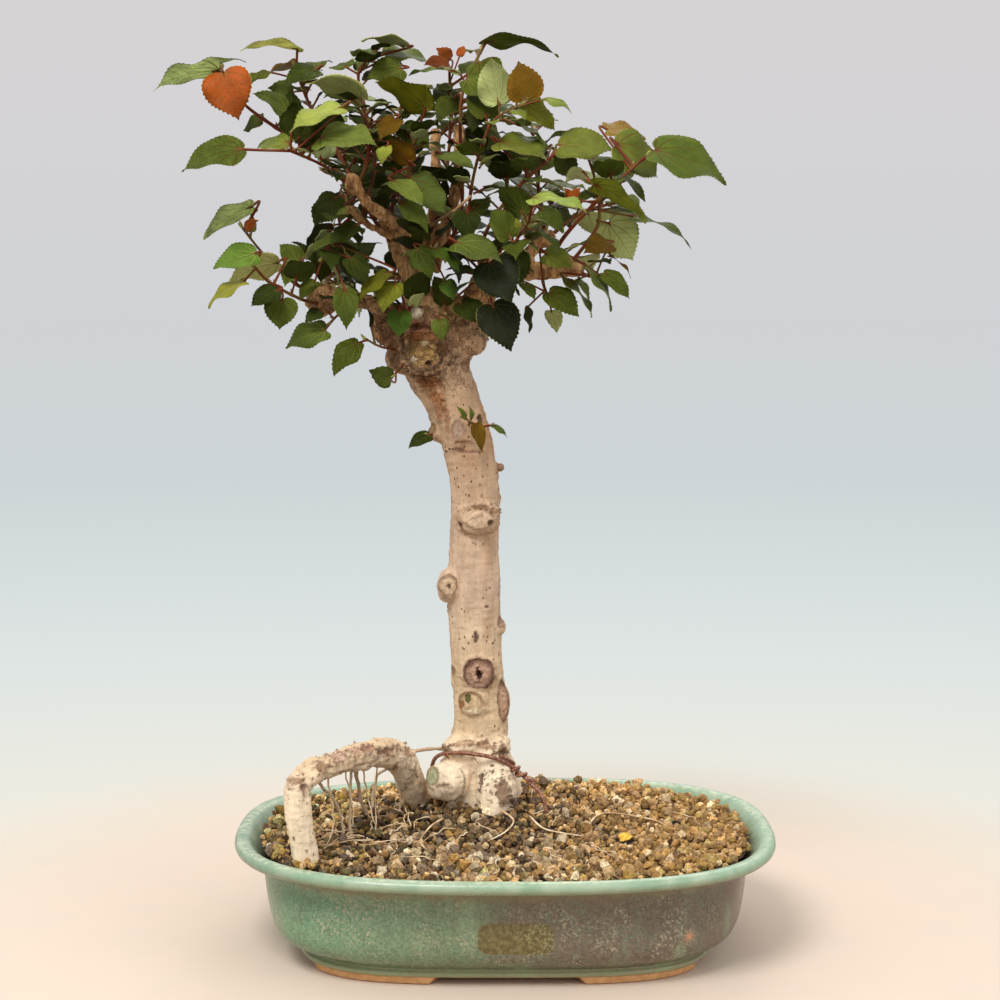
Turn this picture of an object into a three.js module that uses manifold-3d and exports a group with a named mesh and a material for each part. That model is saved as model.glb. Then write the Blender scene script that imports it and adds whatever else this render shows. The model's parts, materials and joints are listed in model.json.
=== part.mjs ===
// Sea hibiscus bonsai in an oval glazed pot: millimetres, +Z up.
// Places are measured from the middle of the pot's base. X runs to the viewer's right, Y away from the viewer.

import * as THREE from "three";
import { mergeVertices } from "three/addons/utils/BufferGeometryUtils.js";
import Module from "manifold-3d";

const wasm = await Module();
wasm.setup();

// Driving dimensions of the pot
const POT_HALF_LENGTH = 130;
const POT_HALF_DEPTH = 98;
const POT_ROUNDNESS = 2.65;
const POT_SEGMENTS = 32;
const RIM_TOP = 54;
const FLOOR_TOP = 10;
const BASE_BOTTOM = 3.5;
const FOOT_SINK = 1.5;
const DRAIN_HOLE_RADIUS = 8;
const DRAIN_HOLE_X = 52;
const DRAIN_MESH_SIZE = 24;
const DRAIN_MESH_THICKNESS = 1;
const DRAIN_MESH_HOLES = 2;

// Gap that is left wherever one piece rests against another
const SEAT_GAP = 0.32;

// Driving dimensions of the plant
const BLADE_THICKNESS = 0.7;
const BLADE_FOLD = 0.14;
const BLADE_ARCH = 0.05;
const BLADE_RUFFLE = 0.035;
const PETIOLE_RADIUS = 0.6;
const PETIOLE_END = 0.46;
const STEM_LEAST = 0.9;
const STEM_SIDES = 3;
const STEM_WIDEN = 1.35;
const BLADE_CLEARANCE = 1.3;
const BAR_CLEARANCE = 0.9;
const BARK_CLEARANCE = 1.6;
const PETIOLE_SPACING = 1.4;
const TAKEN_PENALTY = 6;
const BAR_STEP = 3;
const LIMB_STEP = 5;
const WIRE_RADIUS = 1;
const TRUNK_SIDES = 10;
const TRUNK_RINGS = 18;

// Outer face of the pot from the base to the rim, then the inner face down to the floor: [inset, height]
const potProfile = [
  [29, BASE_BOTTOM],
  [27.5, 5.6],
  [28.5, 7],
  [21.8, 12],
  [16.6, 20],
  [13.8, 34],
  [13, 47],
  [1.8, 49.8],
  [0.4, 52.2],
  [3.5, RIM_TOP],
  [9, 51.5],
  [16, 47],
  [20, 34],
  [33, FLOOR_TOP],
];
const INNER_FACE_START = 11;
const SOIL_EDGE_INSET = 12.2;
const SOIL_EDGE_HEIGHT = 50.4;
const SOIL_RINGS = 8;
const SOIL_RELIEF = 3.4;
const soilMounds = [
  { at: [-14, 30], spread: [62, 50], height: 9 },
  { at: [48, 60], spread: [42, 24], height: 3.6 },
];
const RIM_SAG_START = 40;
const DEEPEST_INSET = 40;

const FOOT_OUTER_INSET = 29.6;
const FOOT_INNER_INSET = 38;
const FOOT_TAPER = 4;
const FOOT_BATTER = 0.8;
const feet = [
  { from: 35, to: 77 },
  { from: 103, to: 145 },
  { from: 215, to: 257 },
  { from: 283, to: 325 },
];

const colours = {
  glaze: 0x5f9c85,
  drainMesh: 0x2f3133,
  soil: 0x8a7048,
  bark: 0xcbb692,
  wire: 0x6b3f33,
  fallenLeaf: 0xd9b82f,
};
const tints = {
  pale: 0x93b27c,
  mid: 0x4f7a35,
  dark: 0x27472a,
  light: 0x7fa64c,
  bright: 0x5c9a3a,
  olive: 0x76823f,
  bronze: 0x6d5a2c,
  orange: 0xb3552a,
  lime: 0xa9b840,
};

// Woody limbs as lists of [x, y, z, radius]
const trunk = [
  [-14, 30, 46, 16],
  [-14, 30, 56, 18],
  [-14, 30, 66, 17.6],
  [-14, 30, 76, 16.2],
  [-13, 30, 87, 14.7],
  [-12, 30, 98, 13.5],
  [-13, 30, 115, 13.2],
  [-14, 29, 132, 13],
  [-15, 29, 150, 13],
  [-15, 28, 168, 12.7],
  [-15, 28, 190, 12.2],
  [-15, 27, 210, 12],
  [-16, 27, 225, 12.2],
  [-18, 26, 236, 12.4],
  [-23, 26, 251, 13],
  [-28, 25, 264, 14],
  [-33, 24, 276, 16.4],
  [-35, 23, 288, 19.4],
  [-34, 22, 300, 17.4],
  [-31, 21, 313, 10],
];

const limbs = [
  { name: "left column", sides: 6, path: [[-39, 22, 290, 12], [-42, 20, 306, 7.5], [-43, 18, 320, 5.4], [-43, 16, 338, 5.8]] },
  { name: "left arm", sides: 6, path: [[-43, 16, 334, 4.6], [-52, 10, 344, 3.4], [-65, 4, 354, 2.8], [-73, 2, 366, 3]] },
  { name: "second arm", sides: 5, path: [[-41, 16, 328, 3], [-51, 16, 337, 2.2], [-64, 14, 343, 2], [-74, 13, 350, 2.4]] },
  { name: "tall stub", sides: 6, path: [[-36, 22, 322, 4.4], [-28, 27, 346, 3.4], [-23, 28, 368, 2.8], [-22, 28, 392, 2.9]] },
  { name: "short stub", sides: 6, path: [[-40, 26, 322, 4], [-36, 37, 344, 3], [-34, 40, 368, 2.6], [-34, 40, 391, 2.6]] },
  { name: "right arm", sides: 7, path: [[-26, 24, 284, 11], [-17, 20, 302, 7], [-12, 16, 315, 5.8], [-7, 14, 325, 5.4]] },
  { name: "knobby arm", sides: 6, path: [[-8, 14, 324, 5], [0, 12, 326, 4.4], [9, 10, 323, 5], [19, 10, 322, 3.9], [27, 10, 323, 4.8], [37, 10, 322, 3]] },
  { name: "left low arm", sides: 6, path: [[-44, 22, 294, 8], [-58, 20, 304, 4.8], [-70, 18, 308, 3.9], [-80, 16, 309, 5.4], [-91, 16, 310, 5]] },
  { name: "back arm", sides: 5, path: [[-41, 22, 298, 7], [-47, 36, 318, 4.4], [-54, 50, 333, 3.6], [-59, 58, 347, 3.4]] },
  { name: "back right arm", sides: 5, path: [[-20, 24, 292, 7], [-6, 36, 314, 4.2], [9, 48, 328, 3.4], [20, 56, 339, 3.4]] },
  { name: "dry twig", sides: 4, path: [[-41, 10, 340, 1.3], [-31, 2, 346, 1.1], [-23, -5, 351, 1], [-16, -8, 357, 0.9]] },
  { name: "root arch", sides: 7, path: [
    [-45, 30, 54, 5], [-47, 25, 68, 5.4], [-50, 18, 79, 6.3], [-57, 10, 88, 6.7], [-66, -4, 91, 6.2], [-75, -18, 92, 5.6],
    [-84, -33, 92, 5.6], [-90, -46, 89, 6], [-91, -53, 80, 5.9], [-90, -55, 67, 5.8], [-88, -55, 57, 6], [-87, -54, 48.6, 5.4]] },
  { name: "left root", sides: 6, path: [[-17, 27, 84, 9], [-27, 19, 74, 9.6], [-34, 13, 63, 8], [-38, 9, 50, 5.4]] },
  { name: "front root", sides: 6, path: [[-12, 25, 88, 9], [-8, 18, 76, 8.8], [-6, 10, 64, 8.2], [-5, 5, 50, 6]] },
  { name: "right root", sides: 6, path: [[-6, 29, 84, 8], [2, 27, 73, 7.6], [8, 24, 62, 6.6], [14, 21, 50, 4.6]] },
  { name: "back root", sides: 6, path: [[-16, 34, 84, 8], [-19, 43, 72, 8], [-23, 52, 60, 6.4], [-28, 60, 49, 4]] },
  { name: "rootlet bridge", sides: 4, path: [[-50, 18, 85, 1.6], [-38, 20, 87, 1.2], [-25, 24, 86, 1.4]] },
  { name: "aerial root", sides: 4, path: [[-57, 8, 86, 1.5], [-59, 4, 74, 1.3], [-64, 3, 58, 1.2]] },
  { name: "thin root left", sides: 4, path: [[-74, -16, 90, 1], [-73, -22, 76, 0.9], [-70, -31, 49, 0.8]] },
  { name: "thin root middle", sides: 4, path: [[-70, -11, 89, 1], [-67, -13, 74, 0.9], [-63, -22, 50, 0.8]] },
  { name: "thin root right", sides: 4, path: [[-47, 21, 74, 1], [-51, 13, 62, 0.9], [-52, 6, 52, 0.8]] },
];

// Knobs, burls and callused scars that stand out of the bark: centre, radii
const knobs = [
  { at: [-28, 24, 168], size: [6, 6.5, 8.5] },
  { at: [-3, 27, 147], size: [4.5, 4.5, 5] },
  { at: [-33, 24, 243], size: [4.5, 5, 5] },
  { at: [-11, 18, 205], size: [8, 5.5, 6.5] },
  { at: [-39, 9, 281], size: [9.5, 6, 9] },
  { at: [-42, 6, 302], size: [4.6, 6, 4.6] },
  { at: [-16, 19, 289], size: [8, 7, 7.5] },
  { at: [-50, 22, 280], size: [8, 8, 8] },
  { at: [-12, 20, 126], size: [7.6, 6, 7.6] },
  { at: [-2, 26, 109], size: [4.5, 6, 9.5] },
  { at: [-30, 13, 72], size: [8, 7, 7.5] },
  { at: [-44, 15, 336], size: [7, 6.5, 6] },
  { at: [-72, 3, 363], size: [4.4, 4.4, 4.6] },
  { at: [-88, 16, 308], size: [8.5, 7.5, 8] },
  { at: [-74, 13, 350], size: [3.6, 3.6, 3.4] },
  { at: [-58, 57, 345], size: [5, 5, 5] },
  { at: [20, 55, 338], size: [5, 5, 5] },
  { at: [9, 11, 325], size: [5.6, 5.6, 5] },
  { at: [28, 11, 324], size: [5.6, 5.6, 5.2] },
];

// Dents in the middle of old pruning scars: centre, radius
const dents = [
  { at: [-12, 12.6, 126], radius: 3.6 },
];

// Leafy shoots that show in the front view. Each leaf is its base, its tip, the tilt of its upper face
// away from the viewer in degrees, its width as a share of its length, and its tint.
const shoots = [
  {
    name: "shoot_far_left_top", radius: [1.5, 0.8], more: 0,
    stem: [[-73, 6, 364], [-88, 0, 376], [-112, -9, 392], [-122, -11, 400], [-131, -12, 411]],
    leaves: [
      [-132, -13, 414, -163, -16, 406, 106, 0.8, "pale"],
      [-135, -10, 417, -121, 2, 420, 75, 0.8, "mid"],
      [-129, -18, 412, -122, -22, 391, 2, 1.02, "orange"],
      [-114, -2, 392, -124, 6, 388, 50, 0.8, "mid"],
      [-100, -16, 395, -116, -20, 404, 54, 0.72, "mid"],
    ],
  },
  {
    name: "shoot_left_dark", radius: [1.2, 0.8], more: 1,
    stem: [[-74, 4, 363], [-85, -14, 371], [-99, -30, 377]],
    leaves: [
      [-120, -36, 377, -147, -38, 368, 52, 0.8, "dark"],
      [-100, -20, 381, -116, -8, 380, 60, 0.8, "mid"],
      [-75, -38, 395, -97, -46, 385, 60, 0.72, "light"],
      [-83, -36, 382, -57, -48, 379, 54, 0.8, "bright"],
    ],
  },
  {
    name: "shoot_top_left", radius: [1.5, 0.8], more: 1,
    stem: [[-72, 6, 364], [-82, 22, 382], [-93, 28, 399], [-101, 30, 419]],
    leaves: [
      [-100, 30, 428, -127, 24, 428, 93, 0.9, "mid"],
      [-103, 40, 421, -117, 48, 418, 65, 0.8, "bronze"],
      [-113, 16, 416, -121, 8, 409, 50, 0.8, "mid"],
      [-102, 22, 407, -113, 18, 409, 30, 0.85, "dark"],
      [-91, 26, 418, -105, 16, 410, 40, 0.8, "dark"],
      [-97, 44, 419, -85, 54, 425, 65, 0.8, "mid"],
    ],
  },
  {
    name: "shoot_top_mid_left", radius: [1.2, 0.8], more: 1,
    stem: [[-70, 5, 362], [-65, 0, 373], [-64, -3, 386], [-66, -4, 398]],
    leaves: [
      [-67, -4, 402, -92, -8, 410, 118, 0.8, "olive"],
      [-51, -10, 392, -58, -18, 382, 30, 0.8, "bronze"],
      [-55, -18, 379, -57, -24, 371, 20, 0.7, "lime"],
      [-45, -12, 373, -55, -18, 383, 150, 0.8, "bronze"],
    ],
  },
  {
    name: "shoot_top_mid", radius: [1.4, 0.8], more: 1,
    stem: [[-69, 13, 346], [-63, 25, 372], [-67, 32, 397], [-71, 34, 416], [-65, 34, 425]],
    leaves: [
      [-49, 34, 430, -69, 28, 433, 98, 0.85, "mid"],
      [-57, 40, 427, -36, 48, 424, 65, 0.8, "dark"],
      [-50, 22, 418, -66, 16, 413, 35, 0.92, "mid"],
      [-77, 34, 420, -84, 48, 421, 60, 0.8, "mid"],
    ],
  },
  {
    name: "shoot_olive_right", radius: [1.3, 0.8], more: 0,
    stem: [[-43, 16, 338], [-45, 4, 355], [-45, -4, 371], [-42, -6, 385]],
    leaves: [
      [-37, -8, 397, -60, -14, 410, 120, 0.86, "olive"],
      [-48, 4, 389, -35, 0, 379, 35, 0.85, "mid"],
      [-51, -20, 363, -37, -28, 352, 45, 0.62, "light"],
      [-47, -20, 353, -35, -24, 340, 42, 0.62, "mid"],
      [-44, -6, 364, -27, -10, 349, 30, 0.76, "dark"],
    ],
  },
  {
    name: "shoot_orange_top", radius: [1.4, 0.8], more: 0,
    stem: [[-40, 20, 334], [-31, 37, 354], [-27, 43, 388], [-27, 38, 418]],
    leaves: [
      [-27, 38, 424, -33, 34, 429, 15, 0.9, "orange"],
      [-27, 32, 420, -39, 24, 420, 50, 0.85, "orange"],
      [-22, 40, 426, -20, 42, 431, 20, 0.8, "orange"],
      [-22, 44, 418, -48, 54, 419, 80, 0.7, "light"],
      [-24, 28, 404, -33, 22, 393, 30, 0.85, "mid"],
      [-30, 18, 377, -14, 10, 370, 55, 0.6, "light"],
    ],
  },
  {
    name: "shoot_top_right", radius: [1.4, 0.8], more: 1,
    stem: [[-32, 22, 330], [-21, 14, 350], [-21, 12, 401], [-12, 16, 425]],
    leaves: [
      [-9, 16, 430, 26, 14, 425, 98, 0.6, "mid"],
      [-12, 14, 420, -4, 6, 407, 12, 1, "mid"],
      [-18, 4, 411, -6, -2, 400, 35, 0.8, "mid"],
      [-11, 8, 399, -16, 2, 387, 20, 0.8, "dark"],
      [-3, 10, 405, 0, 8, 415, 30, 0.5, "lime"],
      [-10, 20, 402, 0, 26, 402, 50, 0.7, "orange"],
    ],
  },
  {
    name: "shoot_bronze", radius: [1.3, 0.7], more: 1,
    stem: [[-10, 14, 322], [-17, 7, 352], [-8, -2, 388], [7, -6, 399]],
    leaves: [
      [10, -6, 402, 6, -8, 419, 8, 1, "bronze"],
      [18, -10, 401, 31, -16, 395, 62, 0.6, "light"],
      [9, 0, 400, 24, 4, 388, 38, 0.72, "olive"],
    ],
  },
  {
    name: "shoot_right_upper", radius: [1.6, 0.9], more: 1,
    stem: [[-8, 13, 324], [-10, 8, 338], [3, -6, 358], [24, -12, 377]],
    leaves: [
      [26, -12, 380, 51, -16, 378, 44, 0.82, "mid"],
      [25, -2, 376, 34, 4, 366, 22, 0.9, "dark"],
      [-2, -6, 382, 20, -16, 374, 56, 0.76, "mid"],
      [19, 10, 379, 3, 16, 369, 50, 0.8, "dark"],
    ],
  },
  {
    name: "shoot_right_far", radius: [1.7, 0.8], more: 1,
    stem: [[20, 11, 322], [27, 0, 337], [44, -19, 356], [64, -25, 374]],
    leaves: [
      [69, -26, 377, 102, -28, 363, 50, 0.8, "light"],
      [52, -16, 380, 72, -8, 366, 36, 0.9, "mid"],
      [48, 0, 388, 67, 8, 385, 64, 0.8, "bronze"],
      [41, -30, 361, 65, -36, 345, 114, 0.6, "lime"],
      [36, -14, 368, 28, -8, 364, 140, 0.8, "pale"],
      [30, -24, 356, 27, -26, 360, 10, 0.7, "orange"],
      [30, -26, 355, 34, -28, 360, 10, 0.7, "orange"],
    ],
  },
  {
    name: "shoot_right_mid", radius: [1.4, 0.8], more: 1,
    stem: [[28, 11, 322], [43, 18, 341], [45, 18, 353], [42, 20, 370]],
    leaves: [
      [42, 18, 375, 68, 14, 356, 66, 0.62, "dark"],
      [63, 18, 348, 91, 20, 334, 78, 0.6, "mid"],
      [50, 22, 345, 62, 18, 327, 162, 1, "pale"],
      [49, 6, 335, 37, -4, 331, 40, 0.9, "bronze"],
    ],
  },
  {
    name: "shoot_light_front", radius: [1.2, 0.7], more: 0,
    stem: [[2, 12, 325], [5, -6, 336], [11, -18, 345]],
    leaves: [
      [13, -24, 355, 37, -34, 350, 70, 0.62, "light"],
      [17, -8, 350, 28, -8, 340, 44, 0.8, "mid"],
      [6, -28, 342, 5, -30, 346, 15, 0.7, "lime"],
      [2, -22, 338, -7, -20, 351, 30, 0.9, "mid"],
    ],
  },
  {
    name: "shoot_right_fan", radius: [1.3, 0.8], more: 0,
    stem: [[34, 10, 322], [39, 6, 320], [43, 3, 319]],
    leaves: [
      [50, 4, 329, 60, 0, 319, 76, 0.45, "bronze"],
      [47, -2, 321, 59, -4, 309, 38, 0.62, "mid"],
      [39, -4, 323, 51, -12, 304, 70, 0.45, "dark"],
      [29, 2, 318, 42, -2, 301, 70, 0.42, "dark"],
      [35, 16, 318, 41, 18, 308, 60, 0.6, "mid"],
    ],
  },
  {
    name: "shoot_right_low", radius: [1.1, 0.7], more: 0,
    stem: [[17, 11, 321], [19, 6, 313], [21, 2, 309]],
    leaves: [
      [21, -2, 312, 35, -6, 301, 35, 0.8, "mid"],
      [22, 6, 303, 25, 10, 293, 155, 0.8, "pale"],
      [10, 14, 304, 12, 18, 292, 60, 0.6, "dark"],
      [19, -4, 330, 32, -8, 324, 30, 0.85, "light"],
      [9, 0, 316, 14, -4, 309, 40, 0.75, "mid"],
    ],
  },
  {
    name: "shoot_dark_hearts", radius: [1.3, 0.9], more: 0,
    stem: [[-13, 17, 312], [-12, 4, 318], [-9, -10, 323]],
    leaves: [
      [-7, -18, 326, 3, -26, 308, 6, 1, "dark"],
      [-6, -10, 306, 3, -16, 285, 12, 0.86, "dark"],
      [3, -12, 330, 7, -16, 315, 20, 0.95, "dark"],
      [-21, -8, 307, -9, -16, 297, 32, 0.78, "dark"],
      [-22, -22, 335, -1, -32, 327, 48, 0.68, "bright"],
      [-18, -6, 349, -19, -10, 337, 6, 1.05, "dark"],
    ],
  },
  {
    name: "shoot_inner_front", radius: [1.1, 0.8], more: 0,
    stem: [[-42, 16, 326], [-37, 2, 330], [-33, -8, 333]],
    leaves: [
      [-41, -10, 332, -34, -16, 318, 20, 0.68, "mid"],
      [-32, -14, 332, -21, -20, 322, 52, 0.55, "bright"],
      [-28, -4, 317, -24, -8, 309, 14, 0.85, "bright"],
    ],
  },
  {
    name: "shoot_crown_left", radius: [0.9, 0.7], more: 0,
    stem: [[-43, 12, 296], [-47, 1, 301]],
    leaves: [
      [-50, -3, 303, -50, -6, 291, 6, 0.95, "bright"],
      [-52, -5, 316, -58, -11, 303, 30, 0.85, "lime"],
    ],
  },
  {
    name: "shoot_crown_right", radius: [0.9, 0.7], more: 0,
    stem: [[-26, 14, 297], [-28, 1, 301]],
    leaves: [
      [-31, -3, 299, -30, -5, 289, 10, 0.85, "mid"],
    ],
  },
  {
    name: "shoot_crown_low", radius: [0.8, 0.6], more: 0,
    stem: [[-46, 17, 280], [-53, 11, 273]],
    leaves: [
      [-55, 9, 270, -65, 6, 275, 12, 0.9, "dark"],
    ],
  },
  {
    name: "shoot_left_far", radius: [1.4, 0.7], more: 0,
    stem: [[-88, 19, 312], [-99, 13, 315], [-113, 6, 328], [-124, 3, 342]],
    leaves: [
      [-120, 2, 352, -143, -2, 338, 114, 0.7, "pale"],
      [-122, -2, 342, -116, -4, 346, 30, 0.8, "orange"],
      [-120, -8, 341, -120, -10, 349, 20, 0.55, "lime"],
      [-99, 12, 326, -108, 14, 335, 28, 0.9, "light"],
      [-97, 2, 326, -104, -6, 315, 30, 0.85, "light"],
    ],
  },
  {
    name: "shoot_left_low", radius: [1.3, 0.8], more: 1,
    stem: [[-88, 12, 306], [-97, 0, 309], [-110, -14, 317], [-117, -18, 325]],
    leaves: [
      [-116, -20, 330, -135, -24, 324, 46, 0.85, "bright"],
      [-107, -8, 326, -131, -6, 317, 126, 0.76, "olive"],
      [-121, -22, 317, -138, -24, 306, 66, 0.7, "olive"],
      [-106, -20, 313, -118, -24, 306, 40, 0.85, "dark"],
      [-104, -30, 309, -105, -32, 295, 4, 1.1, "mid"],
    ],
  },
  {
    name: "shoot_left_inner", radius: [1.2, 0.8], more: 0,
    stem: [[-72, 12, 349], [-79, 2, 341], [-86, -2, 329]],
    leaves: [
      [-77, -4, 338, -91, -8, 332, 55, 0.6, "mid"],
      [-70, -6, 343, -82, -12, 334, 40, 0.7, "dark"],
      [-72, -8, 328, -65, -12, 316, 30, 0.85, "dark"],
      [-90, 2, 317, -97, -2, 308, 40, 0.8, "mid"],
      [-75, -10, 313, -74, -16, 295, 10, 0.62, "mid"],
      [-56, -8, 321, -69, -14, 308, 50, 0.62, "olive"],
    ],
  },
  {
    name: "shoot_left_upper", radius: [1.1, 0.8], more: 1,
    stem: [[-74, 13, 350], [-78, 20, 358]],
    leaves: [
      [-81, 18, 357, -92, 14, 343, 32, 0.82, "dark"],
      [-73, 6, 354, -82, 4, 343, 74, 0.5, "light"],
    ],
  },
  {
    name: "shoot_left_hanging", radius: [1, 0.7], more: 0,
    stem: [[-72, 17, 308], [-78, 9, 303], [-83, 6, 298]],
    leaves: [
      [-86, 6, 294, -105, 4, 286, 44, 0.8, "mid"],
      [-88, 4, 303, -95, 0, 298, 30, 0.8, "dark"],
    ],
  },
  {
    name: "shoot_low_hanging", radius: [0.9, 0.7], more: 0,
    stem: [[-50, 18, 284], [-59, 6, 286], [-66, 0, 290]],
    leaves: [
      [-70, -2, 288, -82, -4, 273, 38, 0.76, "mid"],
    ],
  },
  {
    name: "sprout_trunk_middle", radius: [1, 0.7], more: 0,
    stem: [[-18, 20, 246], [-17, 8, 250]],
    leaves: [
      [-19, 6, 252, -23, 3, 258, 40, 0.4, "mid"],
      [-16, 5, 252, -17, 1, 258, 40, 0.4, "mid"],
      [-14, 7, 249, -11, 3, 236, 20, 0.5, "bronze"],
    ],
  },
  {
    name: "sprout_trunk_left", radius: [0.9, 0.6], more: 0,
    stem: [[-30, 25, 243], [-37, 18, 243]],
    leaves: [
      [-37, 16, 243, -47, 12, 237, 40, 0.7, "dark"],
    ],
  },
  {
    name: "sprout_trunk_right", radius: [0.8, 0.6], more: 0,
    stem: [[-13, 22, 246], [-7, 14, 248]],
    leaves: [
      [-6, 13, 248, 1, 9, 243, 50, 0.4, "dark"],
    ],
  },
];

// Shoots round the back and inside of the crown: start, tip, number of leaves placed by rule
const backShoots = [
  { name: "shoot_back_left_high", from: [-59, 58, 346], to: [-90, 76, 396], leaves: 6, tint: "mid" },
  { name: "shoot_back_left_side", from: [-58, 57, 345], to: [-92, 80, 372], leaves: 5, tint: "dark" },
  { name: "shoot_back_top", from: [-57, 57, 346], to: [-52, 74, 410], leaves: 6, tint: "mid" },
  { name: "shoot_back_far", from: [-59, 59, 346], to: [-60, 108, 362], leaves: 6, tint: "dark" },
  { name: "shoot_back_middle", from: [-49, 40, 322], to: [-26, 88, 340], leaves: 6, tint: "dark" },
  { name: "shoot_back_right_high", from: [20, 55, 338], to: [14, 68, 392], leaves: 5, tint: "mid" },
  { name: "shoot_back_right_side", from: [21, 55, 338], to: [58, 70, 356], leaves: 6, tint: "mid" },
  { name: "shoot_back_right_far", from: [20, 56, 338], to: [18, 100, 360], leaves: 6, tint: "dark" },
  { name: "shoot_back_right_low", from: [14, 51, 332], to: [50, 58, 318], leaves: 5, tint: "dark" },
  { name: "shoot_back_left_low", from: [-84, 18, 310], to: [-92, 54, 320], leaves: 5, tint: "dark" },
  { name: "shoot_back_low", from: [-47, 36, 318], to: [-74, 74, 308], leaves: 5, tint: "dark" },
  { name: "shoot_inner_high", from: [-34, 40, 386], to: [-8, 68, 400], leaves: 5, tint: "dark" },
  { name: "shoot_inner_left", from: [-54, 50, 333], to: [-82, 42, 384], leaves: 5, tint: "dark" },
  { name: "shoot_inner_right", from: [-6, 36, 314], to: [2, 40, 372], leaves: 5, tint: "dark" },
];

const tieWire = [
  [-37, 42, 54], [-37, 38, 66], [-36, 28, 78], [-32, 16, 85], [-24, 9.5, 87.5], [-15, 7, 87.5], [-6, 8, 85.5], [1, 11, 82],
  [6, 12, 78], [12, 9, 73], [18, 5, 67], [21, 3, 56],
];
const wireTwist = [[2, 11.5, 81], [6, 12, 78], [10, 10, 74.5]];
const fallenLeaf = { base: [54, -24, 56], tip: [61, -22, 56.4], width: 0.6 };
const SETTLE_STEP = 0.1;

// Outline of the dense crown as the viewer sees it, at a depth of 20: [x, z]. Leaves placed by rule stay inside it.
const VIEWER = { x: -2.5, y: -990, z: 326 };
const OUTLINE_DEPTH = 20;
const crownOutline = [
  [-100, 419], [-83, 428], [-52, 430], [-31, 427], [-14, 428], [7, 421], [19, 403],
  [41, 389], [65, 380], [72, 361], [65, 344], [51, 326], [38, 315], [19, 308],
  [0, 299], [-17, 302], [-31, 308], [-51, 308], [-70, 299], [-88, 308], [-99, 322],
  [-106, 332], [-93, 349], [-77, 358], [-88, 373], [-103, 384], [-105, 403],
];

// Small seeded random numbers, so that every build is alike
function seeded(seed) {
  let state = seed >>> 0;
  return () => {
    state = (state + 0x6d2b79f5) >>> 0;
    let t = state;
    t = Math.imul(t ^ (t >>> 15), t | 1);
    t ^= t + Math.imul(t ^ (t >>> 7), t | 61);
    return ((t ^ (t >>> 14)) >>> 0) / 4294967296;
  };
}

function vector(list) {
  return new THREE.Vector3(list[0], list[1], list[2]);
}

// Turning a closed three.js geometry into a solid and back
function solidFrom(geometry) {
  const bare = geometry.clone();
  bare.deleteAttribute("normal");
  bare.deleteAttribute("uv");
  const merged = mergeVertices(bare, 1e-4);
  return new wasm.Manifold(new wasm.Mesh({
    numProp: 3,
    vertProperties: new Float32Array(merged.attributes.position.array),
    triVerts: new Uint32Array(merged.index.array),
  }));
}

function solidOf(positions, index) {
  return new wasm.Manifold(new wasm.Mesh({
    numProp: 3,
    vertProperties: new Float32Array(positions),
    triVerts: new Uint32Array(index),
  }));
}

function geometryFrom(solid) {
  const mesh = solid.getMesh();
  const geometry = new THREE.BufferGeometry();
  geometry.setAttribute("position", new THREE.BufferAttribute(new Float32Array(mesh.vertProperties), 3));
  geometry.setIndex(new THREE.BufferAttribute(new Uint32Array(mesh.triVerts), 1));
  geometry.computeVertexNormals();
  return geometry;
}

function joined(solids) {
  return solids.reduce((sum, solid) => sum.add(solid));
}

function largestPiece(solid) {
  const pieces = solid.decompose();
  pieces.sort((a, b) => b.volume() - a.volume());
  return pieces[0];
}

// Catmull-Rom point on a list of numbers, at a share of the whole list
function splineAt(points, share) {
  const last = points.length - 1;
  const place = Math.min(Math.max(share, 0), 1) * last;
  const index = Math.min(Math.floor(place), last - 1);
  const t = place - index;
  const before = points[Math.max(index - 1, 0)];
  const start = points[index];
  const end = points[index + 1];
  const after = points[Math.min(index + 2, last)];
  return start.map((value, k) => 0.5 * (
    2 * value
    + (end[k] - before[k]) * t
    + (2 * before[k] - 5 * value + 4 * end[k] - after[k]) * t * t
    + (3 * value - before[k] - 3 * end[k] + after[k]) * t * t * t
  ));
}

// Point on the straight stretches between the listed points
function lineAt(points, share) {
  const last = points.length - 1;
  const place = Math.min(Math.max(share, 0), 1) * last;
  const index = Math.min(Math.floor(place), last - 1);
  const t = place - index;
  return points[index].map((value, k) => value + (points[index + 1][k] - value) * t);
}

// A round bar bent along a spline of [x, y, z, radius]: a cylinder whose rings are carried along the path
function bentBar(path, sides, rings, swell, grow) {
  const geometry = new THREE.CylinderGeometry(1, 1, 1, sides, rings);
  const frames = [];
  let across = null;
  for (let i = 0; i <= rings; i += 1) {
    const share = i / rings;
    const here = splineAt(path, share);
    const ahead = vector(splineAt(path, Math.min(share + 0.01, 1)));
    const along = ahead.sub(vector(splineAt(path, Math.max(share - 0.01, 0)))).normalize();
    if (across === null) {
      const helper = Math.abs(along.z) < 0.9 ? new THREE.Vector3(0, 0, 1) : new THREE.Vector3(1, 0, 0);
      across = helper.addScaledVector(along, -helper.dot(along)).normalize();
    } else {
      across = across.clone().addScaledVector(along, -across.dot(along)).normalize();
    }
    const side = new THREE.Vector3().crossVectors(across, along);
    frames.push({ here, across, side, share });
  }
  const position = geometry.attributes.position;
  for (let i = 0; i < position.count; i += 1) {
    const frame = frames[Math.round((position.getY(i) + 0.5) * rings)];
    const x = position.getX(i);
    const z = position.getZ(i);
    const size = (frame.here[3] * swell(Math.atan2(z, x), frame.share) + grow);
    const point = vector(frame.here).addScaledVector(frame.across, x * size).addScaledVector(frame.side, z * size);
    position.setXYZ(i, point.x, point.y, point.z);
  }
  return solidFrom(geometry);
}

function plain() {
  return 1;
}

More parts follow.
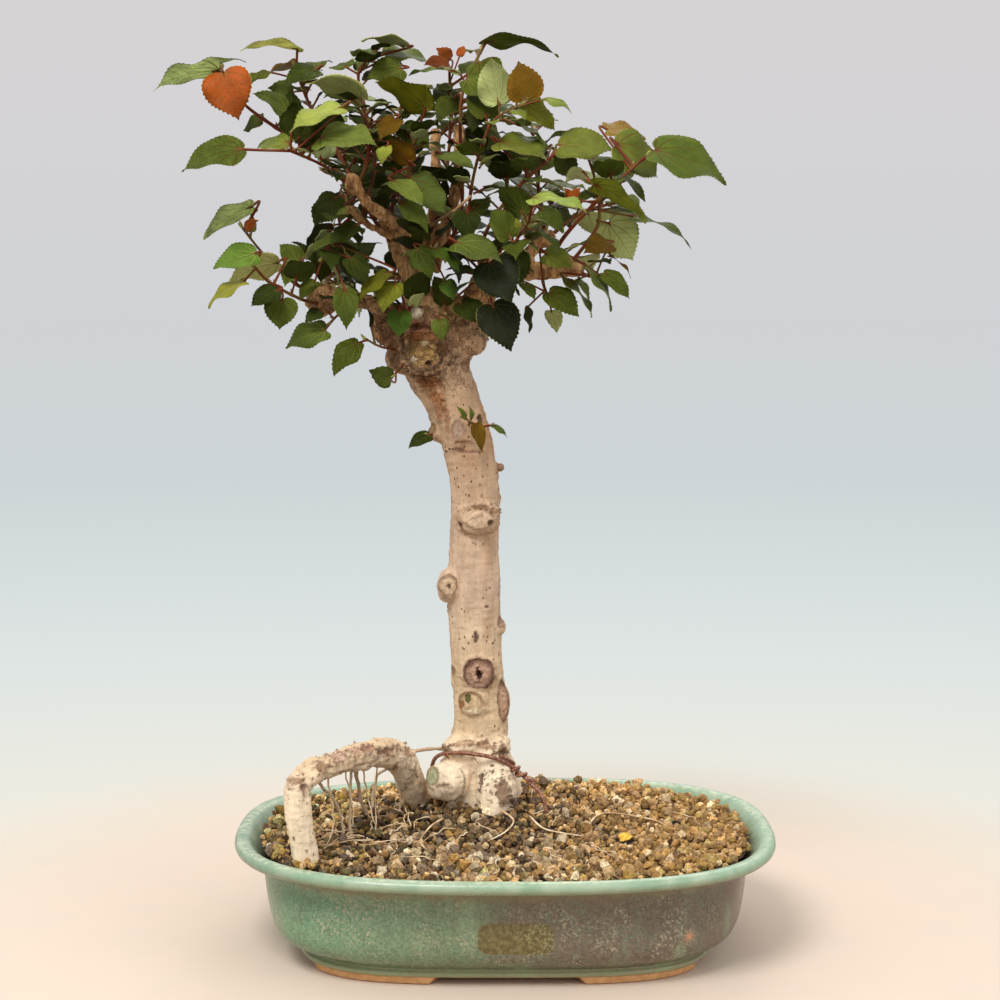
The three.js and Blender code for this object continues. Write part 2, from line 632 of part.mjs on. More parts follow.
// A bar of one thickness along straight stretches, mitred where they meet, so that its sides stay flat
function mitredBar(path, sides, radius) {
  const stops = path.map(vector);
  const headings = stops.slice(1).map((stop, i) => stop.clone().sub(stops[i]).normalize());
  const last = stops.length - 1;
  const upright = new THREE.Vector3(0.2, 0.1, 1);
  const across = new THREE.Vector3().crossVectors(headings[0], upright).normalize();
  const upward = new THREE.Vector3().crossVectors(headings[0], across);
  let ring = [];
  for (let i = 0; i < sides; i += 1) {
    const angle = (2 * Math.PI * i) / sides;
    const corner = stops[0].clone().addScaledVector(across, radius * Math.cos(angle));
    ring.push(corner.addScaledVector(upward, radius * Math.sin(angle)));
  }
  const positions = ring.flatMap((corner) => corner.toArray());
  const index = [];
  for (let k = 1; k <= last; k += 1) {
    const heading = headings[k - 1];
    const mitre = k < last ? heading.clone().add(headings[k]) : heading;
    ring = ring.map((corner) => {
      const travel = stops[k].clone().sub(corner).dot(mitre) / heading.dot(mitre);
      return corner.clone().addScaledVector(heading, travel);
    });
    positions.push(...ring.flatMap((corner) => corner.toArray()));
    for (let i = 0; i < sides; i += 1) {
      const here = (k - 1) * sides + i;
      const after = (k - 1) * sides + ((i + 1) % sides);
      index.push(here, after, after + sides);
      index.push(here, after + sides, here + sides);
    }
  }
  for (let i = 1; i < sides - 1; i += 1) {
    index.push(0, i + 1, i);
    index.push(last * sides, last * sides + i, last * sides + i + 1);
  }
  return solidOf(positions, index);
}

// Gentle lumps along bark
function barkSwell(angle, share) {
  return 1 + 0.05 * Math.sin(3 * angle + 17 * share) + 0.035 * Math.sin(5 * angle - 29 * share + 1);
}

// Pot
function ovalPoint(angle, halfLength, halfDepth) {
  const power = 2 / POT_ROUNDNESS;
  const c = Math.cos(angle);
  const s = Math.sin(angle);
  return [
    halfLength * Math.sign(c) * Math.abs(c) ** power,
    halfDepth * Math.sign(s) * Math.abs(s) ** power,
  ];
}

// Hand-made rims sag a little between the corners
function rimSag(angle, height) {
  const reach = Math.max(0, (height - RIM_SAG_START) / (RIM_TOP - RIM_SAG_START));
  return reach * (0.5 * Math.sin(2 * angle + 0.6) + 0.35 * Math.sin(3 * angle - 0.4));
}

// A profile of [inset, height] turned round the axis, then pressed to the pot's oval
function ovalBody(profile, shapeHeight) {
  const points = [new THREE.Vector2(0, profile[0][1])];
  for (const [inset, height] of profile) {
    points.push(new THREE.Vector2(POT_HALF_LENGTH - inset, height));
  }
  points.push(new THREE.Vector2(0, profile[profile.length - 1][1]));
  const geometry = new THREE.LatheGeometry(points, POT_SEGMENTS);
  const position = geometry.attributes.position;
  for (let i = 0; i < position.count; i += 1) {
    const reach = Math.hypot(position.getX(i), position.getZ(i));
    const turn = Math.atan2(position.getX(i), position.getZ(i));
    const slot = Math.round((turn / (2 * Math.PI)) * POT_SEGMENTS);
    const angle = (slot / POT_SEGMENTS) * 2 * Math.PI;
    const height = position.getY(i);
    if (reach < 0.001) {
      position.setXYZ(i, 0, 0, shapeHeight(0, 0, 0, height));
      continue;
    }
    const inset = Math.min(POT_HALF_LENGTH - reach, DEEPEST_INSET);
    const halfDepth = reach * (POT_HALF_DEPTH - inset) / (POT_HALF_LENGTH - inset);
    const [x, y] = ovalPoint(angle, reach, halfDepth);
    position.setXYZ(i, x, y, shapeHeight(x, y, angle, height));
  }
  return solidFrom(geometry);
}

function footSolid({ from, to }) {
  const geometry = new THREE.BoxGeometry(1, 1, 1, 3, 1, 1);
  const position = geometry.attributes.position;
  for (let i = 0; i < position.count; i += 1) {
    const low = position.getZ(i) < 0;
    const lead = position.getX(i) * (to - from - (low ? FOOT_TAPER : 0)) + (from + to) / 2;
    const inset = position.getY(i) < 0 ? FOOT_OUTER_INSET + (low ? FOOT_BATTER : 0) : FOOT_INNER_INSET;
    const [x, y] = ovalPoint(THREE.MathUtils.degToRad(lead), POT_HALF_LENGTH - inset, POT_HALF_DEPTH - inset);
    position.setXYZ(i, x, y, low ? 0 : BASE_BOTTOM + FOOT_SINK);
  }
  const solid = solidFrom(geometry);
  return solid.volume() > 0 ? solid : solidFrom(flipped(geometry));
}

function flipped(geometry) {
  const copy = geometry.clone();
  const index = copy.index.array;
  for (let i = 0; i < index.length; i += 3) {
    const keep = index[i];
    index[i] = index[i + 1];
    index[i + 1] = keep;
  }
  return copy;
}

function drainHole(x) {
  const geometry = new THREE.CylinderGeometry(DRAIN_HOLE_RADIUS, DRAIN_HOLE_RADIUS, 4 * FLOOR_TOP, 14);
  geometry.rotateX(Math.PI / 2);
  geometry.translate(x, 0, FLOOR_TOP);
  return solidFrom(geometry);
}

function makePot() {
  const sag = (x, y, angle, height) => height + rimSag(angle, height);
  let pot = ovalBody(potProfile, sag);
  for (const foot of feet) {
    pot = pot.add(footSolid(foot));
  }
  for (const side of [-1, 1]) {
    pot = pot.subtract(drainHole(side * DRAIN_HOLE_X));
  }
  return pot;
}

function makeDrainMesh(side) {
  const pitch = DRAIN_MESH_SIZE / DRAIN_MESH_HOLES;
  const hole = pitch * 0.7;
  const middle = (DRAIN_MESH_HOLES - 1) / 2;
  const height = FLOOR_TOP + SEAT_GAP + DRAIN_MESH_THICKNESS / 2;
  const plate = new THREE.BoxGeometry(DRAIN_MESH_SIZE, DRAIN_MESH_SIZE, DRAIN_MESH_THICKNESS);
  plate.translate(side * DRAIN_HOLE_X, 0, height);
  let sheet = solidFrom(plate);
  for (let row = 0; row < DRAIN_MESH_HOLES; row += 1) {
    for (let column = 0; column < DRAIN_MESH_HOLES; column += 1) {
      const punch = new THREE.BoxGeometry(hole, hole, 4 * DRAIN_MESH_THICKNESS);
      punch.translate(side * DRAIN_HOLE_X + (column - middle) * pitch, (row - middle) * pitch, height);
      sheet = sheet.subtract(solidFrom(punch));
    }
  }
  return sheet;
}

// Soil surface: mounded round the trunk, and again near the back right of the rim
function soilTop(x, y) {
  return soilMounds.reduce((height, { at, spread, height: rise }) => (
    height + rise * Math.exp(-(((x - at[0]) / spread[0]) ** 2) - ((y - at[1]) / spread[1]) ** 2)
  ), SOIL_EDGE_HEIGHT);
}

function makeSoil(treeGrown, wireGrown) {
  const wall = potProfile.slice(INNER_FACE_START).reverse();
  const profile = wall.map(([inset, height], i) => [inset + 2 * SEAT_GAP, height + (i === 0 ? SEAT_GAP : 0)]);
  const edge = [SOIL_EDGE_INSET, SOIL_EDGE_HEIGHT];
  profile.push(edge);
  for (let ring = 1; ring < SOIL_RINGS; ring += 1) {
    const share = ring / SOIL_RINGS;
    profile.push([edge[0] + share * (POT_HALF_LENGTH - edge[0]), Infinity]);
  }
  const random = seeded(77);
  const drawn = new Map();
  const relief = (x, y, angle, height) => {
    if (height < Infinity) {
      return height + rimSag(angle, height);
    }
    const key = `${x.toFixed(2)} ${y.toFixed(2)}`;
    if (!drawn.has(key)) {
      drawn.set(key, (random() - 0.5) * SOIL_RELIEF);
    }
    return soilTop(x, y) + drawn.get(key);
  };
  let soil = ovalBody(profile, relief);
  for (const side of [-1, 1]) {
    const pocket = new THREE.BoxGeometry(DRAIN_MESH_SIZE + 1, DRAIN_MESH_SIZE + 1, 4);
    pocket.translate(side * DRAIN_HOLE_X, 0, FLOOR_TOP + DRAIN_MESH_THICKNESS + 2 * SEAT_GAP - 2);
    soil = soil.subtract(solidFrom(pocket));
  }
  return largestPiece(soil.subtract(treeGrown).subtract(wireGrown));
}

// Tree
function knobSolid({ at, size }, grow) {
  const geometry = new THREE.IcosahedronGeometry(1, Math.max(...size) > 8.8 ? 1 : 0);
  const position = geometry.attributes.position;
  for (let i = 0; i < position.count; i += 1) {
    const x = position.getX(i);
    const y = position.getY(i);
    const z = position.getZ(i);
    const lump = 1 + 0.07 * Math.sin(4 * x + at[2]) + 0.06 * Math.sin(5 * z - 3 * y + at[0]);
    position.setXYZ(
      i,
      at[0] + x * (size[0] * lump + grow),
      at[1] + y * (size[1] * lump + grow),
      at[2] + z * (size[2] * lump + grow),
    );
  }
  return solidFrom(geometry);
}

function makeTree(grow) {
  const parts = [bentBar(trunk, TRUNK_SIDES, TRUNK_RINGS, barkSwell, grow)];
  for (const limb of limbs) {
    const swell = limb.sides > 5 ? barkSwell : plain;
    parts.push(bentBar(limb.path, limb.sides, limb.path.length - 1, swell, grow));
  }
  for (const knob of knobs) {
    parts.push(knobSolid(knob, grow));
  }
  let tree = joined(parts);
  if (grow === 0) {
    for (const dent of dents) {
      const geometry = new THREE.IcosahedronGeometry(dent.radius, 0);
      geometry.translate(dent.at[0], dent.at[1], dent.at[2]);
      tree = tree.subtract(solidFrom(geometry));
    }
  }
  return largestPiece(tree);
}

// Leaf outlines on one side of the midrib, from the notch to just before the tip: [along, across]
const outlineLarge = [[-0.12, 0.2], [-0.03, 0.43], [0.2, 0.51], [0.5, 0.4], [0.78, 0.18]];
const outlineMedium = [[-0.11, 0.24], [0.1, 0.49], [0.42, 0.44], [0.74, 0.2]];
const outlineSmall = [[-0.1, 0.3], [0.26, 0.5], [0.66, 0.27]];
const outlineTiny = [[0, 0.36], [0.5, 0.44]];

function outlineFor(length) {
  if (length > 27) {
    return outlineLarge;
  }
  if (length > 20) {
    return outlineMedium;
  }
  return length > 8 ? outlineSmall : outlineTiny;
}

// Height of the blade's middle surface above its flat frame, for a place along and across it
function bladeHeight(blade, along, across) {
  const half = Math.abs(across) * blade.width;
  const sway = Math.sin(8 * along + 2.1 * Math.sign(across) + blade.phase) * Math.abs(across) * 2;
  return blade.length * (BLADE_FOLD * half + BLADE_ARCH * 4 * along * (1 - along) + BLADE_RUFFLE * sway);
}

function bladePoint(blade, along, across, lift) {
  const height = bladeHeight(blade, along, across) + lift;
  return blade.base.clone()
    .addScaledVector(blade.along, along * blade.length)
    .addScaledVector(blade.side, across * blade.width * blade.length)
    .addScaledVector(blade.face, height);
}

function makeBlade(base, tip, face, width, tint, phase) {
  const along = tip.clone().sub(base);
  const length = along.length();
  along.normalize();
  const flatFace = face.clone().addScaledVector(along, -face.dot(along)).normalize();
  const side = new THREE.Vector3().crossVectors(flatFace, along);
  return { base, tip, along, face: flatFace, side, length, width, tint, phase };
}

// Upper face of a leaf that is given by its tilt away from the viewer
function facing(base, tip, tiltDegrees) {
  const along = tip.clone().sub(base).normalize();
  const toViewer = new THREE.Vector3(0, -1, 0);
  toViewer.addScaledVector(along, -toViewer.dot(along)).normalize();
  const turnedUp = new THREE.Vector3().crossVectors(toViewer, along);
  if (turnedUp.z < -0.15 || (Math.abs(turnedUp.z) <= 0.15 && turnedUp.x < 0)) {
    turnedUp.negate();
  }
  const tilt = THREE.MathUtils.degToRad(tiltDegrees);
  return toViewer.multiplyScalar(Math.cos(tilt)).addScaledVector(turnedUp, Math.sin(tilt));
}

// A blade and its petiole as one closed mesh, with both faces split into triangles alike.
// Each face's loop runs from the notch over the right lobe to the tip and back over the left one.
// The petiole is three-sided: its ridge meets the upper face's notch, and its base the lower face's.
function leafSolid(blade, petiole, grow) {
  const outline = outlineFor(blade.length);
  const half = BLADE_THICKNESS / 2 + grow;
  const spread = 1 + (2 * grow) / blade.length;
  const mouth = (0.9 * PETIOLE_RADIUS + grow) / (blade.width * blade.length);
  const right = outline.map(([along, across]) => [along, across * spread]);
  const left = [...right].reverse().map(([along, across]) => [along, -across]);
  const upper = [[0, 0], ...right, [1, 0], ...left];
  const lower = [[0, mouth], ...right, [1, 0], ...left, [0, -mouth]];
  const tip = right.length + 1;
  const count = upper.length;
  const positions = [
    ...upper.flatMap(([along, across]) => bladePoint(blade, along, across, half).toArray()),
    ...lower.flatMap(([along, across]) => bladePoint(blade, along, across, -half).toArray()),
  ];
  const rightNotch = count;
  const leftNotch = 2 * count;
  const index = [rightNotch, count + tip, leftNotch];
  for (let i = 1; i < count - 1; i += 1) {
    index.push(0, i + 1, i);
    index.push(i < tip ? rightNotch : leftNotch, count + i, count + i + 1);
  }
  for (let i = 0; i < count; i += 1) {
    const next = (i + 1) % count;
    index.push(i, next, count + i + 1);
    index.push(i, count + i + 1, count + i);
  }
  addPetiole(positions, index, [0, leftNotch, rightNotch], blade, petiole, grow);
  return solidOf(positions, index);
}

// Three-cornered rings from the notch back to the stem, each turned as little as the bend asks
const petioleSection = [[0, 1], [-0.9, -0.65], [0.9, -0.65]];

function addPetiole(positions, index, mouthRing, blade, petiole, grow) {
  const points = [...petiole].reverse().map(vector);
  let heading = blade.along.clone().negate();
  let across = blade.side.clone();
  let ring = mouthRing;
  for (let k = 1; k < points.length; k += 1) {
    const incoming = points[k].clone().sub(points[k - 1]).normalize();
    const outgoing = k + 1 < points.length ? points[k + 1].clone().sub(points[k]).normalize() : incoming;
    const next = incoming.clone().add(outgoing).normalize();
    across = across.clone().applyQuaternion(new THREE.Quaternion().setFromUnitVectors(heading, next));
    heading = next;
    const upward = new THREE.Vector3().crossVectors(across, heading);
    const size = (k + 1 < points.length ? PETIOLE_RADIUS : PETIOLE_END) + grow;
    const first = positions.length / 3;
    for (const [side, rise] of petioleSection) {
      const corner = points[k].clone().addScaledVector(across, side * size).addScaledVector(upward, rise * size);
      positions.push(...corner.toArray());
    }
    const nextRing = [first, first + 1, first + 2];
    for (let j = 0; j < 3; j += 1) {
      const after = (j + 1) % 3;
      index.push(ring[j], nextRing[j], nextRing[after]);
      index.push(ring[j], nextRing[after], ring[after]);
    }
    ring = nextRing;
  }
  index.push(ring[0], ring[2], ring[1]);
}

// A petiole runs straight from the stem to the notch, or first meets the midrib's line behind the lobes
function petiolePath(start, blade) {
  const toStem = start.clone().sub(blade.base);
  const reach = toStem.length();
  const path = [[...start.toArray(), PETIOLE_RADIUS]];
  const straightness = -toStem.dot(blade.along) / reach;
  const sideways = Math.abs(toStem.dot(blade.side)) / reach;
  if (straightness < -0.1 || sideways > 0.6) {
    const back = Math.min(0.13 * blade.length + 1.2, 0.55 * reach);
    const elbow = blade.base.clone().addScaledVector(blade.along, -back);
    path.push([...elbow.toArray(), PETIOLE_RADIUS]);
  }
  path.push([...blade.base.toArray(), PETIOLE_RADIUS]);
  return path;
}

// Clear room between leaves: a place is too near a blade when it lies over its outline at a small height
function overBlade(blade, point) {
  const offset = point.clone().sub(blade.base);
  const along = offset.dot(blade.along) / blade.length;
  const across = offset.dot(blade.side) / (blade.width * blade.length);
  const reach = 0.5 * Math.min(1, 1.25 * (1.04 - along)) + BLADE_CLEARANCE / (blade.width * blade.length);
  if (along < -0.18 || along > 1.05 || Math.abs(across) > reach) {
    return null;
  }
  return offset.dot(blade.face) - bladeHeight(blade, along, across);
}

const samplePlaces = [
  [0, 0], [-0.1, 0.3], [-0.1, -0.3], [0.15, 0.5], [0.15, -0.5], [0.5, 0.4], [0.5, -0.4], [0.78, 0.18], [0.78, -0.18],
  [1, 0], [0.2, 0.22], [0.2, -0.22], [0.4, 0], [0.7, 0],
];

function bladeSamples(blade) {
  return samplePlaces.map(([along, across]) => bladePoint(blade, along, across, 0));
}

function samplesClash(blade, samples, clearance) {
  let above = false;
  let below = false;
  for (const sample of samples) {
    const height = overBlade(blade, sample);
    if (height === null) {
      continue;
    }
    if (Math.abs(height) < clearance) {
      return true;
    }
    above = above || height > 0;
    below = below || height < 0;
  }
  return above && below;
}

function bladesClash(first, second) {
  const apart = first.middle.distanceTo(second.middle);
  if (apart > 0.75 * (first.length + second.length)) {
    return false;
  }
  return samplesClash(first, second.samples, BLADE_CLEARANCE) || samplesClash(second, first.samples, BLADE_CLEARANCE);
}

function barSamples(path, step) {
  const reach = vector(path[0]).distanceTo(vector(path[path.length - 1]));
  const count = Math.max(2, Math.round((reach * 1.1) / step));
  const samples = [];
  for (let i = 0; i <= count; i += 1) {
    const here = lineAt(path, i / count);
    samples.push({ point: vector(here), radius: here[3] });
  }
  return samples;
}

function barHitsBlade(samples, blade) {
  return samples.some(({ point, radius }) => {
    const height = overBlade(blade, point);
    return height !== null && Math.abs(height) < radius + BAR_CLEARANCE;
  });
}

const placed = [];
const bars = [];
for (const limb of [{ path: trunk }, ...limbs]) {
  bars.push({ owner: "tree", samples: barSamples(limb.path, LIMB_STEP) });
}

function isClear(blade, petiole, owner) {
  if (placed.some((other) => bladesClash(blade, other.blade))) {
    return false;
  }
  if (bars.some((bar) => bar.owner !== owner && barHitsBlade(bar.samples, blade))) {
    return false;
  }
  return !placed.some((other) => barHitsBlade(petiole, other.blade));
}

function finishBlade(blade) {
  blade.samples = bladeSamples(blade);
  blade.middle = bladePoint(blade, 0.4, 0, 0);
  return blade;
}

function keepLeaf(shoot, blade, path) {
  placed.push({ owner: shoot.name, blade });
  bars.push({ owner: shoot.name, samples: barSamples(path, BAR_STEP) });
  shoot.built.push({ blade, path });
}

function insideBark(point) {
  return bars.some((bar) => bar.owner === "tree"
    && bar.samples.some((sample) => sample.point.distanceTo(point) < sample.radius + BARK_CLEARANCE));
}

// Share of the stem's length at which it has left the bark
function clearShare(stem) {
  let share = 0;
  while (share < 0.85 && insideBark(vector(lineAt(stem, share)))) {
    share += 0.025;
  }
  return share + 0.05;
}

// Nearest free place on the stem for a petiole, which stops just inside the stem's skin
function petioleStart(shoot, point) {
  let best = null;
  for (let share = shoot.clearFrom; share <= shoot.lastShare; share += 0.02) {
    const here = lineAt(shoot.path, share);
    const taken = shoot.starts.some((other) => Math.abs(other - share) * shoot.length < PETIOLE_SPACING);
    const gap = vector(here).distanceTo(point) + (taken ? TAKEN_PENALTY : 0);
    if (best === null || gap < best.gap) {
      best = { gap, here, share };
    }
  }
  return best;
}

function sunkStart(here, toward) {
  const outward = toward.clone().sub(vector(here)).normalize();
  return vector(here).addScaledVector(outward, 0.35 * here[3]);
}

function stemWithRadius(shoot) {
  const radius = Math.max(STEM_LEAST, (shoot.radius[0] + shoot.radius[1]) / 2);
  return shoot.stem.map((point) => [...point, radius]);
}

// Depth steps that a measured leaf may take to come clear of its neighbours
const depthSteps = [0, -3, 3, -6, 6, -9, 9, 13, -13];

function placeMeasuredLeaves(shoot, shootIndex) {
  shoot.leaves.forEach((leaf, leafIndex) => {
    const [bx, by, bz, tx, ty, tz, tilt, width, tint] = leaf;
    const place = petioleStart(shoot, new THREE.Vector3(bx, by, bz));
    shoot.starts.push(place.share);
    let chosen = null;
    for (const step of depthSteps) {
      const base = new THREE.Vector3(bx, by + step, bz);
      const tip = new THREE.Vector3(tx, ty + step, tz);
      const blade = finishBlade(makeBlade(base, tip, facing(base, tip, tilt), width, tint, shootIndex + 1.7 * leafIndex));
      const path = petiolePath(sunkStart(place.here, base), blade);
      if (chosen === null) {
        chosen = { blade, path };
      }
      if (isClear(blade, barSamples(path, BAR_STEP), shoot.name)) {
        chosen = { blade, path };
        break;
      }
    }
    keepLeaf(shoot, chosen.blade, chosen.path);
  });
}

// Leaves by rule: they turn round the stem by the golden angle and droop outward under a lifted petiole
const GOLDEN_ANGLE = 2.39996;
const turnTries = [
  [0, 0], [0.35, 0], [-0.35, 0], [0, 0.3], [0, -0.3], [0.7, 0.2], [-0.7, 0.2], [1.1, -0.2], [-1.1, -0.2],
  [1.6, 0.1], [-1.6, 0.1], [2.3, 0], [-2.3, 0], [3.1, 0.2],
];

function ruledLeaf(shoot, random, order, count, firstShare) {
  const first = Math.max(firstShare, shoot.clearFrom);
  const share = Math.min(first + (1 - first) * ((order + 0.7) / count), shoot.lastShare);
  const here = lineAt(shoot.path, share);
  const start = vector(here);
  const ahead = vector(lineAt(shoot.path, Math.min(share + 0.03, 1)));
  const along = ahead.sub(vector(lineAt(shoot.path, share - 0.03))).normalize();
  const right = new THREE.Vector3().crossVectors(along, new THREE.Vector3(0.3, 0.1, 1)).normalize();
  const front = new THREE.Vector3().crossVectors(right, along);
  const turn = order * GOLDEN_ANGLE + random() * 0.8;
  const petiole = 7 + 7 * random();
  const length = 17 + 9 * random();
  const droop = 0.25 + 0.5 * random();
  const width = 0.74 + 0.16 * random();
  const phase = 6 * random();
  return turnTries.map(([swing, rise]) => {
    const out = right.clone().multiplyScalar(Math.cos(turn + swing)).addScaledVector(front, Math.sin(turn + swing));
    const reach = out.clone().addScaledVector(along, 0.55).add(new THREE.Vector3(0, 0, 0.25 + rise)).normalize();
    const base = start.clone().addScaledVector(reach, petiole);
    const heading = reach.clone();
    heading.z -= droop;
    heading.normalize();
    const tip = base.clone().addScaledVector(heading, length);
    const face = new THREE.Vector3(0, 0, 1).addScaledVector(out, 0.45);
    const blade = finishBlade(makeBlade(base, tip, face, width, shoot.ruleTint, phase));
    return { blade, path: petiolePath(sunkStart(here, base), blade) };
  });
}

// Where the viewer sees a point, carried to the outline's depth
function seenPlace(point) {
  const scale = (OUTLINE_DEPTH - VIEWER.y) / (point.y - VIEWER.y);
  return [VIEWER.x + (point.x - VIEWER.x) * scale, VIEWER.z + (point.z - VIEWER.z) * scale];
}

function insideCrown(point) {
  const [x, z] = seenPlace(point);
  let inside = false;
  crownOutline.forEach(([ax, az], i) => {
    const [bx, bz] = crownOutline[(i + 1) % crownOutline.length];
    if ((az > z) !== (bz > z) && x < ax + ((z - az) / (bz - az)) * (bx - ax)) {
      inside = !inside;
    }
  });
  return inside;
}

function placeRuledLeaves(shoot, seed, count, firstShare) {
  const random = seeded(seed);
  for (let order = 0; order < count; order += 1) {
    const tries = ruledLeaf(shoot, random, order, count, firstShare);
    const clear = tries.find(({ blade, path }) => insideCrown(blade.tip) && insideCrown(blade.middle)
      && isClear(blade, barSamples(path, BAR_STEP), shoot.name));
    if (clear) {
      keepLeaf(shoot, clear.blade, clear.path);
    }
  }
}

function backShootStem({ from, to }) {
  const start = vector(from);
  const end = vector(to);
  const middle = start.clone().add(end).multiplyScalar(0.5);
  const lean = start.distanceTo(end) * 0.1;
  middle.z += end.z > start.z + 30 ? -lean : lean;
  return [start.toArray(), middle.toArray(), end.toArray()];
}

const allShoots = [
  ...shoots.map((shoot) => ({ ...shoot, ruleTint: "dark" })),
  ...backShoots.map((shoot) => ({
    name: shoot.name,
    radius: [1.5, 0.8],
    stem: backShootStem(shoot),
    leaves: [],
    more: shoot.leaves,
    ruleTint: shoot.tint,
  })),
];

for (const knob of knobs) {
  bars.push({ owner: "tree", samples: [{ point: vector(knob.at), radius: Math.max(...knob.size) }] });
}
for (const shoot of allShoots) {
  shoot.path = stemWithRadius(shoot);
  shoot.length = vector(shoot.path[0]).distanceTo(vector(shoot.path[shoot.path.length - 1]));
  shoot.lastShare = 1 - 0.8 / shoot.length;
  shoot.clearFrom = Math.min(clearShare(shoot.path), shoot.lastShare - 0.01);
  shoot.starts = [];
  shoot.built = [];
  bars.push({ owner: shoot.name, samples: barSamples(shoot.path, BAR_STEP) });
}
allShoots.forEach((shoot, index) => placeMeasuredLeaves(shoot, index));
allShoots.forEach((shoot, index) => placeRuledLeaves(shoot, 1000 + 31 * index, shoot.more, 0.3));

function shootSolid(shoot, grow) {
  const parts = [mitredBar(shoot.path, STEM_SIDES, STEM_WIDEN * shoot.path[0][3] + 2 * grow)];
  for (const { blade, path } of shoot.built) {
    parts.push(leafSolid(blade, path, grow));
  }
  return joined(parts);
}

function boxesMeet(first, second) {
  const a = first.boundingBox();
  const b = second.boundingBox();
  return [0, 1, 2].every((k) => a.min[k] < b.max[k] && b.min[k] < a.max[k]);
}

// A shoot ends at the bark, and gives way to shoots that were made before it
function trimShoots(treeGrown) {
  const done = [];
  for (const shoot of allShoots) {
    let solid = shootSolid(shoot, 0).subtract(treeGrown);
    for (const other of done) {
      if (!boxesMeet(solid, other.solid)) {
        continue;
      }
      if (solid.intersect(other.solid).volume() > 1e-6) {
        solid = solid.subtract(shootSolid(other.shoot, SEAT_GAP / 2));
      }
    }
    done.push({ shoot, solid: largestPiece(solid) });
  }
  return done;
}

function makeWire(grow) {
  const withRadius = (points, radius) => points.map((point) => [...point, radius]);
  const loop = bentBar(withRadius(tieWire, WIRE_RADIUS), 5, 2 * (tieWire.length - 1), plain, grow);
  const twist = bentBar(withRadius(wireTwist, 1.7 * WIRE_RADIUS), 6, 2, plain, grow);
  return loop.add(twist);
}

// The fallen leaf is let down until it touches the soil, then lifted by the seat gap
function makeFallenLeaf(soil) {
  const base = vector(fallenLeaf.base);
  const tip = vector(fallenLeaf.tip);
  const blade = makeBlade(base, tip, new THREE.Vector3(0, 0, 1), fallenLeaf.width, "lime", 0);
  const stub = base.clone().addScaledVector(blade.along, -2);
  const leaf = leafSolid(blade, [stub.toArray(), base.toArray()], 0);
  let drop = 0;
  while (drop < 8 && leaf.translate([0, 0, -drop]).intersect(soil).volume() < 1e-6) {
    drop += SETTLE_STEP;
  }
  return leaf.translate([0, 0, SEAT_GAP + SETTLE_STEP - drop]);
}

// Assembly
const plant = new THREE.Group();

function addPiece(name, solid, colour, roughness) {
  const material = new THREE.MeshStandardMaterial({ color: colour, roughness, metalness: 0 });
  const mesh = new THREE.Mesh(geometryFrom(solid), material);
  mesh.name = name;
  plant.add(mesh);
  return mesh;
}

function commonTint(shoot) {
  return shoot.leaves.length > 0 ? shoot.leaves[0][8] : shoot.ruleTint;
}

const tree = makeTree(0);
const treeGrown = makeTree(SEAT_GAP);
const wire = makeWire(0).subtract(treeGrown);
const soil = makeSoil(treeGrown, makeWire(SEAT_GAP));

addPiece("pot", makePot(), colours.glaze, 0.35);
addPiece("drain_mesh_left", makeDrainMesh(-1), colours.drainMesh, 0.6);
addPiece("drain_mesh_right", makeDrainMesh(1), colours.drainMesh, 0.6);
addPiece("soil", soil, colours.soil, 0.95);
addPiece("tree", tree, colours.bark, 0.85);
addPiece("tie_wire", largestPiece(wire), colours.wire, 0.45).material.metalness = 0.6;
addPiece("fallen_leaf", makeFallenLeaf(soil), colours.fallenLeaf, 0.6);
for (const { shoot, solid } of trimShoots(treeGrown)) {
  addPiece(shoot.name, solid, tints[commonTint(shoot)], 0.6);
}

// The origin is the middle of the underside of everything
const whole = new THREE.Box3().setFromObject(plant);
const middle = whole.getCenter(new THREE.Vector3());
plant.position.set(-middle.x, -middle.y, -whole.min.z);

export default plant;
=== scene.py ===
import json
import math

import bmesh
import bpy
import numpy as np
from bpy.props import FloatProperty, FloatVectorProperty, IntProperty, PointerProperty
from mathutils import Euler, Matrix, Vector, noise
from mathutils.bvhtree import BVHTree


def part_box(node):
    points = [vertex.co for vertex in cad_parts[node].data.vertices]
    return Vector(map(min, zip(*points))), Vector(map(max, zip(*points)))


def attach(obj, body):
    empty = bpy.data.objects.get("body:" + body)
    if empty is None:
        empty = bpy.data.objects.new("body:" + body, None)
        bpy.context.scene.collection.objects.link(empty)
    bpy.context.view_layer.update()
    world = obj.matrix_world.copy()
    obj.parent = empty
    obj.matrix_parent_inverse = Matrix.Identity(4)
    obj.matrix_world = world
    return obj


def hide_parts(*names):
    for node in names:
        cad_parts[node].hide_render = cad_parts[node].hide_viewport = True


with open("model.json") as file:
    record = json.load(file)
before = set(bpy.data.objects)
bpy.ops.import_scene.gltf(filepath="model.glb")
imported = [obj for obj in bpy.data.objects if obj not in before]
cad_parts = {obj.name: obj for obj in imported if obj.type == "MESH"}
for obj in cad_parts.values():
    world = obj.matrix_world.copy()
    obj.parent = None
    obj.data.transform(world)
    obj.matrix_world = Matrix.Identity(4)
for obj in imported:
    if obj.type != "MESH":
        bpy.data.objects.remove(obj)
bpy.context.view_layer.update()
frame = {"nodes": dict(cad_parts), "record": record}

bl_info = {
    "name": "Sea hibiscus bonsai",
    "version": (1, 0, 0),
    "blender": (4, 5, 0),
    "location": "View3D > Sidebar > Bonsai",
    "description": "Builds the bark, leaves, soil, glazed pot and stage of a potted sea hibiscus",
    "category": "Object",
}

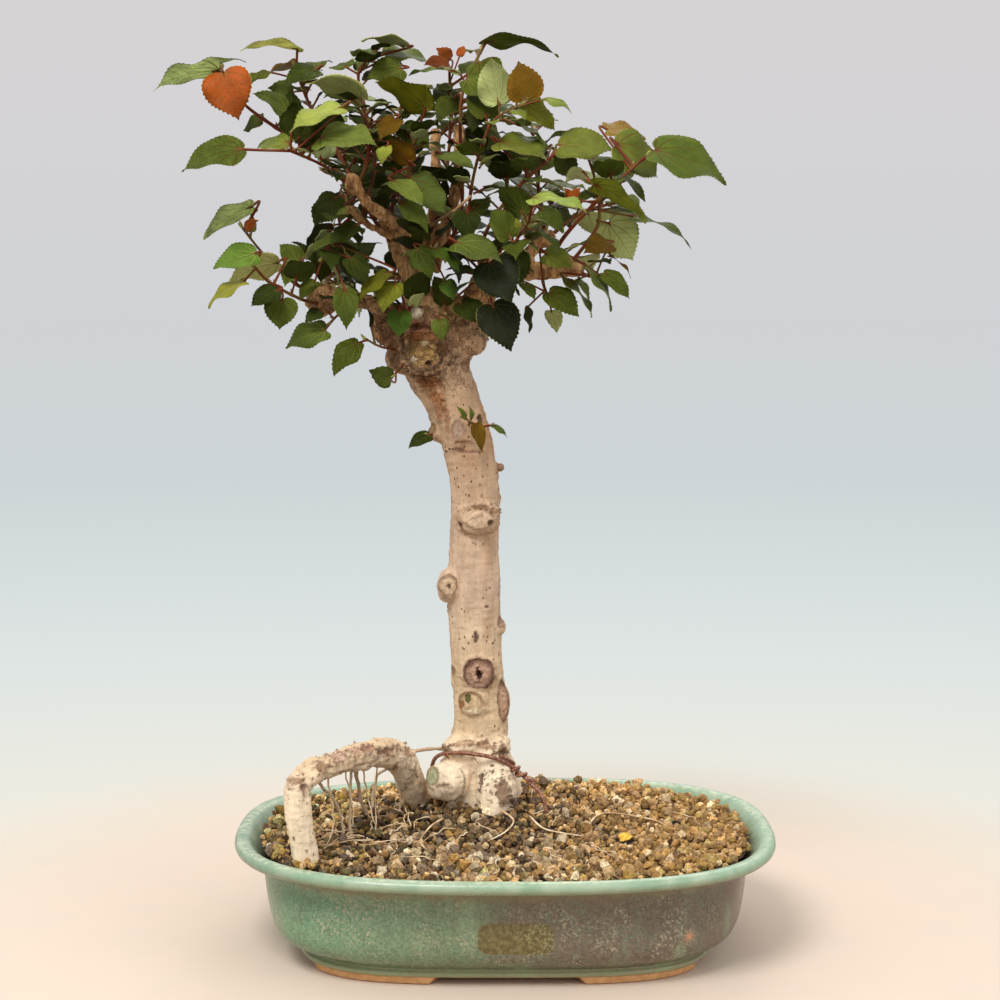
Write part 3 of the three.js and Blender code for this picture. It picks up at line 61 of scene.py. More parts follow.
POT_LOW, POT_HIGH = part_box("pot")
POT_MIDDLE = Vector(((POT_LOW.x + POT_HIGH.x) / 2, (POT_LOW.y + POT_HIGH.y) / 2, POT_LOW.z))
MILLIMETRE = 0.001
TO_FRAME = Matrix.Translation(POT_MIDDLE) @ Matrix.Scale(MILLIMETRE, 4)
SLOTS = {entry["node"]: entry["material_slot"] for entry in frame["record"]["subparts"]}

# Pot
HALF_LENGTH = 130
HALF_DEPTH = 98
ROUNDNESS = 2.65
RIM_TOP = 54
RIM_SAG_START = 40
DEEPEST_INSET = 40
FLOOR_TOP = 10
BASE_BOTTOM = 3.5
DRAIN_HOLE_RADIUS = 8
DRAIN_HOLE_X = 52
SPIN_STEPS = 192
POT_PROFILE = [
    (40, BASE_BOTTOM), (30.4, BASE_BOTTOM), (28.2, 3.6), (27.5, 4.2), (27.3, 5.2), (27.7, 6.0), (28.8, 6.5),
    (28.9, 7.3), (26.8, 8.4), (23.6, 9.9), (20.4, 11.8), (18, 14.4), (16.5, 17.6), (15.6, 21.4), (15, 26), (14.5, 31),
    (14, 36.5), (13.6, 40.5), (13, 43.6), (11.6, 45.5), (8.6, 46.7), (5, 47.2), (2.2, 48), (0.7, 49.4), (0.1, 51),
    (0.3, 52.4), (1.2, 53.4), (2.6, 53.95), (4.2, 54), (5.8, 53.6), (7.2, 52.7), (8.4, 51.3), (9.8, 49.3), (12, 47.2),
    (14.6, 44), (17.4, 39), (20, 33), (24, 24), (30, 14), (35, 10.6), (38, FLOOR_TOP), (40, FLOOR_TOP),
]
FEET = [(30, 83), (97, 150), (210, 263), (278, 330)]
FOOT_INSETS = (28.6, 42)
BASE_SQUARENESS = 1.1
BASE_INSET_SCALE = (1.15, 0.8)
FOOT_BATTER = 0.8
FOOT_TAPER = 4
FOOT_SINK = 1.5

# Leaves: the same measures as the frame's solids
BLADE_FOLD = 0.14
BLADE_ARCH = 0.05
BLADE_RUFFLE = 0.035
PETIOLE_RADIUS = 0.6
STEM_LEAST = 0.9
BLADE_CLEARANCE = 1.3
BAR_CLEARANCE = 0.9
BARK_CLEARANCE = 1.6
PETIOLE_SPACING = 1.4
TAKEN_PENALTY = 6
BAR_STEP = 3
LIMB_STEP = 5
GOLDEN_ANGLE = 2.39996

# Where the viewer stands, the depth at which the crown's outline is given, and where its open side starts
VIEWER = (-2.5, -990, 326)
LENS = 75
SENSOR = 36
CAMERA_PITCH = 6.5
OUTLINE_DEPTH = 20
OPEN_SIDE = 20

# Leaves added by rule: least length and spread of the petioles and blades, and the back shoots' own measures
RULED_PETIOLE = (7, 7)
RULED_BLADE = (17, 9)
BACK_RADIUS = (1.5, 0.8)
BACK_BEND = 0.1
STEEP_RISE = 30

# Small young leaves: seed, share of the set number, size. Few grow on the side where the viewer sees through
YOUNG_LEAVES = [(7000, 0.7, 0.75), (5000, 1, 0.5)]
OPEN_SHARE = 0.15

# Soil and litter
DROP_HEIGHT = 90
SOIL_LEVEL = 48
SOIL_INSET = 9.8
ROW_PITCH = 0.87
SECOND_LAYER = 0.3
LEAF_GAP = 5.5
FRONT_HEAP = (-12, -58, 60, 26)
DAMP_SOIL = (-34, -12, 48, 24)
FULL_TURN = 6.3
ROOTLETS = 44
ARCH_ROOTLETS = 20
HANGING_ROOTLETS = 7
ROOTLET_STEPS = 8
GRAIN_COVER = 2.4
LOOSE_CHIPS = 30
HIDDEN_SCARS = 26

# Stage, in metres
FLOOR_RADIUS = 1.6
FLOOR_GAP = 0.0003
NEAREST_SEEN = 0.05
LIT_PLACE = Vector((0, 0, 0.25))

# The trunk and the woody limbs by name, as lists of [x, y, z, radius]
TRUNK = [
    [-14, 30, 46, 16], [-14, 30, 56, 18], [-14, 30, 66, 17.6], [-14, 30, 76, 16.2], [-13, 30, 87, 14.7],
    [-12, 30, 98, 13.5], [-13, 30, 115, 13.2], [-14, 29, 132, 13], [-15, 29, 150, 13], [-15, 28, 168, 12.7],
    [-15, 28, 190, 12.2], [-15, 27, 210, 12], [-16, 27, 225, 12.2], [-18, 26, 236, 12.4], [-23, 26, 251, 13],
    [-28, 25, 264, 14], [-33, 24, 276, 16.4], [-35, 23, 288, 19.4], [-34, 22, 300, 17.4], [-31, 21, 313, 10],
]

LIMBS = {
    "left column": [[-39, 22, 290, 12], [-42, 20, 306, 7.5], [-43, 18, 320, 5.4], [-43, 16, 338, 5.8]],
    "left arm": [[-43, 16, 334, 4.6], [-52, 10, 344, 3.4], [-65, 4, 354, 2.8], [-73, 2, 366, 3]],
    "second arm": [[-41, 16, 328, 3], [-51, 16, 337, 2.2], [-64, 14, 343, 2], [-74, 13, 350, 2.4]],
    "tall stub": [[-36, 22, 322, 4.4], [-28, 27, 346, 3.4], [-23, 28, 368, 2.8], [-22, 28, 392, 2.9]],
    "short stub": [[-40, 26, 322, 4], [-36, 37, 344, 3], [-34, 40, 368, 2.6], [-34, 40, 391, 2.6]],
    "right arm": [[-26, 24, 284, 11], [-17, 20, 302, 7], [-12, 16, 315, 5.8], [-7, 14, 325, 5.4]],
    "knobby arm": [
        [-8, 14, 324, 5], [0, 12, 326, 4.4], [9, 10, 323, 5], [19, 10, 322, 3.9], [27, 10, 323, 4.8],
        [37, 10, 322, 3]],
    "left low arm": [
        [-44, 22, 294, 8], [-58, 20, 304, 4.8], [-70, 18, 308, 3.9], [-80, 16, 309, 5.4], [-91, 16, 310, 5]],
    "back arm": [[-41, 22, 298, 7], [-47, 36, 318, 4.4], [-54, 50, 333, 3.6], [-59, 58, 347, 3.4]],
    "back right arm": [[-20, 24, 292, 7], [-6, 36, 314, 4.2], [9, 48, 328, 3.4], [20, 56, 339, 3.4]],
    "root arch": [
        [-43, 30, 54, 6.4], [-44.7, 25, 62.4, 6.8], [-47.5, 18, 72.8, 7], [-51.5, 10, 84, 7.8], [-60, -4, 91, 7.4],
        [-70.7, -18, 92, 6.4], [-79.4, -33, 92.6, 5.9], [-89.1, -46, 91.6, 6.2], [-95.2, -53, 87.2, 6.4],
        [-95.5, -55, 78, 6.3], [-93.8, -55, 65.7, 6.2], [-91.5, -54, 48.6, 6.2]],
    "left root": [[-17, 27, 84, 9], [-24, 20, 77, 9.5], [-29, 14, 71, 8]],
    "front root": [[-12, 25, 88, 9], [-6, 18, 76, 10.5], [-4.5, 11, 64, 9.5], [-6, 6, 50, 6]],
    "right root": [[-6, 29, 84, 8], [0, 30, 72, 6.4], [5, 33, 60, 5], [11, 37, 49, 3.4]],
    "back root": [[-16, 34, 84, 8], [-19, 43, 72, 8], [-23, 52, 60, 6.4], [-28, 60, 49, 4]],
}

# Thin roots and twigs that stay bars of their own beside the skin of bark
THIN_LIMBS = {
    "dry twig": [[-41, 10, 340, 1.3], [-31, 2, 346, 1.1], [-23, -5, 351, 1], [-16, -8, 357, 0.9]],
    "rootlet bridge": [[-50, 18, 85, 1.6], [-38, 20, 87, 1.2], [-25, 24, 86, 1.4]],
    "aerial root": [
        [-71.4, -19, 89, 1.6], [-71, -10, 78, 1.3], [-69.4, -4, 67, 1.3], [-66.8, 1, 55.5, 1.7], [-66.2, 2, 51, 3]],
    "thin root left": [
        [-87, -41, 88, 1.1], [-86, -31, 80.5, 1], [-80.2, -26, 72.2, 0.9], [-77, -27, 61, 0.9], [-76, -30, 50, 1.3]],
    "thin root middle": [[-73, -20, 88, 1], [-73.6, -22, 76, 0.85], [-73.8, -24, 62, 0.9], [-72.8, -24, 51, 1.8]],
    "thin root right": [
        [-51, 12, 82, 1.3], [-58, 19, 77.6, 1.1], [-63.9, 20, 72.3, 1], [-65.6, 20, 60, 1], [-66, 20, 51, 1.5]],
}

# Burls and swollen ends: middle, half sizes
KNOBS = [
    ((-28, 24, 168), (6, 6.5, 8.5)), ((-3, 27, 147), (3.4, 4, 4.6)), ((-33, 24, 243), (4.5, 5, 5)),
    ((-11, 18, 205), (8, 5.5, 6.5)), ((-39, 9, 281), (9.5, 6, 9)), ((-42, 6, 302), (4.6, 6, 4.6)),
    ((-16, 19, 289), (8, 7, 7.5)), ((-50, 22, 280), (8, 8, 8)), ((-12, 20, 126), (7.6, 6, 7.6)),
    ((-2, 26, 109), (4.5, 6, 9.5)), ((-28.8, 12, 72.3), (10.5, 9, 10)), ((-44, 15, 336), (7, 6.5, 6)),
    ((-72, 3, 363), (4.4, 4.4, 4.6)), ((-88, 16, 308), (8.5, 7.5, 8)), ((-74, 13, 350), (3.6, 3.6, 3.4)),
    ((-58, 57, 345), (5, 5, 5)), ((20, 55, 338), (5, 5, 5)), ((9, 11, 325), (5.6, 5.6, 5)),
    ((28, 11, 324), (5.6, 5.6, 5.2)),
]

# Swellings of the skin alone, which no leaf has to keep clear of
SWELLINGS = [
    ((-56, 20, 296), (9, 8, 10)), ((-12.7, 18, 202), (10, 7, 8)), ((-22, 16, 293), (7, 7, 9)),
    ((-47, 13, 300), (7, 6, 9)), ((-2.5, 25, 226.7), (2.6, 2.4, 2.4)), ((-22, 20, 88), (10, 10, 7)),
    ((-6, 22, 88), (9, 9, 6)),
]

# Shoots that the viewer sees: name, number of further leaves, radius at both ends, stem, and leaves as
# [x, y, z of the notch, x, y, z of the tip, tilt from the viewer in degrees, width as a share, tint]
SHOOTS = [
    ("shoot_far_left_top", 0, (1.5, 0.8),
     [[-73, 6, 364], [-88, 0, 376], [-112, -9, 392], [-122, -11, 400], [-131, -12, 411]], [
        [-132, -13, 414, -163, -16, 406, 106, 0.8, "pale"], [-135, -10, 417, -121, 2, 420, 75, 0.8, "mid"],
        [-129, -18, 412, -122, -22, 391, 2, 1.02, "orange"], [-114, -2, 392, -124, 6, 388, 50, 0.8, "mid"],
        [-100, -16, 395, -116, -20, 404, 54, 0.72, "mid"]]),
    ("shoot_left_dark", 1, (1.2, 0.8), [[-74, 4, 363], [-85, -14, 371], [-99, -30, 377]], [
        [-120, -36, 377, -147, -38, 368, 52, 0.8, "mid"], [-100, -20, 381, -116, -8, 380, 60, 0.8, "mid"],
        [-75, -38, 395, -97, -46, 385, 60, 0.72, "light"], [-83, -36, 382, -57, -48, 379, 54, 0.8, "light"]]),
    ("shoot_top_left", 1, (1.5, 0.8), [[-72, 6, 364], [-82, 22, 382], [-93, 28, 399], [-101, 30, 419]], [
        [-100, 30, 428, -127, 24, 428, 93, 0.9, "pale"], [-103, 40, 421, -117, 48, 418, 65, 0.8, "bronze"],
        [-113, 16, 416, -121, 8, 409, 50, 0.8, "mid"], [-102, 22, 407, -113, 18, 409, 30, 0.85, "dark"],
        [-91, 26, 418, -105, 16, 410, 40, 0.8, "dark"], [-97, 44, 419, -85, 54, 425, 65, 0.8, "mid"]]),
    ("shoot_top_mid_left", 1, (1.2, 0.8), [[-70, 5, 362], [-65, 0, 373], [-64, -3, 386], [-66, -4, 398]], [
        [-67, -4, 402, -92, -8, 410, 118, 0.8, "olive"], [-51, -10, 392, -58, -18, 382, 30, 0.8, "bronze"],
        [-55, -18, 379, -57, -24, 371, 20, 0.7, "lime"], [-45, -12, 373, -55, -18, 383, 150, 0.8, "bronze"]]),
    ("shoot_top_mid", 1, (1.4, 0.8),
     [[-69, 13, 346], [-63, 25, 372], [-67, 32, 397], [-71, 34, 416], [-65, 34, 425]], [
        [-49, 34, 430, -69, 28, 433, 98, 0.85, "pale"], [-57, 40, 427, -36, 48, 424, 65, 0.8, "dark"],
        [-50, 22, 418, -66, 16, 413, 35, 0.92, "mid"], [-77, 34, 420, -84, 48, 421, 60, 0.8, "mid"]]),
    ("shoot_olive_right", 0, (1.3, 0.8), [[-43, 16, 338], [-45, 4, 355], [-45, -4, 371], [-42, -6, 385]], [
        [-37, -8, 397, -60, -14, 410, 120, 0.86, "olive"], [-48, 4, 389, -35, 0, 379, 35, 0.85, "mid"],
        [-51, -20, 363, -37, -28, 352, 45, 0.62, "light"], [-47, -20, 353, -35, -24, 340, 42, 0.62, "mid"],
        [-44, -6, 364, -27, -10, 349, 30, 0.76, "dark"]]),
    ("shoot_orange_top", 0, (1.4, 0.8), [[-40, 20, 334], [-31, 37, 354], [-27, 43, 388], [-27, 38, 418]], [
        [-27, 38, 424, -33, 34, 429, 15, 0.9, "orange"], [-27, 32, 420, -39, 24, 420, 50, 0.85, "orange"],
        [-22, 40, 426, -20, 42, 431, 20, 0.8, "orange"], [-22, 44, 418, -48, 54, 419, 80, 0.7, "light"],
        [-24, 28, 404, -33, 22, 393, 30, 0.85, "mid"], [-30, 18, 377, -14, 10, 370, 55, 0.6, "light"]]),
    ("shoot_top_right", 1, (1.4, 0.8), [[-32, 22, 330], [-21, 14, 350], [-21, 12, 401], [-12, 16, 425]], [
        [-9, 16, 430, 26, 14, 425, 98, 0.6, "mid"], [-12, 14, 420, -4, 6, 407, 12, 1, "mid"],
        [-18, 4, 411, -6, -2, 400, 35, 0.8, "mid"], [-11, 8, 399, -16, 2, 387, 20, 0.8, "dark"],
        [-3, 10, 405, 0, 8, 415, 30, 0.5, "lime"], [-10, 20, 402, 0, 26, 402, 50, 0.7, "orange"]]),
    ("shoot_bronze", 1, (1.3, 0.7), [[-10, 14, 322], [-17, 7, 352], [-8, -2, 388], [7, -6, 399]], [
        [10, -6, 402, 6, -8, 419, 8, 1, "bronze"], [18, -10, 401, 31, -16, 395, 62, 0.6, "light"],
        [9, 0, 400, 24, 4, 388, 38, 0.72, "olive"]]),
    ("shoot_right_upper", 1, (1.6, 0.9), [[-8, 13, 324], [-10, 8, 338], [3, -6, 358], [24, -12, 377]], [
        [26, -12, 380, 51, -16, 378, 44, 0.82, "mid"], [25, -2, 376, 34, 4, 366, 22, 0.9, "dark"],
        [-2, -6, 382, 20, -16, 374, 56, 0.76, "mid"], [19, 10, 379, 3, 16, 369, 50, 0.8, "dark"]]),
    ("shoot_right_far", 1, (1.7, 0.8), [[20, 11, 322], [27, 0, 337], [44, -19, 356], [64, -25, 374]], [
        [69, -26, 377, 102, -28, 363, 50, 0.8, "mid"], [52, -16, 380, 72, -8, 366, 36, 0.9, "mid"],
        [48, 0, 388, 67, 8, 385, 64, 0.8, "bronze"], [41, -30, 361, 65, -36, 345, 114, 0.6, "lime"],
        [36, -14, 368, 28, -8, 364, 140, 0.8, "pale"], [30, -24, 356, 27, -26, 360, 10, 0.7, "orange"],
        [30, -26, 355, 34, -28, 360, 10, 0.7, "orange"]]),
    ("shoot_right_mid", 1, (1.4, 0.8), [[28, 11, 322], [43, 18, 341], [45, 18, 353], [42, 20, 370]], [
        [42, 18, 375, 68, 14, 356, 66, 0.62, "dark"], [63, 18, 348, 91, 20, 334, 78, 0.6, "mid"],
        [50, 22, 345, 62, 18, 327, 162, 1, "light"], [49, 6, 335, 37, -4, 331, 40, 0.9, "bronze"]]),
    ("shoot_light_front", 0, (1.2, 0.7), [[2, 12, 325], [5, -6, 336], [11, -18, 345]], [
        [13, -24, 355, 37, -34, 350, 70, 0.62, "light"], [17, -8, 350, 28, -8, 340, 44, 0.8, "mid"],
        [6, -28, 342, 5, -30, 346, 15, 0.7, "lime"], [2, -22, 338, -7, -20, 351, 30, 0.9, "mid"]]),
    ("shoot_right_fan", 0, (1.3, 0.8), [[34, 10, 322], [39, 6, 320], [43, 3, 319]], [
        [50, 4, 329, 60, 0, 319, 76, 0.45, "bronze"], [47, -2, 321, 59, -4, 309, 38, 0.62, "mid"],
        [39, -4, 323, 51, -12, 304, 70, 0.45, "dark"], [29, 2, 318, 42, -2, 301, 70, 0.42, "dark"],
        [35, 16, 318, 41, 18, 308, 60, 0.6, "mid"]]),
    ("shoot_right_low", 0, (1.1, 0.7), [[17, 11, 321], [19, 6, 313], [21, 2, 309]], [
        [21, -2, 312, 35, -6, 301, 35, 0.8, "mid"], [22, 6, 303, 25, 10, 293, 155, 0.8, "mid"],
        [10, 14, 304, 12, 18, 292, 60, 0.6, "dark"], [19, -4, 330, 32, -8, 324, 30, 0.85, "light"],
        [9, 0, 316, 14, -4, 309, 40, 0.75, "mid"]]),
    ("shoot_dark_hearts", 0, (1.3, 0.9), [[-13, 17, 312], [-12, 4, 318], [-9, -10, 323]], [
        [-7, -18, 326, 3, -26, 308, 6, 1, "deep"], [-6, -10, 306, 3, -16, 285, 12, 0.86, "deep"],
        [3, -12, 330, 7, -16, 315, 20, 0.95, "dark"], [-21, -8, 307, -9, -16, 297, 32, 0.78, "dark"],
        [-22, -22, 335, -1, -32, 327, 48, 0.68, "dark"], [-18, -6, 349, -19, -10, 337, 6, 1.05, "dark"]]),
    ("shoot_inner_front", 0, (1.1, 0.8), [[-42, 16, 326], [-37, 2, 330], [-33, -8, 333]], [
        [-41, -10, 332, -34, -16, 318, 20, 0.68, "mid"], [-32, -14, 332, -21, -20, 322, 52, 0.55, "bright"],
        [-28, -4, 317, -24, -8, 309, 14, 0.85, "bright"]]),
    ("shoot_crown_left", 0, (0.9, 0.7), [[-43, 12, 296], [-47, 1, 301]], [
        [-50, -3, 303, -50, -6, 291, 6, 0.95, "bright"], [-52, -5, 316, -58, -11, 303, 30, 0.85, "lime"]]),
    ("shoot_crown_right", 0, (0.9, 0.7), [[-26, 14, 297], [-28, 1, 301]], [
        [-31, -3, 299, -30, -5, 289, 10, 0.85, "mid"]]),
    ("shoot_crown_low", 0, (0.8, 0.6), [[-46, 17, 280], [-53, 11, 273]], [
        [-55, 9, 270, -65, 6, 275, 12, 0.9, "dark"]]),
    ("shoot_left_far", 0, (1.4, 0.7), [[-88, 19, 312], [-99, 13, 315], [-113, 6, 328], [-124, 3, 342]], [
        [-120, 2, 352, -143, -2, 338, 114, 0.7, "pale"], [-122, -2, 342, -116, -4, 346, 30, 0.8, "orange"],
        [-120, -8, 341, -120, -10, 349, 20, 0.55, "lime"], [-99, 12, 326, -108, 14, 335, 28, 0.9, "light"],
        [-97, 2, 326, -104, -6, 315, 30, 0.85, "light"]]),
    ("shoot_left_low", 1, (1.3, 0.8), [[-88, 12, 306], [-97, 0, 309], [-110, -14, 317], [-117, -18, 325]], [
        [-116, -20, 330, -135, -24, 324, 46, 0.85, "bright"], [-107, -8, 326, -131, -6, 317, 126, 0.76, "olive"],
        [-121, -22, 317, -138, -24, 306, 66, 0.7, "olive"], [-106, -20, 313, -118, -24, 306, 40, 0.85, "dark"],
        [-104, -30, 309, -105, -32, 295, 4, 1.1, "mid"]]),
    ("shoot_left_inner", 0, (1.2, 0.8), [[-72, 12, 349], [-79, 2, 341], [-86, -2, 329]], [
        [-77, -4, 338, -91, -8, 332, 55, 0.6, "mid"], [-70, -6, 343, -82, -12, 334, 40, 0.7, "dark"],
        [-72, -8, 328, -65, -12, 316, 30, 0.85, "dark"], [-90, 2, 317, -97, -2, 308, 40, 0.8, "mid"],
        [-75, -10, 313, -74, -16, 295, 10, 0.62, "mid"], [-56, -8, 321, -69, -14, 308, 50, 0.62, "olive"]]),
    ("shoot_left_upper", 1, (1.1, 0.8), [[-74, 13, 350], [-78, 20, 358]], [
        [-81, 18, 357, -92, 14, 343, 32, 0.82, "dark"], [-73, 6, 354, -82, 4, 343, 74, 0.5, "light"]]),
    ("shoot_left_hanging", 0, (1, 0.7), [[-72, 17, 308], [-78, 9, 303], [-83, 6, 298]], [
        [-86, 6, 294, -105, 4, 286, 44, 0.8, "mid"], [-88, 4, 303, -95, 0, 298, 30, 0.8, "dark"]]),
    ("shoot_low_hanging", 0, (0.9, 0.7), [[-50, 18, 284], [-59, 6, 286], [-66, 0, 290]], [
        [-70, -2, 288, -82, -4, 273, 38, 0.76, "mid"]]),
    ("sprout_trunk_middle", 0, (1, 0.7), [[-18, 20, 246], [-17, 8, 250]], [
        [-19, 6, 252, -23, 3, 258, 40, 0.4, "mid"], [-16, 5, 252, -17, 1, 258, 40, 0.4, "mid"],
        [-14, 7, 249, -11, 3, 236, 20, 0.5, "bronze"]]),
    ("sprout_trunk_left", 0, (0.9, 0.6), [[-30, 25, 243], [-37, 18, 243]], [
        [-37, 16, 243, -47, 12, 237, 40, 0.7, "dark"]]),
    ("sprout_trunk_right", 0, (0.8, 0.6), [[-13, 22, 246], [-7, 14, 248]], [
        [-6, 13, 248, 1, 9, 243, 50, 0.4, "dark"]]),
]

# Shoots inside and behind the crown: name, number of leaves, tint, start, end. The dark tint that most of them take
# is painted shade inside the crown.
BACK_SHOOTS = [
    ("shoot_back_left_high", 6, "mid", [-59, 58, 346], [-90, 76, 396]),
    ("shoot_back_left_side", 5, "dark", [-58, 57, 345], [-92, 80, 372]),
    ("shoot_back_top", 6, "mid", [-57, 57, 346], [-52, 74, 410]),
    ("shoot_back_far", 6, "dark", [-59, 59, 346], [-60, 108, 362]),
    ("shoot_back_middle", 6, "dark", [-49, 40, 322], [-26, 88, 340]),
    ("shoot_back_right_high", 5, "mid", [20, 55, 338], [14, 68, 392]),
    ("shoot_back_right_side", 6, "mid", [21, 55, 338], [58, 70, 356]),
    ("shoot_back_right_far", 6, "dark", [20, 56, 338], [18, 100, 360]),
    ("shoot_back_right_low", 5, "dark", [14, 51, 332], [50, 58, 318]),
    ("shoot_back_left_low", 5, "dark", [-84, 18, 310], [-92, 54, 320]),
    ("shoot_back_low", 5, "dark", [-47, 36, 318], [-74, 74, 308]),
    ("shoot_inner_high", 5, "dark", [-34, 40, 386], [-8, 68, 400]),
    ("shoot_inner_left", 5, "dark", [-54, 50, 333], [-82, 42, 384]),
    ("shoot_inner_right", 5, "dark", [-6, 36, 314], [2, 40, 372]),
]

# Middle line of the wire round the root base, and of its twisted knot
TIE_WIRE = [
    [-37, 42, 54], [-37, 38, 66], [-36, 28, 78], [-32, 16, 85], [-24, 9.5, 87.5], [-15, 7, 87.5], [-6, 8, 85.5],
    [1, 11, 82], [6, 12, 78], [12, 9, 73], [18, 5, 67], [21, 3, 56],
]
WIRE_TWIST = [[3.4, 11.6, 80.2], [6, 12, 78], [9.6, 10.2, 75]]

# Outline of the dense crown that the viewer sees: [x, z] at one depth
CROWN_OUTLINE = [
    [-100, 419], [-83, 428], [-52, 430], [-31, 427], [-14, 428], [7, 421], [19, 403], [41, 389], [65, 380], [72, 361],
    [65, 344], [51, 326], [38, 315], [19, 308], [0, 299], [-17, 302], [-31, 308], [-51, 308], [-70, 299], [-88, 308],
    [-99, 322], [-106, 332], [-93, 349], [-77, 358], [-88, 373], [-103, 384], [-105, 403],
]

# Long pale roots that lie on the soil: [x, y, height over it, radius]
LONG_ROOTS = [
    [[41, -4, 0.5, 0.5], [45, 6, 1.6, 0.45], [52, 10, 1.8, 0.42], [64, 6, 1.8, 0.4], [73, 1, 1.6, 0.34],
     [79, -2, 0.6, 0.26]],
    [[12, -6, 1.2, 0.5], [18, -16, 1.8, 0.44], [27, -22, 1.6, 0.4], [38, -22, 1.2, 0.34]],
    [[-30, -8, 1.4, 0.6], [-36, -20, 1.9, 0.5], [-40, -34, 1.6, 0.4], [-36, -46, 1, 0.3]],
    [[-2, 0, 1.6, 0.7], [4, -10, 2, 0.5], [0, -24, 1.6, 0.4], [-8, -34, 1, 0.3]],
]

# Chips and stones seen on the soil: x, y, height of their middle or None where the soil gives it, size
SEEN_CHIPS = [
    (4.8, 5, 65.4, 7.5), (15.4, 6, 64.8, 7.5), (22, 6, 61, 4.4), (10, 1, 61.5, 3.4), (27, 10, 60.5, 4.4),
    (3.4, 1, 62.6, 2.4), (66, 20, None, 6.5), (84, 8, None, 6), (-76, -33, None, 5.6), (60, -30, None, 3),
]

# Places over a blade that are tested against its neighbours: [along, across], and what is tried for a free place:
# steps in depth for a measured leaf, and a swing and a rise for a leaf added by rule
SAMPLE_PLACES = np.array([
    [0, 0], [-0.1, 0.3], [-0.1, -0.3], [0.15, 0.5], [0.15, -0.5], [0.5, 0.4], [0.5, -0.4], [0.78, 0.18],
    [0.78, -0.18], [1, 0], [0.2, 0.22], [0.2, -0.22], [0.4, 0], [0.7, 0],
])
DEPTH_STEPS = [0, -3, 3, -6, 6, -9, 9, 13, -13]
TURN_TRIES = [
    (0, 0), (0.35, 0), (-0.35, 0), (0, 0.3), (0, -0.3), (0.7, 0.2), (-0.7, 0.2), (1.1, -0.2), (-1.1, -0.2),
    (1.6, 0.1), (-1.6, 0.1), (2.3, 0), (-2.3, 0), (3.1, 0.2),
]

# Half outline of a sea hibiscus leaf from the notch round the lobe to the tip: [along, across]
LEAF_OUTLINE = np.array([
    [0, 0], [-0.06, 0.07], [-0.092, 0.16], [-0.08, 0.27], [-0.035, 0.37], [0.05, 0.445], [0.16, 0.492], [0.29, 0.505],
    [0.42, 0.48], [0.55, 0.42], [0.67, 0.33], [0.78, 0.218], [0.87, 0.108], [0.94, 0.038], [1, 0],
])


def srgb(red, green, blue):
    """Turns a colour as a screen shows it, 0 to 255, into the linear colour that a shader takes."""
    def linear(value):
        share = value / 255
        return share / 12.92 if share <= 0.04045 else ((share + 0.055) / 1.055) ** 2.4
    return (linear(red), linear(green), linear(blue))


def linear_tone(tone):
    """A tuple is a colour as a screen shows it; a list or a property is linear already."""
    return srgb(*tone) if isinstance(tone, tuple) else tuple(tone)


def seeded(seed):
    """Small seeded random numbers, the same as the frame's solids were placed with."""
    state = seed & 0xFFFFFFFF

    def draw():
        nonlocal state
        state = (state + 0x6D2B79F5) & 0xFFFFFFFF
        mixed = ((state ^ (state >> 15)) * (state | 1)) & 0xFFFFFFFF
        mixed ^= (mixed + (((mixed ^ (mixed >> 7)) * (mixed | 61)) & 0xFFFFFFFF)) & 0xFFFFFFFF
        return ((mixed ^ (mixed >> 14)) & 0xFFFFFFFF) / 4294967296
    return draw


def spline_at(points, share):
    """Catmull-Rom point on a list of number lists, at a share of the whole list."""
    points = np.asarray(points, float)
    last = len(points) - 1
    place = min(max(share, 0), 1) * last
    index = min(int(place), last - 1)
    t = place - index
    before, start = points[max(index - 1, 0)], points[index]
    end, after = points[index + 1], points[min(index + 2, last)]
    return 0.5 * (2 * start + (end - before) * t + (2 * before - 5 * start + 4 * end - after) * t * t
                  + (3 * start - before - 3 * end + after) * t ** 3)


def line_at(points, share):
    """Point on the straight stretches between the listed points."""
    last = len(points) - 1
    place = min(max(share, 0), 1) * last
    index = min(int(place), last - 1)
    return points[index] + (points[index + 1] - points[index]) * (place - index)


def smooth_path(points, step):
    """A list of points, with any radius, made into a spline with a point about every step."""
    points = np.asarray(points, float)
    length = np.linalg.norm(np.diff(points[:, :3], axis=0), axis=1).sum()
    count = max(2, round(length / step))
    return [spline_at(points, i / count) for i in range(count + 1)]


def unit(vector):
    return vector / np.linalg.norm(vector)


def ease(value, low, high):
    """Smooth step from 0 at low to 1 at high."""
    share = np.clip((value - low) / (high - low), 0, 1)
    return share * share * (3 - 2 * share)


def tube_mesh(paths, roundness=2):
    """Round bars along lists of (x, y, z, radius), closed at both ends, as one mesh."""
    curve = bpy.data.curves.new("tubes", "CURVE")
    curve.dimensions = "3D"
    curve.bevel_depth = 1.0
    curve.bevel_resolution = roundness
    curve.use_fill_caps = True
    for path in paths:
        spline = curve.splines.new("POLY")
        spline.points.add(len(path) - 1)
        for point, (x, y, z, radius) in zip(spline.points, path):
            point.co = (x, y, z, 1)
            point.radius = radius
        spline.use_smooth = True
    holder = bpy.data.objects.new("tubes", curve)
    mesh = bpy.data.meshes.new_from_object(holder)
    bpy.data.objects.remove(holder)
    bpy.data.curves.remove(curve)
    return mesh


def linked(name, data):
    """A new object in the scene."""
    made = bpy.data.objects.new(name, data)
    bpy.context.scene.collection.objects.link(made)
    return made


def mesh_of(bm, name):
    mesh = bpy.data.meshes.new(name)
    bm.to_mesh(mesh)
    bm.free()
    return mesh


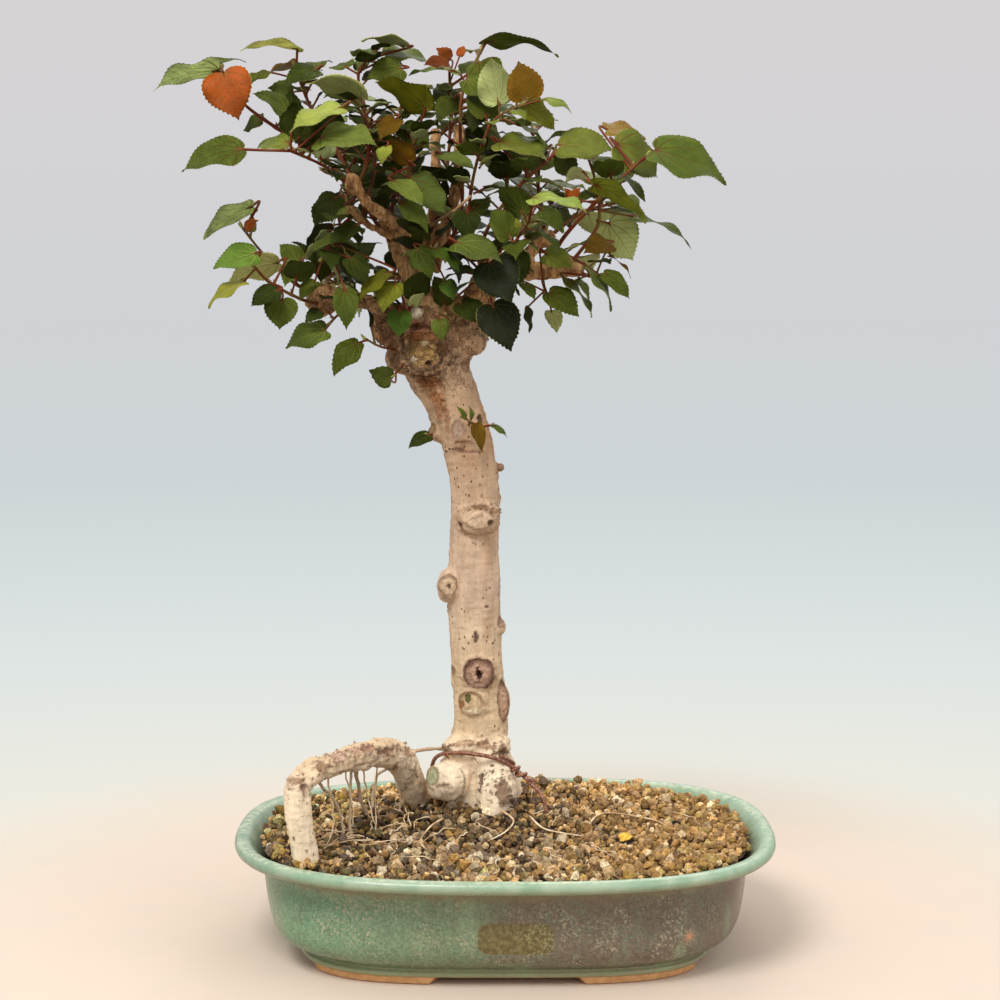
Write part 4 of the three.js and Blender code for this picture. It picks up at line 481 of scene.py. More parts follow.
def applied(mesh, name, add_modifiers):
    """The mesh after the modifiers that the given function puts on it."""
    holder = linked(name, mesh)
    add_modifiers(holder)
    graph = bpy.context.evaluated_depsgraph_get()
    made = bpy.data.meshes.new_from_object(holder.evaluated_get(graph))
    bpy.data.objects.remove(holder)
    return made


def vectors(rows, field):
    values = np.empty(len(rows) * 3)
    rows.foreach_get(field, values)
    return values.reshape(-1, 3)


def coordinates(mesh):
    return vectors(mesh.vertices, "co")


def add_values(mesh, name, kind, field, values):
    """Stores one value for each vertex, for a material to read."""
    layer = mesh.attributes.new(name, kind, "POINT")
    layer.data.foreach_set(field, np.asarray(values, np.float32).ravel())


def dress(node, material):
    """Sets the material of a CAD node whose solid is shown as it is."""
    for part in frame["nodes"][node].material_slots:
        part.material = material


def place_piece(name, mesh, materials, slot, *nodes, smooth=True):
    """Puts a finished mesh, still in millimetres, into the frame as a piece, which may stand for CAD nodes."""
    mesh.transform(TO_FRAME)
    mesh.materials.clear()
    for material in materials:
        mesh.materials.append(material)
    mesh.polygons.foreach_set("use_smooth", [smooth] * len(mesh.polygons))
    mesh.update()
    piece = linked(name, mesh)
    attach(piece, "root")
    if nodes:
        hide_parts(*nodes)
    return piece


class Level:
    """One output of a node. Plain sums on it add the nodes that work them out."""

    def __init__(self, nodes, socket):
        self.nodes = nodes
        self.socket = socket

    def other(self, output):
        """Another output of the same node."""
        return Level(self.nodes, self.socket.node.outputs[output])

    def math(self, operation, second=0.0, third=0.0):
        return self.nodes.math(operation, self, second, third)

    def __add__(self, other):
        return self.math("ADD", other)

    def __sub__(self, number):
        return self.math("ADD", -number)

    def __rsub__(self, number):
        return self.nodes.math("SUBTRACT", number, self)

    def __mul__(self, other):
        return self.math("MULTIPLY", other)

    def __truediv__(self, other):
        return self.math("DIVIDE", other)

    def __pow__(self, power):
        return self.math("POWER", power)

    def __abs__(self):
        return self.math("ABSOLUTE")

    def span(self, low, high, start=0.0, end=1.0):
        """Runs smoothly from start to end while this value goes from low to high."""
        return self.nodes.node("MapRange", {
            "Value": self, "From Min": low, "From Max": high, "To Min": start, "To Max": end,
        }, interpolation_type="SMOOTHSTEP")


class Nodes:
    """Adds nodes to a tree. Plain values are set on the sockets themselves."""

    def __init__(self, tree):
        self.tree = tree
        self.place = None

    def join(self, value, socket):
        """Links a level to a socket, or sets the socket itself to a plain value or colour."""
        if isinstance(value, Level):
            self.tree.links.new(value.socket, socket)
        else:
            socket.default_value = (*linear_tone(value), 1) if socket.type == "RGBA" else value

    def node(self, kind, inputs={}, output=0, **settings):
        made = self.tree.nodes.new("ShaderNode" + kind)
        for key, value in settings.items():
            setattr(made, key, value)
        for key, value in inputs.items():
            self.join(value, made.inputs[key])
        return Level(self, made.outputs[output])

    def math(self, operation, first, second, third=0.0):
        return self.node("Math", {0: first, 1: second, 2: third}, operation=operation)

    def axes(self, place=None):
        split = self.node("SeparateXYZ", {0: place or self.place})
        return split, split.other(1), split.other(2)

    def ramp(self, share, stops):
        """Runs through tones that are given with their positions."""
        made = self.node("ValToRGB", {0: share})
        elements = made.socket.node.color_ramp.elements
        for i, (position, tone) in enumerate(stops):
            stop = elements[i] if i < len(elements) else elements.new(position)
            stop.position = position
            stop.color = (*linear_tone(tone), 1)
        return made

    def blend(self, share, *tones):
        """Even steps through a list of tones."""
        return self.ramp(share, [(i / (len(tones) - 1), tone) for i, tone in enumerate(tones)])


class Surface(Nodes):
    """A procedural material whose patterns are measured in millimetres from the middle of the pot's base."""

    def __init__(self, name):
        self.material = bpy.data.materials.new(name)
        self.material.use_nodes = True
        super().__init__(self.material.node_tree)
        self.shader = self.tree.nodes["Principled BSDF"]
        self.place = self.node("Mapping", {
            "Vector": self.node("TexCoord", output="Object"), "Location": -POT_MIDDLE / MILLIMETRE,
            "Scale": (1 / MILLIMETRE,) * 3,
        })
        self.colour = None

    def stretched(self, x, y, z, place=None):
        return self.node("VectorMath", {0: place or self.place, 1: (x, y, z)}, operation="MULTIPLY")

    def noise(self, scale, detail=2.0, place=None, roughness=0.5, output=0):
        return self.node("TexNoise", {
            "Vector": place or self.place, "Scale": scale, "Detail": detail, "Roughness": roughness,
        }, output)

    def warped(self, scale, reach):
        """Places pushed about by a noise, to break up straight patterns."""
        return self.node("VectorMath", {0: self.noise(scale, output="Color"), 1: (reach,) * 3, 2: self.place},
                         operation="MULTIPLY_ADD")

    def cells(self, scale, place=None, feature="F1", output="Distance"):
        return self.node("TexVoronoi", {"Vector": place or self.place, "Scale": scale}, output, feature=feature)

    def mix(self, share, first, second, blend="MIX"):
        return self.node("Mix", {0: share, 6: first, 7: second}, 2, data_type="RGBA", blend_type=blend)

    def coat(self, share, tone):
        """Lays a tone over the colour so far."""
        self.colour = self.mix(share, self.colour, tone)

    def shade(self, factor):
        """Darkens or lightens the colour so far."""
        self.colour = self.mix(1.0, self.colour, factor, "MULTIPLY")

    def mottle(self, scale, detail, *tones, roughness=0.5):
        """Starts the colour with tones that wander into one another."""
        self.colour = self.blend(self.noise(scale, detail, None, roughness).span(0.3, 0.7), *tones)

    def value(self, name, output):
        return self.node("Attribute", output=output, attribute_name=name)

    def finish(self, roughness, gloss, *layers, **others):
        """Sets the shader, and joins (height, millimetres) layers into one bump on it."""
        inputs = {"Base Color": self.colour, "Roughness": roughness, "Specular IOR Level": gloss, **others}
        for height, depth in layers:
            below = {"Normal": inputs["Normal"]} if "Normal" in inputs else {}
            inputs["Normal"] = self.node("Bump", {"Distance": depth * MILLIMETRE, "Height": height, **below})
        for key, value in inputs.items():
            self.join(value, self.shader.inputs[key.replace("_", " ")])
        return self.material

# Leaves: finding their places


class Blade:
    """One leaf blade in its own flat frame: along the midrib, to its side, and up from its face."""

    def __init__(self, base, tip, face, width, tint, phase):
        self.base = base
        along = tip - base
        self.length = np.linalg.norm(along)
        self.along = along / self.length
        self.face = unit(face - self.along * face.dot(self.along))
        self.side = np.cross(self.face, self.along)
        self.tip = tip
        self.width = width
        self.tint = tint
        self.phase = phase
        self.samples = self.points(SAMPLE_PLACES[:, 0], SAMPLE_PLACES[:, 1], 0)
        self.middle = self.points(np.array([0.4]), np.array([0.0]), 0)[0]

    def height(self, along, across):
        half = np.abs(across) * self.width
        sway = np.sin(8 * along + 2.1 * np.sign(across) + self.phase) * np.abs(across) * 2
        return self.length * (BLADE_FOLD * half + BLADE_ARCH * 4 * along * (1 - along) + BLADE_RUFFLE * sway)

    def points(self, along, across, lift):
        return (self.base + np.outer(along * self.length, self.along)
                + np.outer(across * self.width * self.length, self.side)
                + np.outer(self.height(along, across) + lift, self.face))

    def heights_of(self, points):
        """Heights of points over the blade, with nan where a point isn't over its outline."""
        offset = points - self.base
        along = offset @ self.along / self.length
        across = offset @ self.side / (self.width * self.length)
        reach = 0.5 * np.minimum(1, 1.25 * (1.04 - along)) + BLADE_CLEARANCE / (self.width * self.length)
        height = offset @ self.face - self.height(along, across)
        height[(along < -0.18) | (along > 1.05) | (np.abs(across) > reach)] = np.nan
        return height

    def meets(self, samples):
        height = self.heights_of(samples)
        height = height[~np.isnan(height)]
        return bool((np.abs(height) < BLADE_CLEARANCE).any() or ((height > 0).any() and (height < 0).any()))

    def clashes(self, other):
        if np.linalg.norm(self.middle - other.middle) > 0.75 * (self.length + other.length):
            return False
        return self.meets(other.samples) or other.meets(self.samples)


def facing(base, tip, tilt):
    """Upper face of a leaf that is given by its tilt away from the viewer, in degrees."""
    along = unit(tip - base)
    viewer = np.array([0.0, -1.0, 0.0])
    viewer = unit(viewer - along * viewer.dot(along))
    turned_up = np.cross(viewer, along)
    if turned_up[2] < -0.15 or (abs(turned_up[2]) <= 0.15 and turned_up[0] < 0):
        turned_up = -turned_up
    angle = math.radians(tilt)
    return viewer * math.cos(angle) + turned_up * math.sin(angle)


def petiole_path(start, blade):
    """A petiole runs straight from the stem to the notch, or first meets the midrib's line behind the lobes."""
    to_stem = start - blade.base
    reach = np.linalg.norm(to_stem)
    path = [start]
    if -to_stem.dot(blade.along) / reach < -0.1 or abs(to_stem.dot(blade.side)) / reach > 0.6:
        path.append(blade.base - blade.along * min(0.13 * blade.length + 1.2, 0.55 * reach))
    path.append(blade.base)
    return np.array([[*point, PETIOLE_RADIUS] for point in path])


def bar_samples(path, step):
    path = np.asarray(path, float)
    reach = np.linalg.norm(path[-1, :3] - path[0, :3])
    count = max(2, math.floor(reach * 1.1 / step + 0.5))
    return np.array([line_at(path, i / count) for i in range(count + 1)])


def seen_place(point):
    """Where the viewer sees a point, carried to the outline's depth."""
    scale = (OUTLINE_DEPTH - VIEWER[1]) / (point[1] - VIEWER[1])
    return VIEWER[0] + (point[0] - VIEWER[0]) * scale, VIEWER[2] + (point[2] - VIEWER[2]) * scale


def inside_crown(point):
    x, z = seen_place(point)
    inside = False
    for (ax, az), (bx, bz) in zip(CROWN_OUTLINE, CROWN_OUTLINE[1:] + CROWN_OUTLINE[:1]):
        if (az > z) != (bz > z) and x < ax + (z - az) / (bz - az) * (bx - ax):
            inside = not inside
    return inside


class Shoot:
    """One leafy shoot: its stem, and the leaves that have found a place on it."""

    def __init__(self, name, stem, radius, leaves, more, rule_tint, bark):
        self.name = name
        self.leaves = leaves
        self.more = more
        self.rule_tint = rule_tint
        self.radius = radius
        thickness = max(STEM_LEAST, (radius[0] + radius[1]) / 2)
        self.path = np.array([[*point, thickness] for point in stem], float)
        self.length = np.linalg.norm(self.path[-1, :3] - self.path[0, :3])
        self.last_share = 1 - 0.8 / self.length
        share = 0
        while share < 0.85 and (np.linalg.norm(bark[:, :3] - line_at(self.path, share)[:3], axis=1)
                                < bark[:, 3] + BARK_CLEARANCE).any():
            share += 0.025
        self.clear_from = min(share + 0.05, self.last_share - 0.01)
        self.starts = []
        self.built = []

    def petiole_start(self, point):
        """Nearest free place on the stem for a petiole."""
        best = None
        share = self.clear_from
        while share <= self.last_share:
            here = line_at(self.path, share)
            taken = any(abs(other - share) * self.length < PETIOLE_SPACING for other in self.starts)
            gap = np.linalg.norm(here[:3] - point) + (TAKEN_PENALTY if taken else 0)
            if best is None or gap < best[0]:
                best = (gap, here, share)
            share += 0.02
        return best[1], best[2]


def sunk_start(here, toward):
    return here[:3] + unit(toward - here[:3]) * 0.35 * here[3]


class Crown:
    """All shoots, with every blade and bar that a further leaf has to keep clear of."""

    def __init__(self):
        self.blades = []
        limbs = [TRUNK, *LIMBS.values(), *THIN_LIMBS.values()]
        bark = np.concatenate([bar_samples(path, LIMB_STEP) for path in limbs]
                              + [[[*middle, max(halves)] for middle, halves in KNOBS]])
        # Leaves added by rule on shoots that end left of the middle take the dark tint, with its painted shade.
        self.shoots = [Shoot(name, stem, radius, leaves, more, "mid" if stem[-1][0] > 0 else "dark", bark)
                       for name, more, radius, stem, leaves in SHOOTS]
        for name, count, tint, start, end in BACK_SHOOTS:
            start, end = np.array(start, float), np.array(end, float)
            middle = (start + end) / 2
            lean = np.linalg.norm(end - start) * BACK_BEND
            middle[2] += -lean if end[2] > start[2] + STEEP_RISE else lean
            self.shoots.append(Shoot(name, [start, middle, end], BACK_RADIUS, [], count, tint, bark))
        self.bars = [(None, bark)] + [(shoot.name, bar_samples(shoot.path, BAR_STEP)) for shoot in self.shoots]
        for index, shoot in enumerate(self.shoots):
            self.place_measured(shoot, index)
        for index, shoot in enumerate(self.shoots):
            self.place_ruled(shoot, 1000 + 31 * index, shoot.more, 0.3)

    def is_clear(self, blade, petiole, owner):
        if any(blade.clashes(other) for other in self.blades):
            return False
        others = np.concatenate([samples for name, samples in self.bars if name is None or name != owner])
        height = blade.heights_of(others[:, :3])
        if (np.abs(height) < others[:, 3] + BAR_CLEARANCE).any():
            return False
        for other in self.blades:
            height = other.heights_of(petiole[:, :3])
            if (np.abs(height) < petiole[:, 3] + BAR_CLEARANCE).any():
                return False
        return True

    def keep(self, shoot, blade, path):
        self.blades.append(blade)
        self.bars.append((shoot.name, bar_samples(path, BAR_STEP)))
        shoot.built.append((blade, path))

    def place_measured(self, shoot, index):
        for order, (bx, by, bz, tx, ty, tz, tilt, width, tint) in enumerate(shoot.leaves):
            here, share = shoot.petiole_start(np.array([bx, by, bz], float))
            shoot.starts.append(share)
            chosen = None
            for step in DEPTH_STEPS:
                base, tip = np.array([bx, by + step, bz], float), np.array([tx, ty + step, tz], float)
                blade = Blade(base, tip, facing(base, tip, tilt), width, tint, index + 1.7 * order)
                path = petiole_path(sunk_start(here, base), blade)
                if chosen is None:
                    chosen = (blade, path)
                if self.is_clear(blade, bar_samples(path, BAR_STEP), shoot.name):
                    chosen = (blade, path)
                    break
            self.keep(shoot, *chosen)

    def place_ruled(self, shoot, seed, count, first_share, size=1.0):
        """Leaves that turn round the stem by the golden angle and droop outward under a lifted petiole."""
        random = seeded(seed)
        for order in range(count):
            first = max(first_share, shoot.clear_from)
            share = min(first + (1 - first) * ((order + 0.7) / count), shoot.last_share)
            here = line_at(shoot.path, share)
            along = unit(line_at(shoot.path, share + 0.03)[:3] - line_at(shoot.path, share - 0.03)[:3])
            right = unit(np.cross(along, np.array([0.3, 0.1, 1])))
            front = np.cross(right, along)
            turn = order * GOLDEN_ANGLE + random() * 0.8
            petiole = (RULED_PETIOLE[0] + RULED_PETIOLE[1] * random()) * size
            length = (RULED_BLADE[0] + RULED_BLADE[1] * random()) * size
            droop = 0.25 + 0.5 * random()
            width = 0.74 + 0.16 * random()
            phase = 6 * random()
            for swing, rise in TURN_TRIES:
                out = right * math.cos(turn + swing) + front * math.sin(turn + swing)
                reach = unit(out + along * 0.55 + np.array([0, 0, 0.25 + rise]))
                base = here[:3] + reach * petiole
                heading = unit(reach - np.array([0, 0, droop]))
                face = np.array([0.0, 0.0, 1.0]) + out * 0.45
                blade = Blade(base, base + heading * length, face, width, shoot.rule_tint, phase)
                path = petiole_path(sunk_start(here, base), blade)
                if inside_crown(blade.tip) and inside_crown(blade.middle) \
                        and self.is_clear(blade, bar_samples(path, BAR_STEP), shoot.name):
                    self.keep(shoot, blade, path)
                    break

# Leaves: fine blades

def leaf_template(steps, spokes, tooth):
    """Flat leaf of one size class as (mesh, along, across, edge share, underside share) for each vertex."""
    bm = bmesh.new()
    bmesh.ops.create_grid(bm, x_segments=steps, y_segments=2 * spokes, size=1)
    lengths = np.linalg.norm(np.diff(LEAF_OUTLINE, axis=0), axis=1)
    marks = np.concatenate([[0], np.cumsum(lengths)]) / lengths.sum()

    def outline(share):
        return np.array([np.interp(share, marks, LEAF_OUTLINE[:, axis]) for axis in range(2)])

    layer = bm.verts.layers.float_vector.new("leaf_place")
    for vert in bm.verts:
        share, across = (vert.co.x + 1) / 2, vert.co.y
        column = round(share * steps)
        ahead, behind = outline(share + 0.02), outline(share - 0.02)
        outward = unit(np.array([behind[1] - ahead[1], ahead[0] - behind[0]]))
        fade = tooth * ease(share, 0.06, 0.2) * (1 - ease(share, 0.9, 0.98))
        uneven = 0.75 + 0.5 * math.sin(2.4 * column * (1 if across > 0 else 1.3))
        here = outline(share) + outward * fade * (uneven if column % 2 else -0.35)
        here[0] += 0.6 * fade * uneven * (column % 2)
        spine = max(0, (share - 0.12) / 0.88) ** 1.1
        edge = abs(across)
        place = np.array([spine * (1 - edge) + here[0] * edge, here[1] * edge * (1 if across >= 0 else -1)])
        vert.co = (place[0], place[1], 0)
        vert[layer] = (place[0], place[1], edge)
    bmesh.ops.remove_doubles(bm, verts=bm.verts, dist=1e-5)
    bmesh.ops.recalc_face_normals(bm, faces=bm.faces)
    if bm.faces[0].normal.z < 0:
        bmesh.ops.reverse_faces(bm, faces=bm.faces)
    bmesh.ops.solidify(bm, geom=bm.faces[:], thickness=0.01)
    mesh = mesh_of(bm, "leaf_template")
    under = (coordinates(mesh)[:, 2] < -0.005).astype(float)
    along, across, edge = vectors(mesh.attributes["leaf_place"].data, "vector").T
    return mesh, along, across, edge, under


def leaf_templates(tooth):
    return [
        (27, leaf_template(48, 5, tooth)),
        (20, leaf_template(36, 4, tooth * 1.15)),
        (12, leaf_template(26, 3, tooth * 1.3)),
        (0, leaf_template(14, 2, tooth * 1.5)),
    ]


def fine_blade(blade, template, thickness):
    """Places of a template's vertices on one blade: folded, arched and quilted, with drooping tip and waved edge."""
    _, along, across, edge, under = template
    lift = (0.5 - under) * thickness
    wave = 0.03 * blade.length * np.sin(11 * along + 2 * blade.phase + 1.3 * np.sign(across)) * edge ** 2
    droop = -0.09 * blade.length * ease(along, 0.6, 1.1) ** 2 - 0.03 * blade.length * edge ** 3 * (1 - along)
    rays = np.arctan2(np.abs(across), np.maximum(along, 0) + 0.04)
    quilt = 0.008 * blade.length * np.cos(rays * 2 * math.pi / 0.62 + math.pi) * (1 - edge) * np.minimum(1, 3 * edge)
    return blade.points(along, across, lift + wave + droop + quilt)


def tint_variation(colour, random):
    """One leaf's own shade of its tint."""
    light = 0.78 + 0.4 * random()
    warm = 1 + 0.18 * (random() - 0.45)
    return [min(1, colour[0] * light * warm), min(1, colour[1] * light), min(1, colour[2] * light / warm)]


def stem_paths(shoot, random):
    """The stem with swollen nodes, and each petiole as a slightly bowed bar with a joint at both ends."""
    thick, thin = shoot.radius
    stem = smooth_path(np.column_stack([shoot.path[:, :3], 0.72 * np.linspace(thick, thin, len(shoot.path))]), 1.6)
    starts = [path[0, :3] for _, path in shoot.built]
    for point in stem:
        near = min((np.linalg.norm(point[:3] - start) for start in starts), default=9)
        point[3] *= 1.0 + 0.28 * math.exp(-(near / 1.3) ** 2)
    tip = stem[-1].copy()
    heading = unit(stem[-1][:3] - stem[-2][:3])
    for reach, share in ((0.5, 0.8), (0.8, 0.3)):
        stem.append(np.array([*(tip[:3] + heading * reach), tip[3] * share]))
    paths = [stem]
    for blade, path in shoot.built:
        slim = 0.34 + 0.01 * blade.length
        bowed = smooth_path(path, 1.1)
        length = sum(np.linalg.norm(bowed[i + 1][:3] - bowed[i][:3]) for i in range(len(bowed) - 1))
        sag = 0.03 * length * (random() - 0.3)
        for i, point in enumerate(bowed):
            share = i / (len(bowed) - 1)
            point[2] += sag * math.sin(math.pi * share)
            point[3] = slim * (1 + 0.45 * math.exp(-share * 9) + 0.35 * math.exp(-(1 - share) * 11))
        inner = blade.base + blade.along * 0.1 * blade.length + blade.face * blade.height(0.1, 0.0)
        bowed += [np.array([*(blade.base + blade.face * 0.1), slim * 0.95]), np.array([*inner, slim * 0.35])]
        paths.append(bowed)
    return paths


def bud_mesh(places):
    """Small pointed buds and stipules at stem tips and petiole joints: (point, direction, length, width)."""
    bm = bmesh.new()
    for point, heading, length, width in places:
        made = bmesh.ops.create_icosphere(bm, subdivisions=1, radius=1)["verts"]
        turn = Vector(heading).to_track_quat("Z", "Y").to_matrix().to_4x4()
        for vert in made:
            taper = 1 - 0.55 * max(0.0, vert.co.z)
            vert.co = (vert.co.x * width * taper, vert.co.y * width * taper * 0.7, (vert.co.z + 0.75) * length / 2)
        bmesh.ops.transform(bm, matrix=Matrix.Translation(Vector(point)) @ turn, verts=made)
    return mesh_of(bm, "buds")


def build_shoot(shoot, templates, sizes, materials, seed):
    """One shoot's blades, petioles, stem and buds as one piece that stands for its CAD node."""
    random = seeded(seed)
    bm = bmesh.new()
    places, colours, details, maps = [], [], [], []
    for blade, _ in shoot.built:
        template = next(made for least, made in templates if blade.length > least)
        mesh, along, across, edge, under = template
        bm.from_mesh(mesh)
        places.append(fine_blade(blade, template, sizes.thickness))
        tint = tint_variation(getattr(sizes, "tint_" + blade.tint), random)
        colours.append(np.column_stack([np.tile(tint, (len(under), 1)), under]))
        details.append(np.column_stack([edge, np.full(len(edge), random()), np.full(len(edge), blade.length)]))
        maps.append(np.column_stack([along, across * blade.width]))
    blade_faces, blade_verts = len(bm.faces), len(bm.verts)
    stems = tube_mesh(stem_paths(shoot, random))
    bm.from_mesh(stems)
    stem_faces = len(bm.faces)
    buds = []
    end = shoot.path[-1, :3]
    heading = unit(end - shoot.path[-2, :3])
    for k in range(3):
        lean = unit(heading + 0.5 * np.array([random() - 0.5, random() - 0.5, random() - 0.2]))
        buds.append((end + heading * 0.4, lean, 2.6 + 2.2 * random(), 0.75 + 0.3 * random()))
    for _, path in shoot.built:
        lean = unit(unit(path[1, :3] - path[0, :3]) + 0.8 * heading + np.array([0, 0, 0.3]))
        buds.append((path[0, :3] + lean * 0.5, lean, 1.8 + random(), 0.6))
    bm.from_mesh(bud_mesh(buds))
    total = len(bm.verts)
    mesh = mesh_of(bm, shoot.name + "_foliage")
    co = coordinates(mesh)
    co[:blade_verts] = np.concatenate(places)
    mesh.vertices.foreach_set("co", co.ravel())
    rest = total - blade_verts
    add_values(mesh, "leaf_tint", "FLOAT_COLOR", "color",
               np.concatenate(colours + [np.tile([*sizes.bud_colour, 0], (rest, 1))]))
    add_values(mesh, "leaf_detail", "FLOAT_VECTOR", "vector", np.concatenate(details + [np.zeros((rest, 3))]))
    flat = np.concatenate(maps + [np.zeros((rest, 2))])
    corners = np.empty(len(mesh.loops), np.int32)
    mesh.loops.foreach_get("vertex_index", corners)
    layer = mesh.uv_layers.new(name="leaf_map")
    layer.data.foreach_set("uv", flat[corners].ravel())
    index = np.zeros(len(mesh.polygons), np.int32)
    index[blade_faces:stem_faces] = 1
    index[stem_faces:] = 2
    name = shoot.name.replace("shoot_", "leaves_").replace("sprout_", "leaves_sprout_")
    piece = place_piece(name, mesh, materials, SLOTS[shoot.name], shoot.name)
    piece.data.polygons.foreach_set("material_index", index)
    return piece


def leaf_surface(look):
    """Satin upper face with fine veins, a paler underside with raised ones that is brightened further as painted
    light, and a thin brown edge.
    """
    leaf = Surface("leaf_blade")
    spot = leaf.node("UVMap", uv_map="leaf_map")
    along, across, _ = leaf.axes(spot)
    tint = leaf.value("leaf_tint", "Color")
    under = tint.other("Alpha")
    edge, chance, _ = leaf.axes(leaf.value("leaf_detail", "Vector"))
    side = abs(across)
    reach = (along * along + side * side).math("SQRT")
    angle = side.math("ARCTAN2", along + 0.012)
    curved = angle + reach * 0.42 * angle.span(0, 0.45)
    ray_gap = curved.math("PINGPONG", 0.31) * reach / reach.span(0, 1, 1, 0.35)
    main = ray_gap.span(0.003, 0.015, 1, 0) * edge.span(0.8, 0.97, 1, 0.2)
    chevron = along.math("SUBTRACT", side * 0.75).math("PINGPONG", 0.065)
    second = chevron.span(0.001, 0.009, 1, 0) * along.span(0.2, 0.32)
    net = leaf.cells(24, leaf.stretched(1, 1, 0, spot), "DISTANCE_TO_EDGE").span(0, 0.1, 1, 0)
    veins = main.math("MAXIMUM", second * 0.5)
    leaf.colour = tint
    leaf.shade(leaf.noise(0.16, 4).span(0.3, 0.7, 0.8, 1.16))
    leaf.shade(along.span(-0.1, 1, 1.1, 0.9))
    # The underside is paler by nature, and is mixed further toward the underside tone as painted light from below and
    # through the blade.
    underside_with_painted_light = leaf.mix(0.6, leaf.colour, look.underside)
    tint_red, tint_green, _ = leaf.axes(tint)
    pale = leaf.mix(tint_green.span(0.015, 0.15, 0.08, 0.7), tint, (182, 182, 92))
    red = leaf.mix(tint_green.span(0.015, 0.15, 0.25, 0.65), tint, (132, 62, 34))
    reddish = chance.span(0.42, 0.5) * reach.span(0.3, 0.9, 1, 0.35)
    reddish = reddish * (tint_green / tint_red).span(0.25, 0.45) * tint_green.span(0.02, 0.06)
    leaf.coat(veins * 0.85, leaf.mix(reddish, pale, red))
    leaf.coat(net * 0.1, pale)
    margin = edge.span(0.968, 0.998) * chance.span(0.2, 0.8, 0.25, 0.85)
    leaf.coat(margin, leaf.mix(leaf.noise(0.3, 2).span(0.38, 0.5), (118, 62, 32), (178, 170, 92)))
    leaf.coat(under, leaf.mix(veins * 0.6, underside_with_painted_light, leaf.mix(reddish * 0.7, (182, 178, 104), red)))
    leaf.coat(leaf.noise(0.55, 3).span(0.66, 0.74) * chance.span(0.5, 1) * 0.5, (96, 62, 28))
    return leaf.finish(leaf.noise(0.4, 3).span(0.35, 0.65, 0.46, 0.56) + under * 0.16, 0.12,
                       (veins * under.math("MULTIPLY_ADD", 2, -1), 0.3), (net * (1 - under), -0.07),
                       (leaf.noise(0.35, 3), 0.3))


def stem_surface(look):
    """Red brown young stems and petioles, greener in places, with fine pores."""
    stem = Surface("shoot_stem")
    stem.colour = stem.blend(stem.noise(0.09, 3).span(0.34, 0.7), look.stem_red, look.stem_brown, look.stem_green)
    pores = stem.cells(1.1).span(0.05, 0.2, 1, 0)
    stem.coat(pores * 0.4, (150, 108, 68))
    return stem.finish(stem.noise(0.8).span(0.3, 0.7, 0.42, 0.6), 0.15, (stem.noise(1.3, 3), 0.15), (pores, 0.12))


def bud_surface(look):
    """Downy lime buds with a darker base."""
    bud = Surface("young_bud")
    bud.colour = bud.blend(bud.noise(0.5, 3).span(0.35, 0.65), look.bud_colour, (132, 116, 52), (112, 62, 36))
    return bud.finish(0.62, 0.5, (bud.noise(2.5, 3), 0.12), Sheen_Weight=0.25)

# Bark

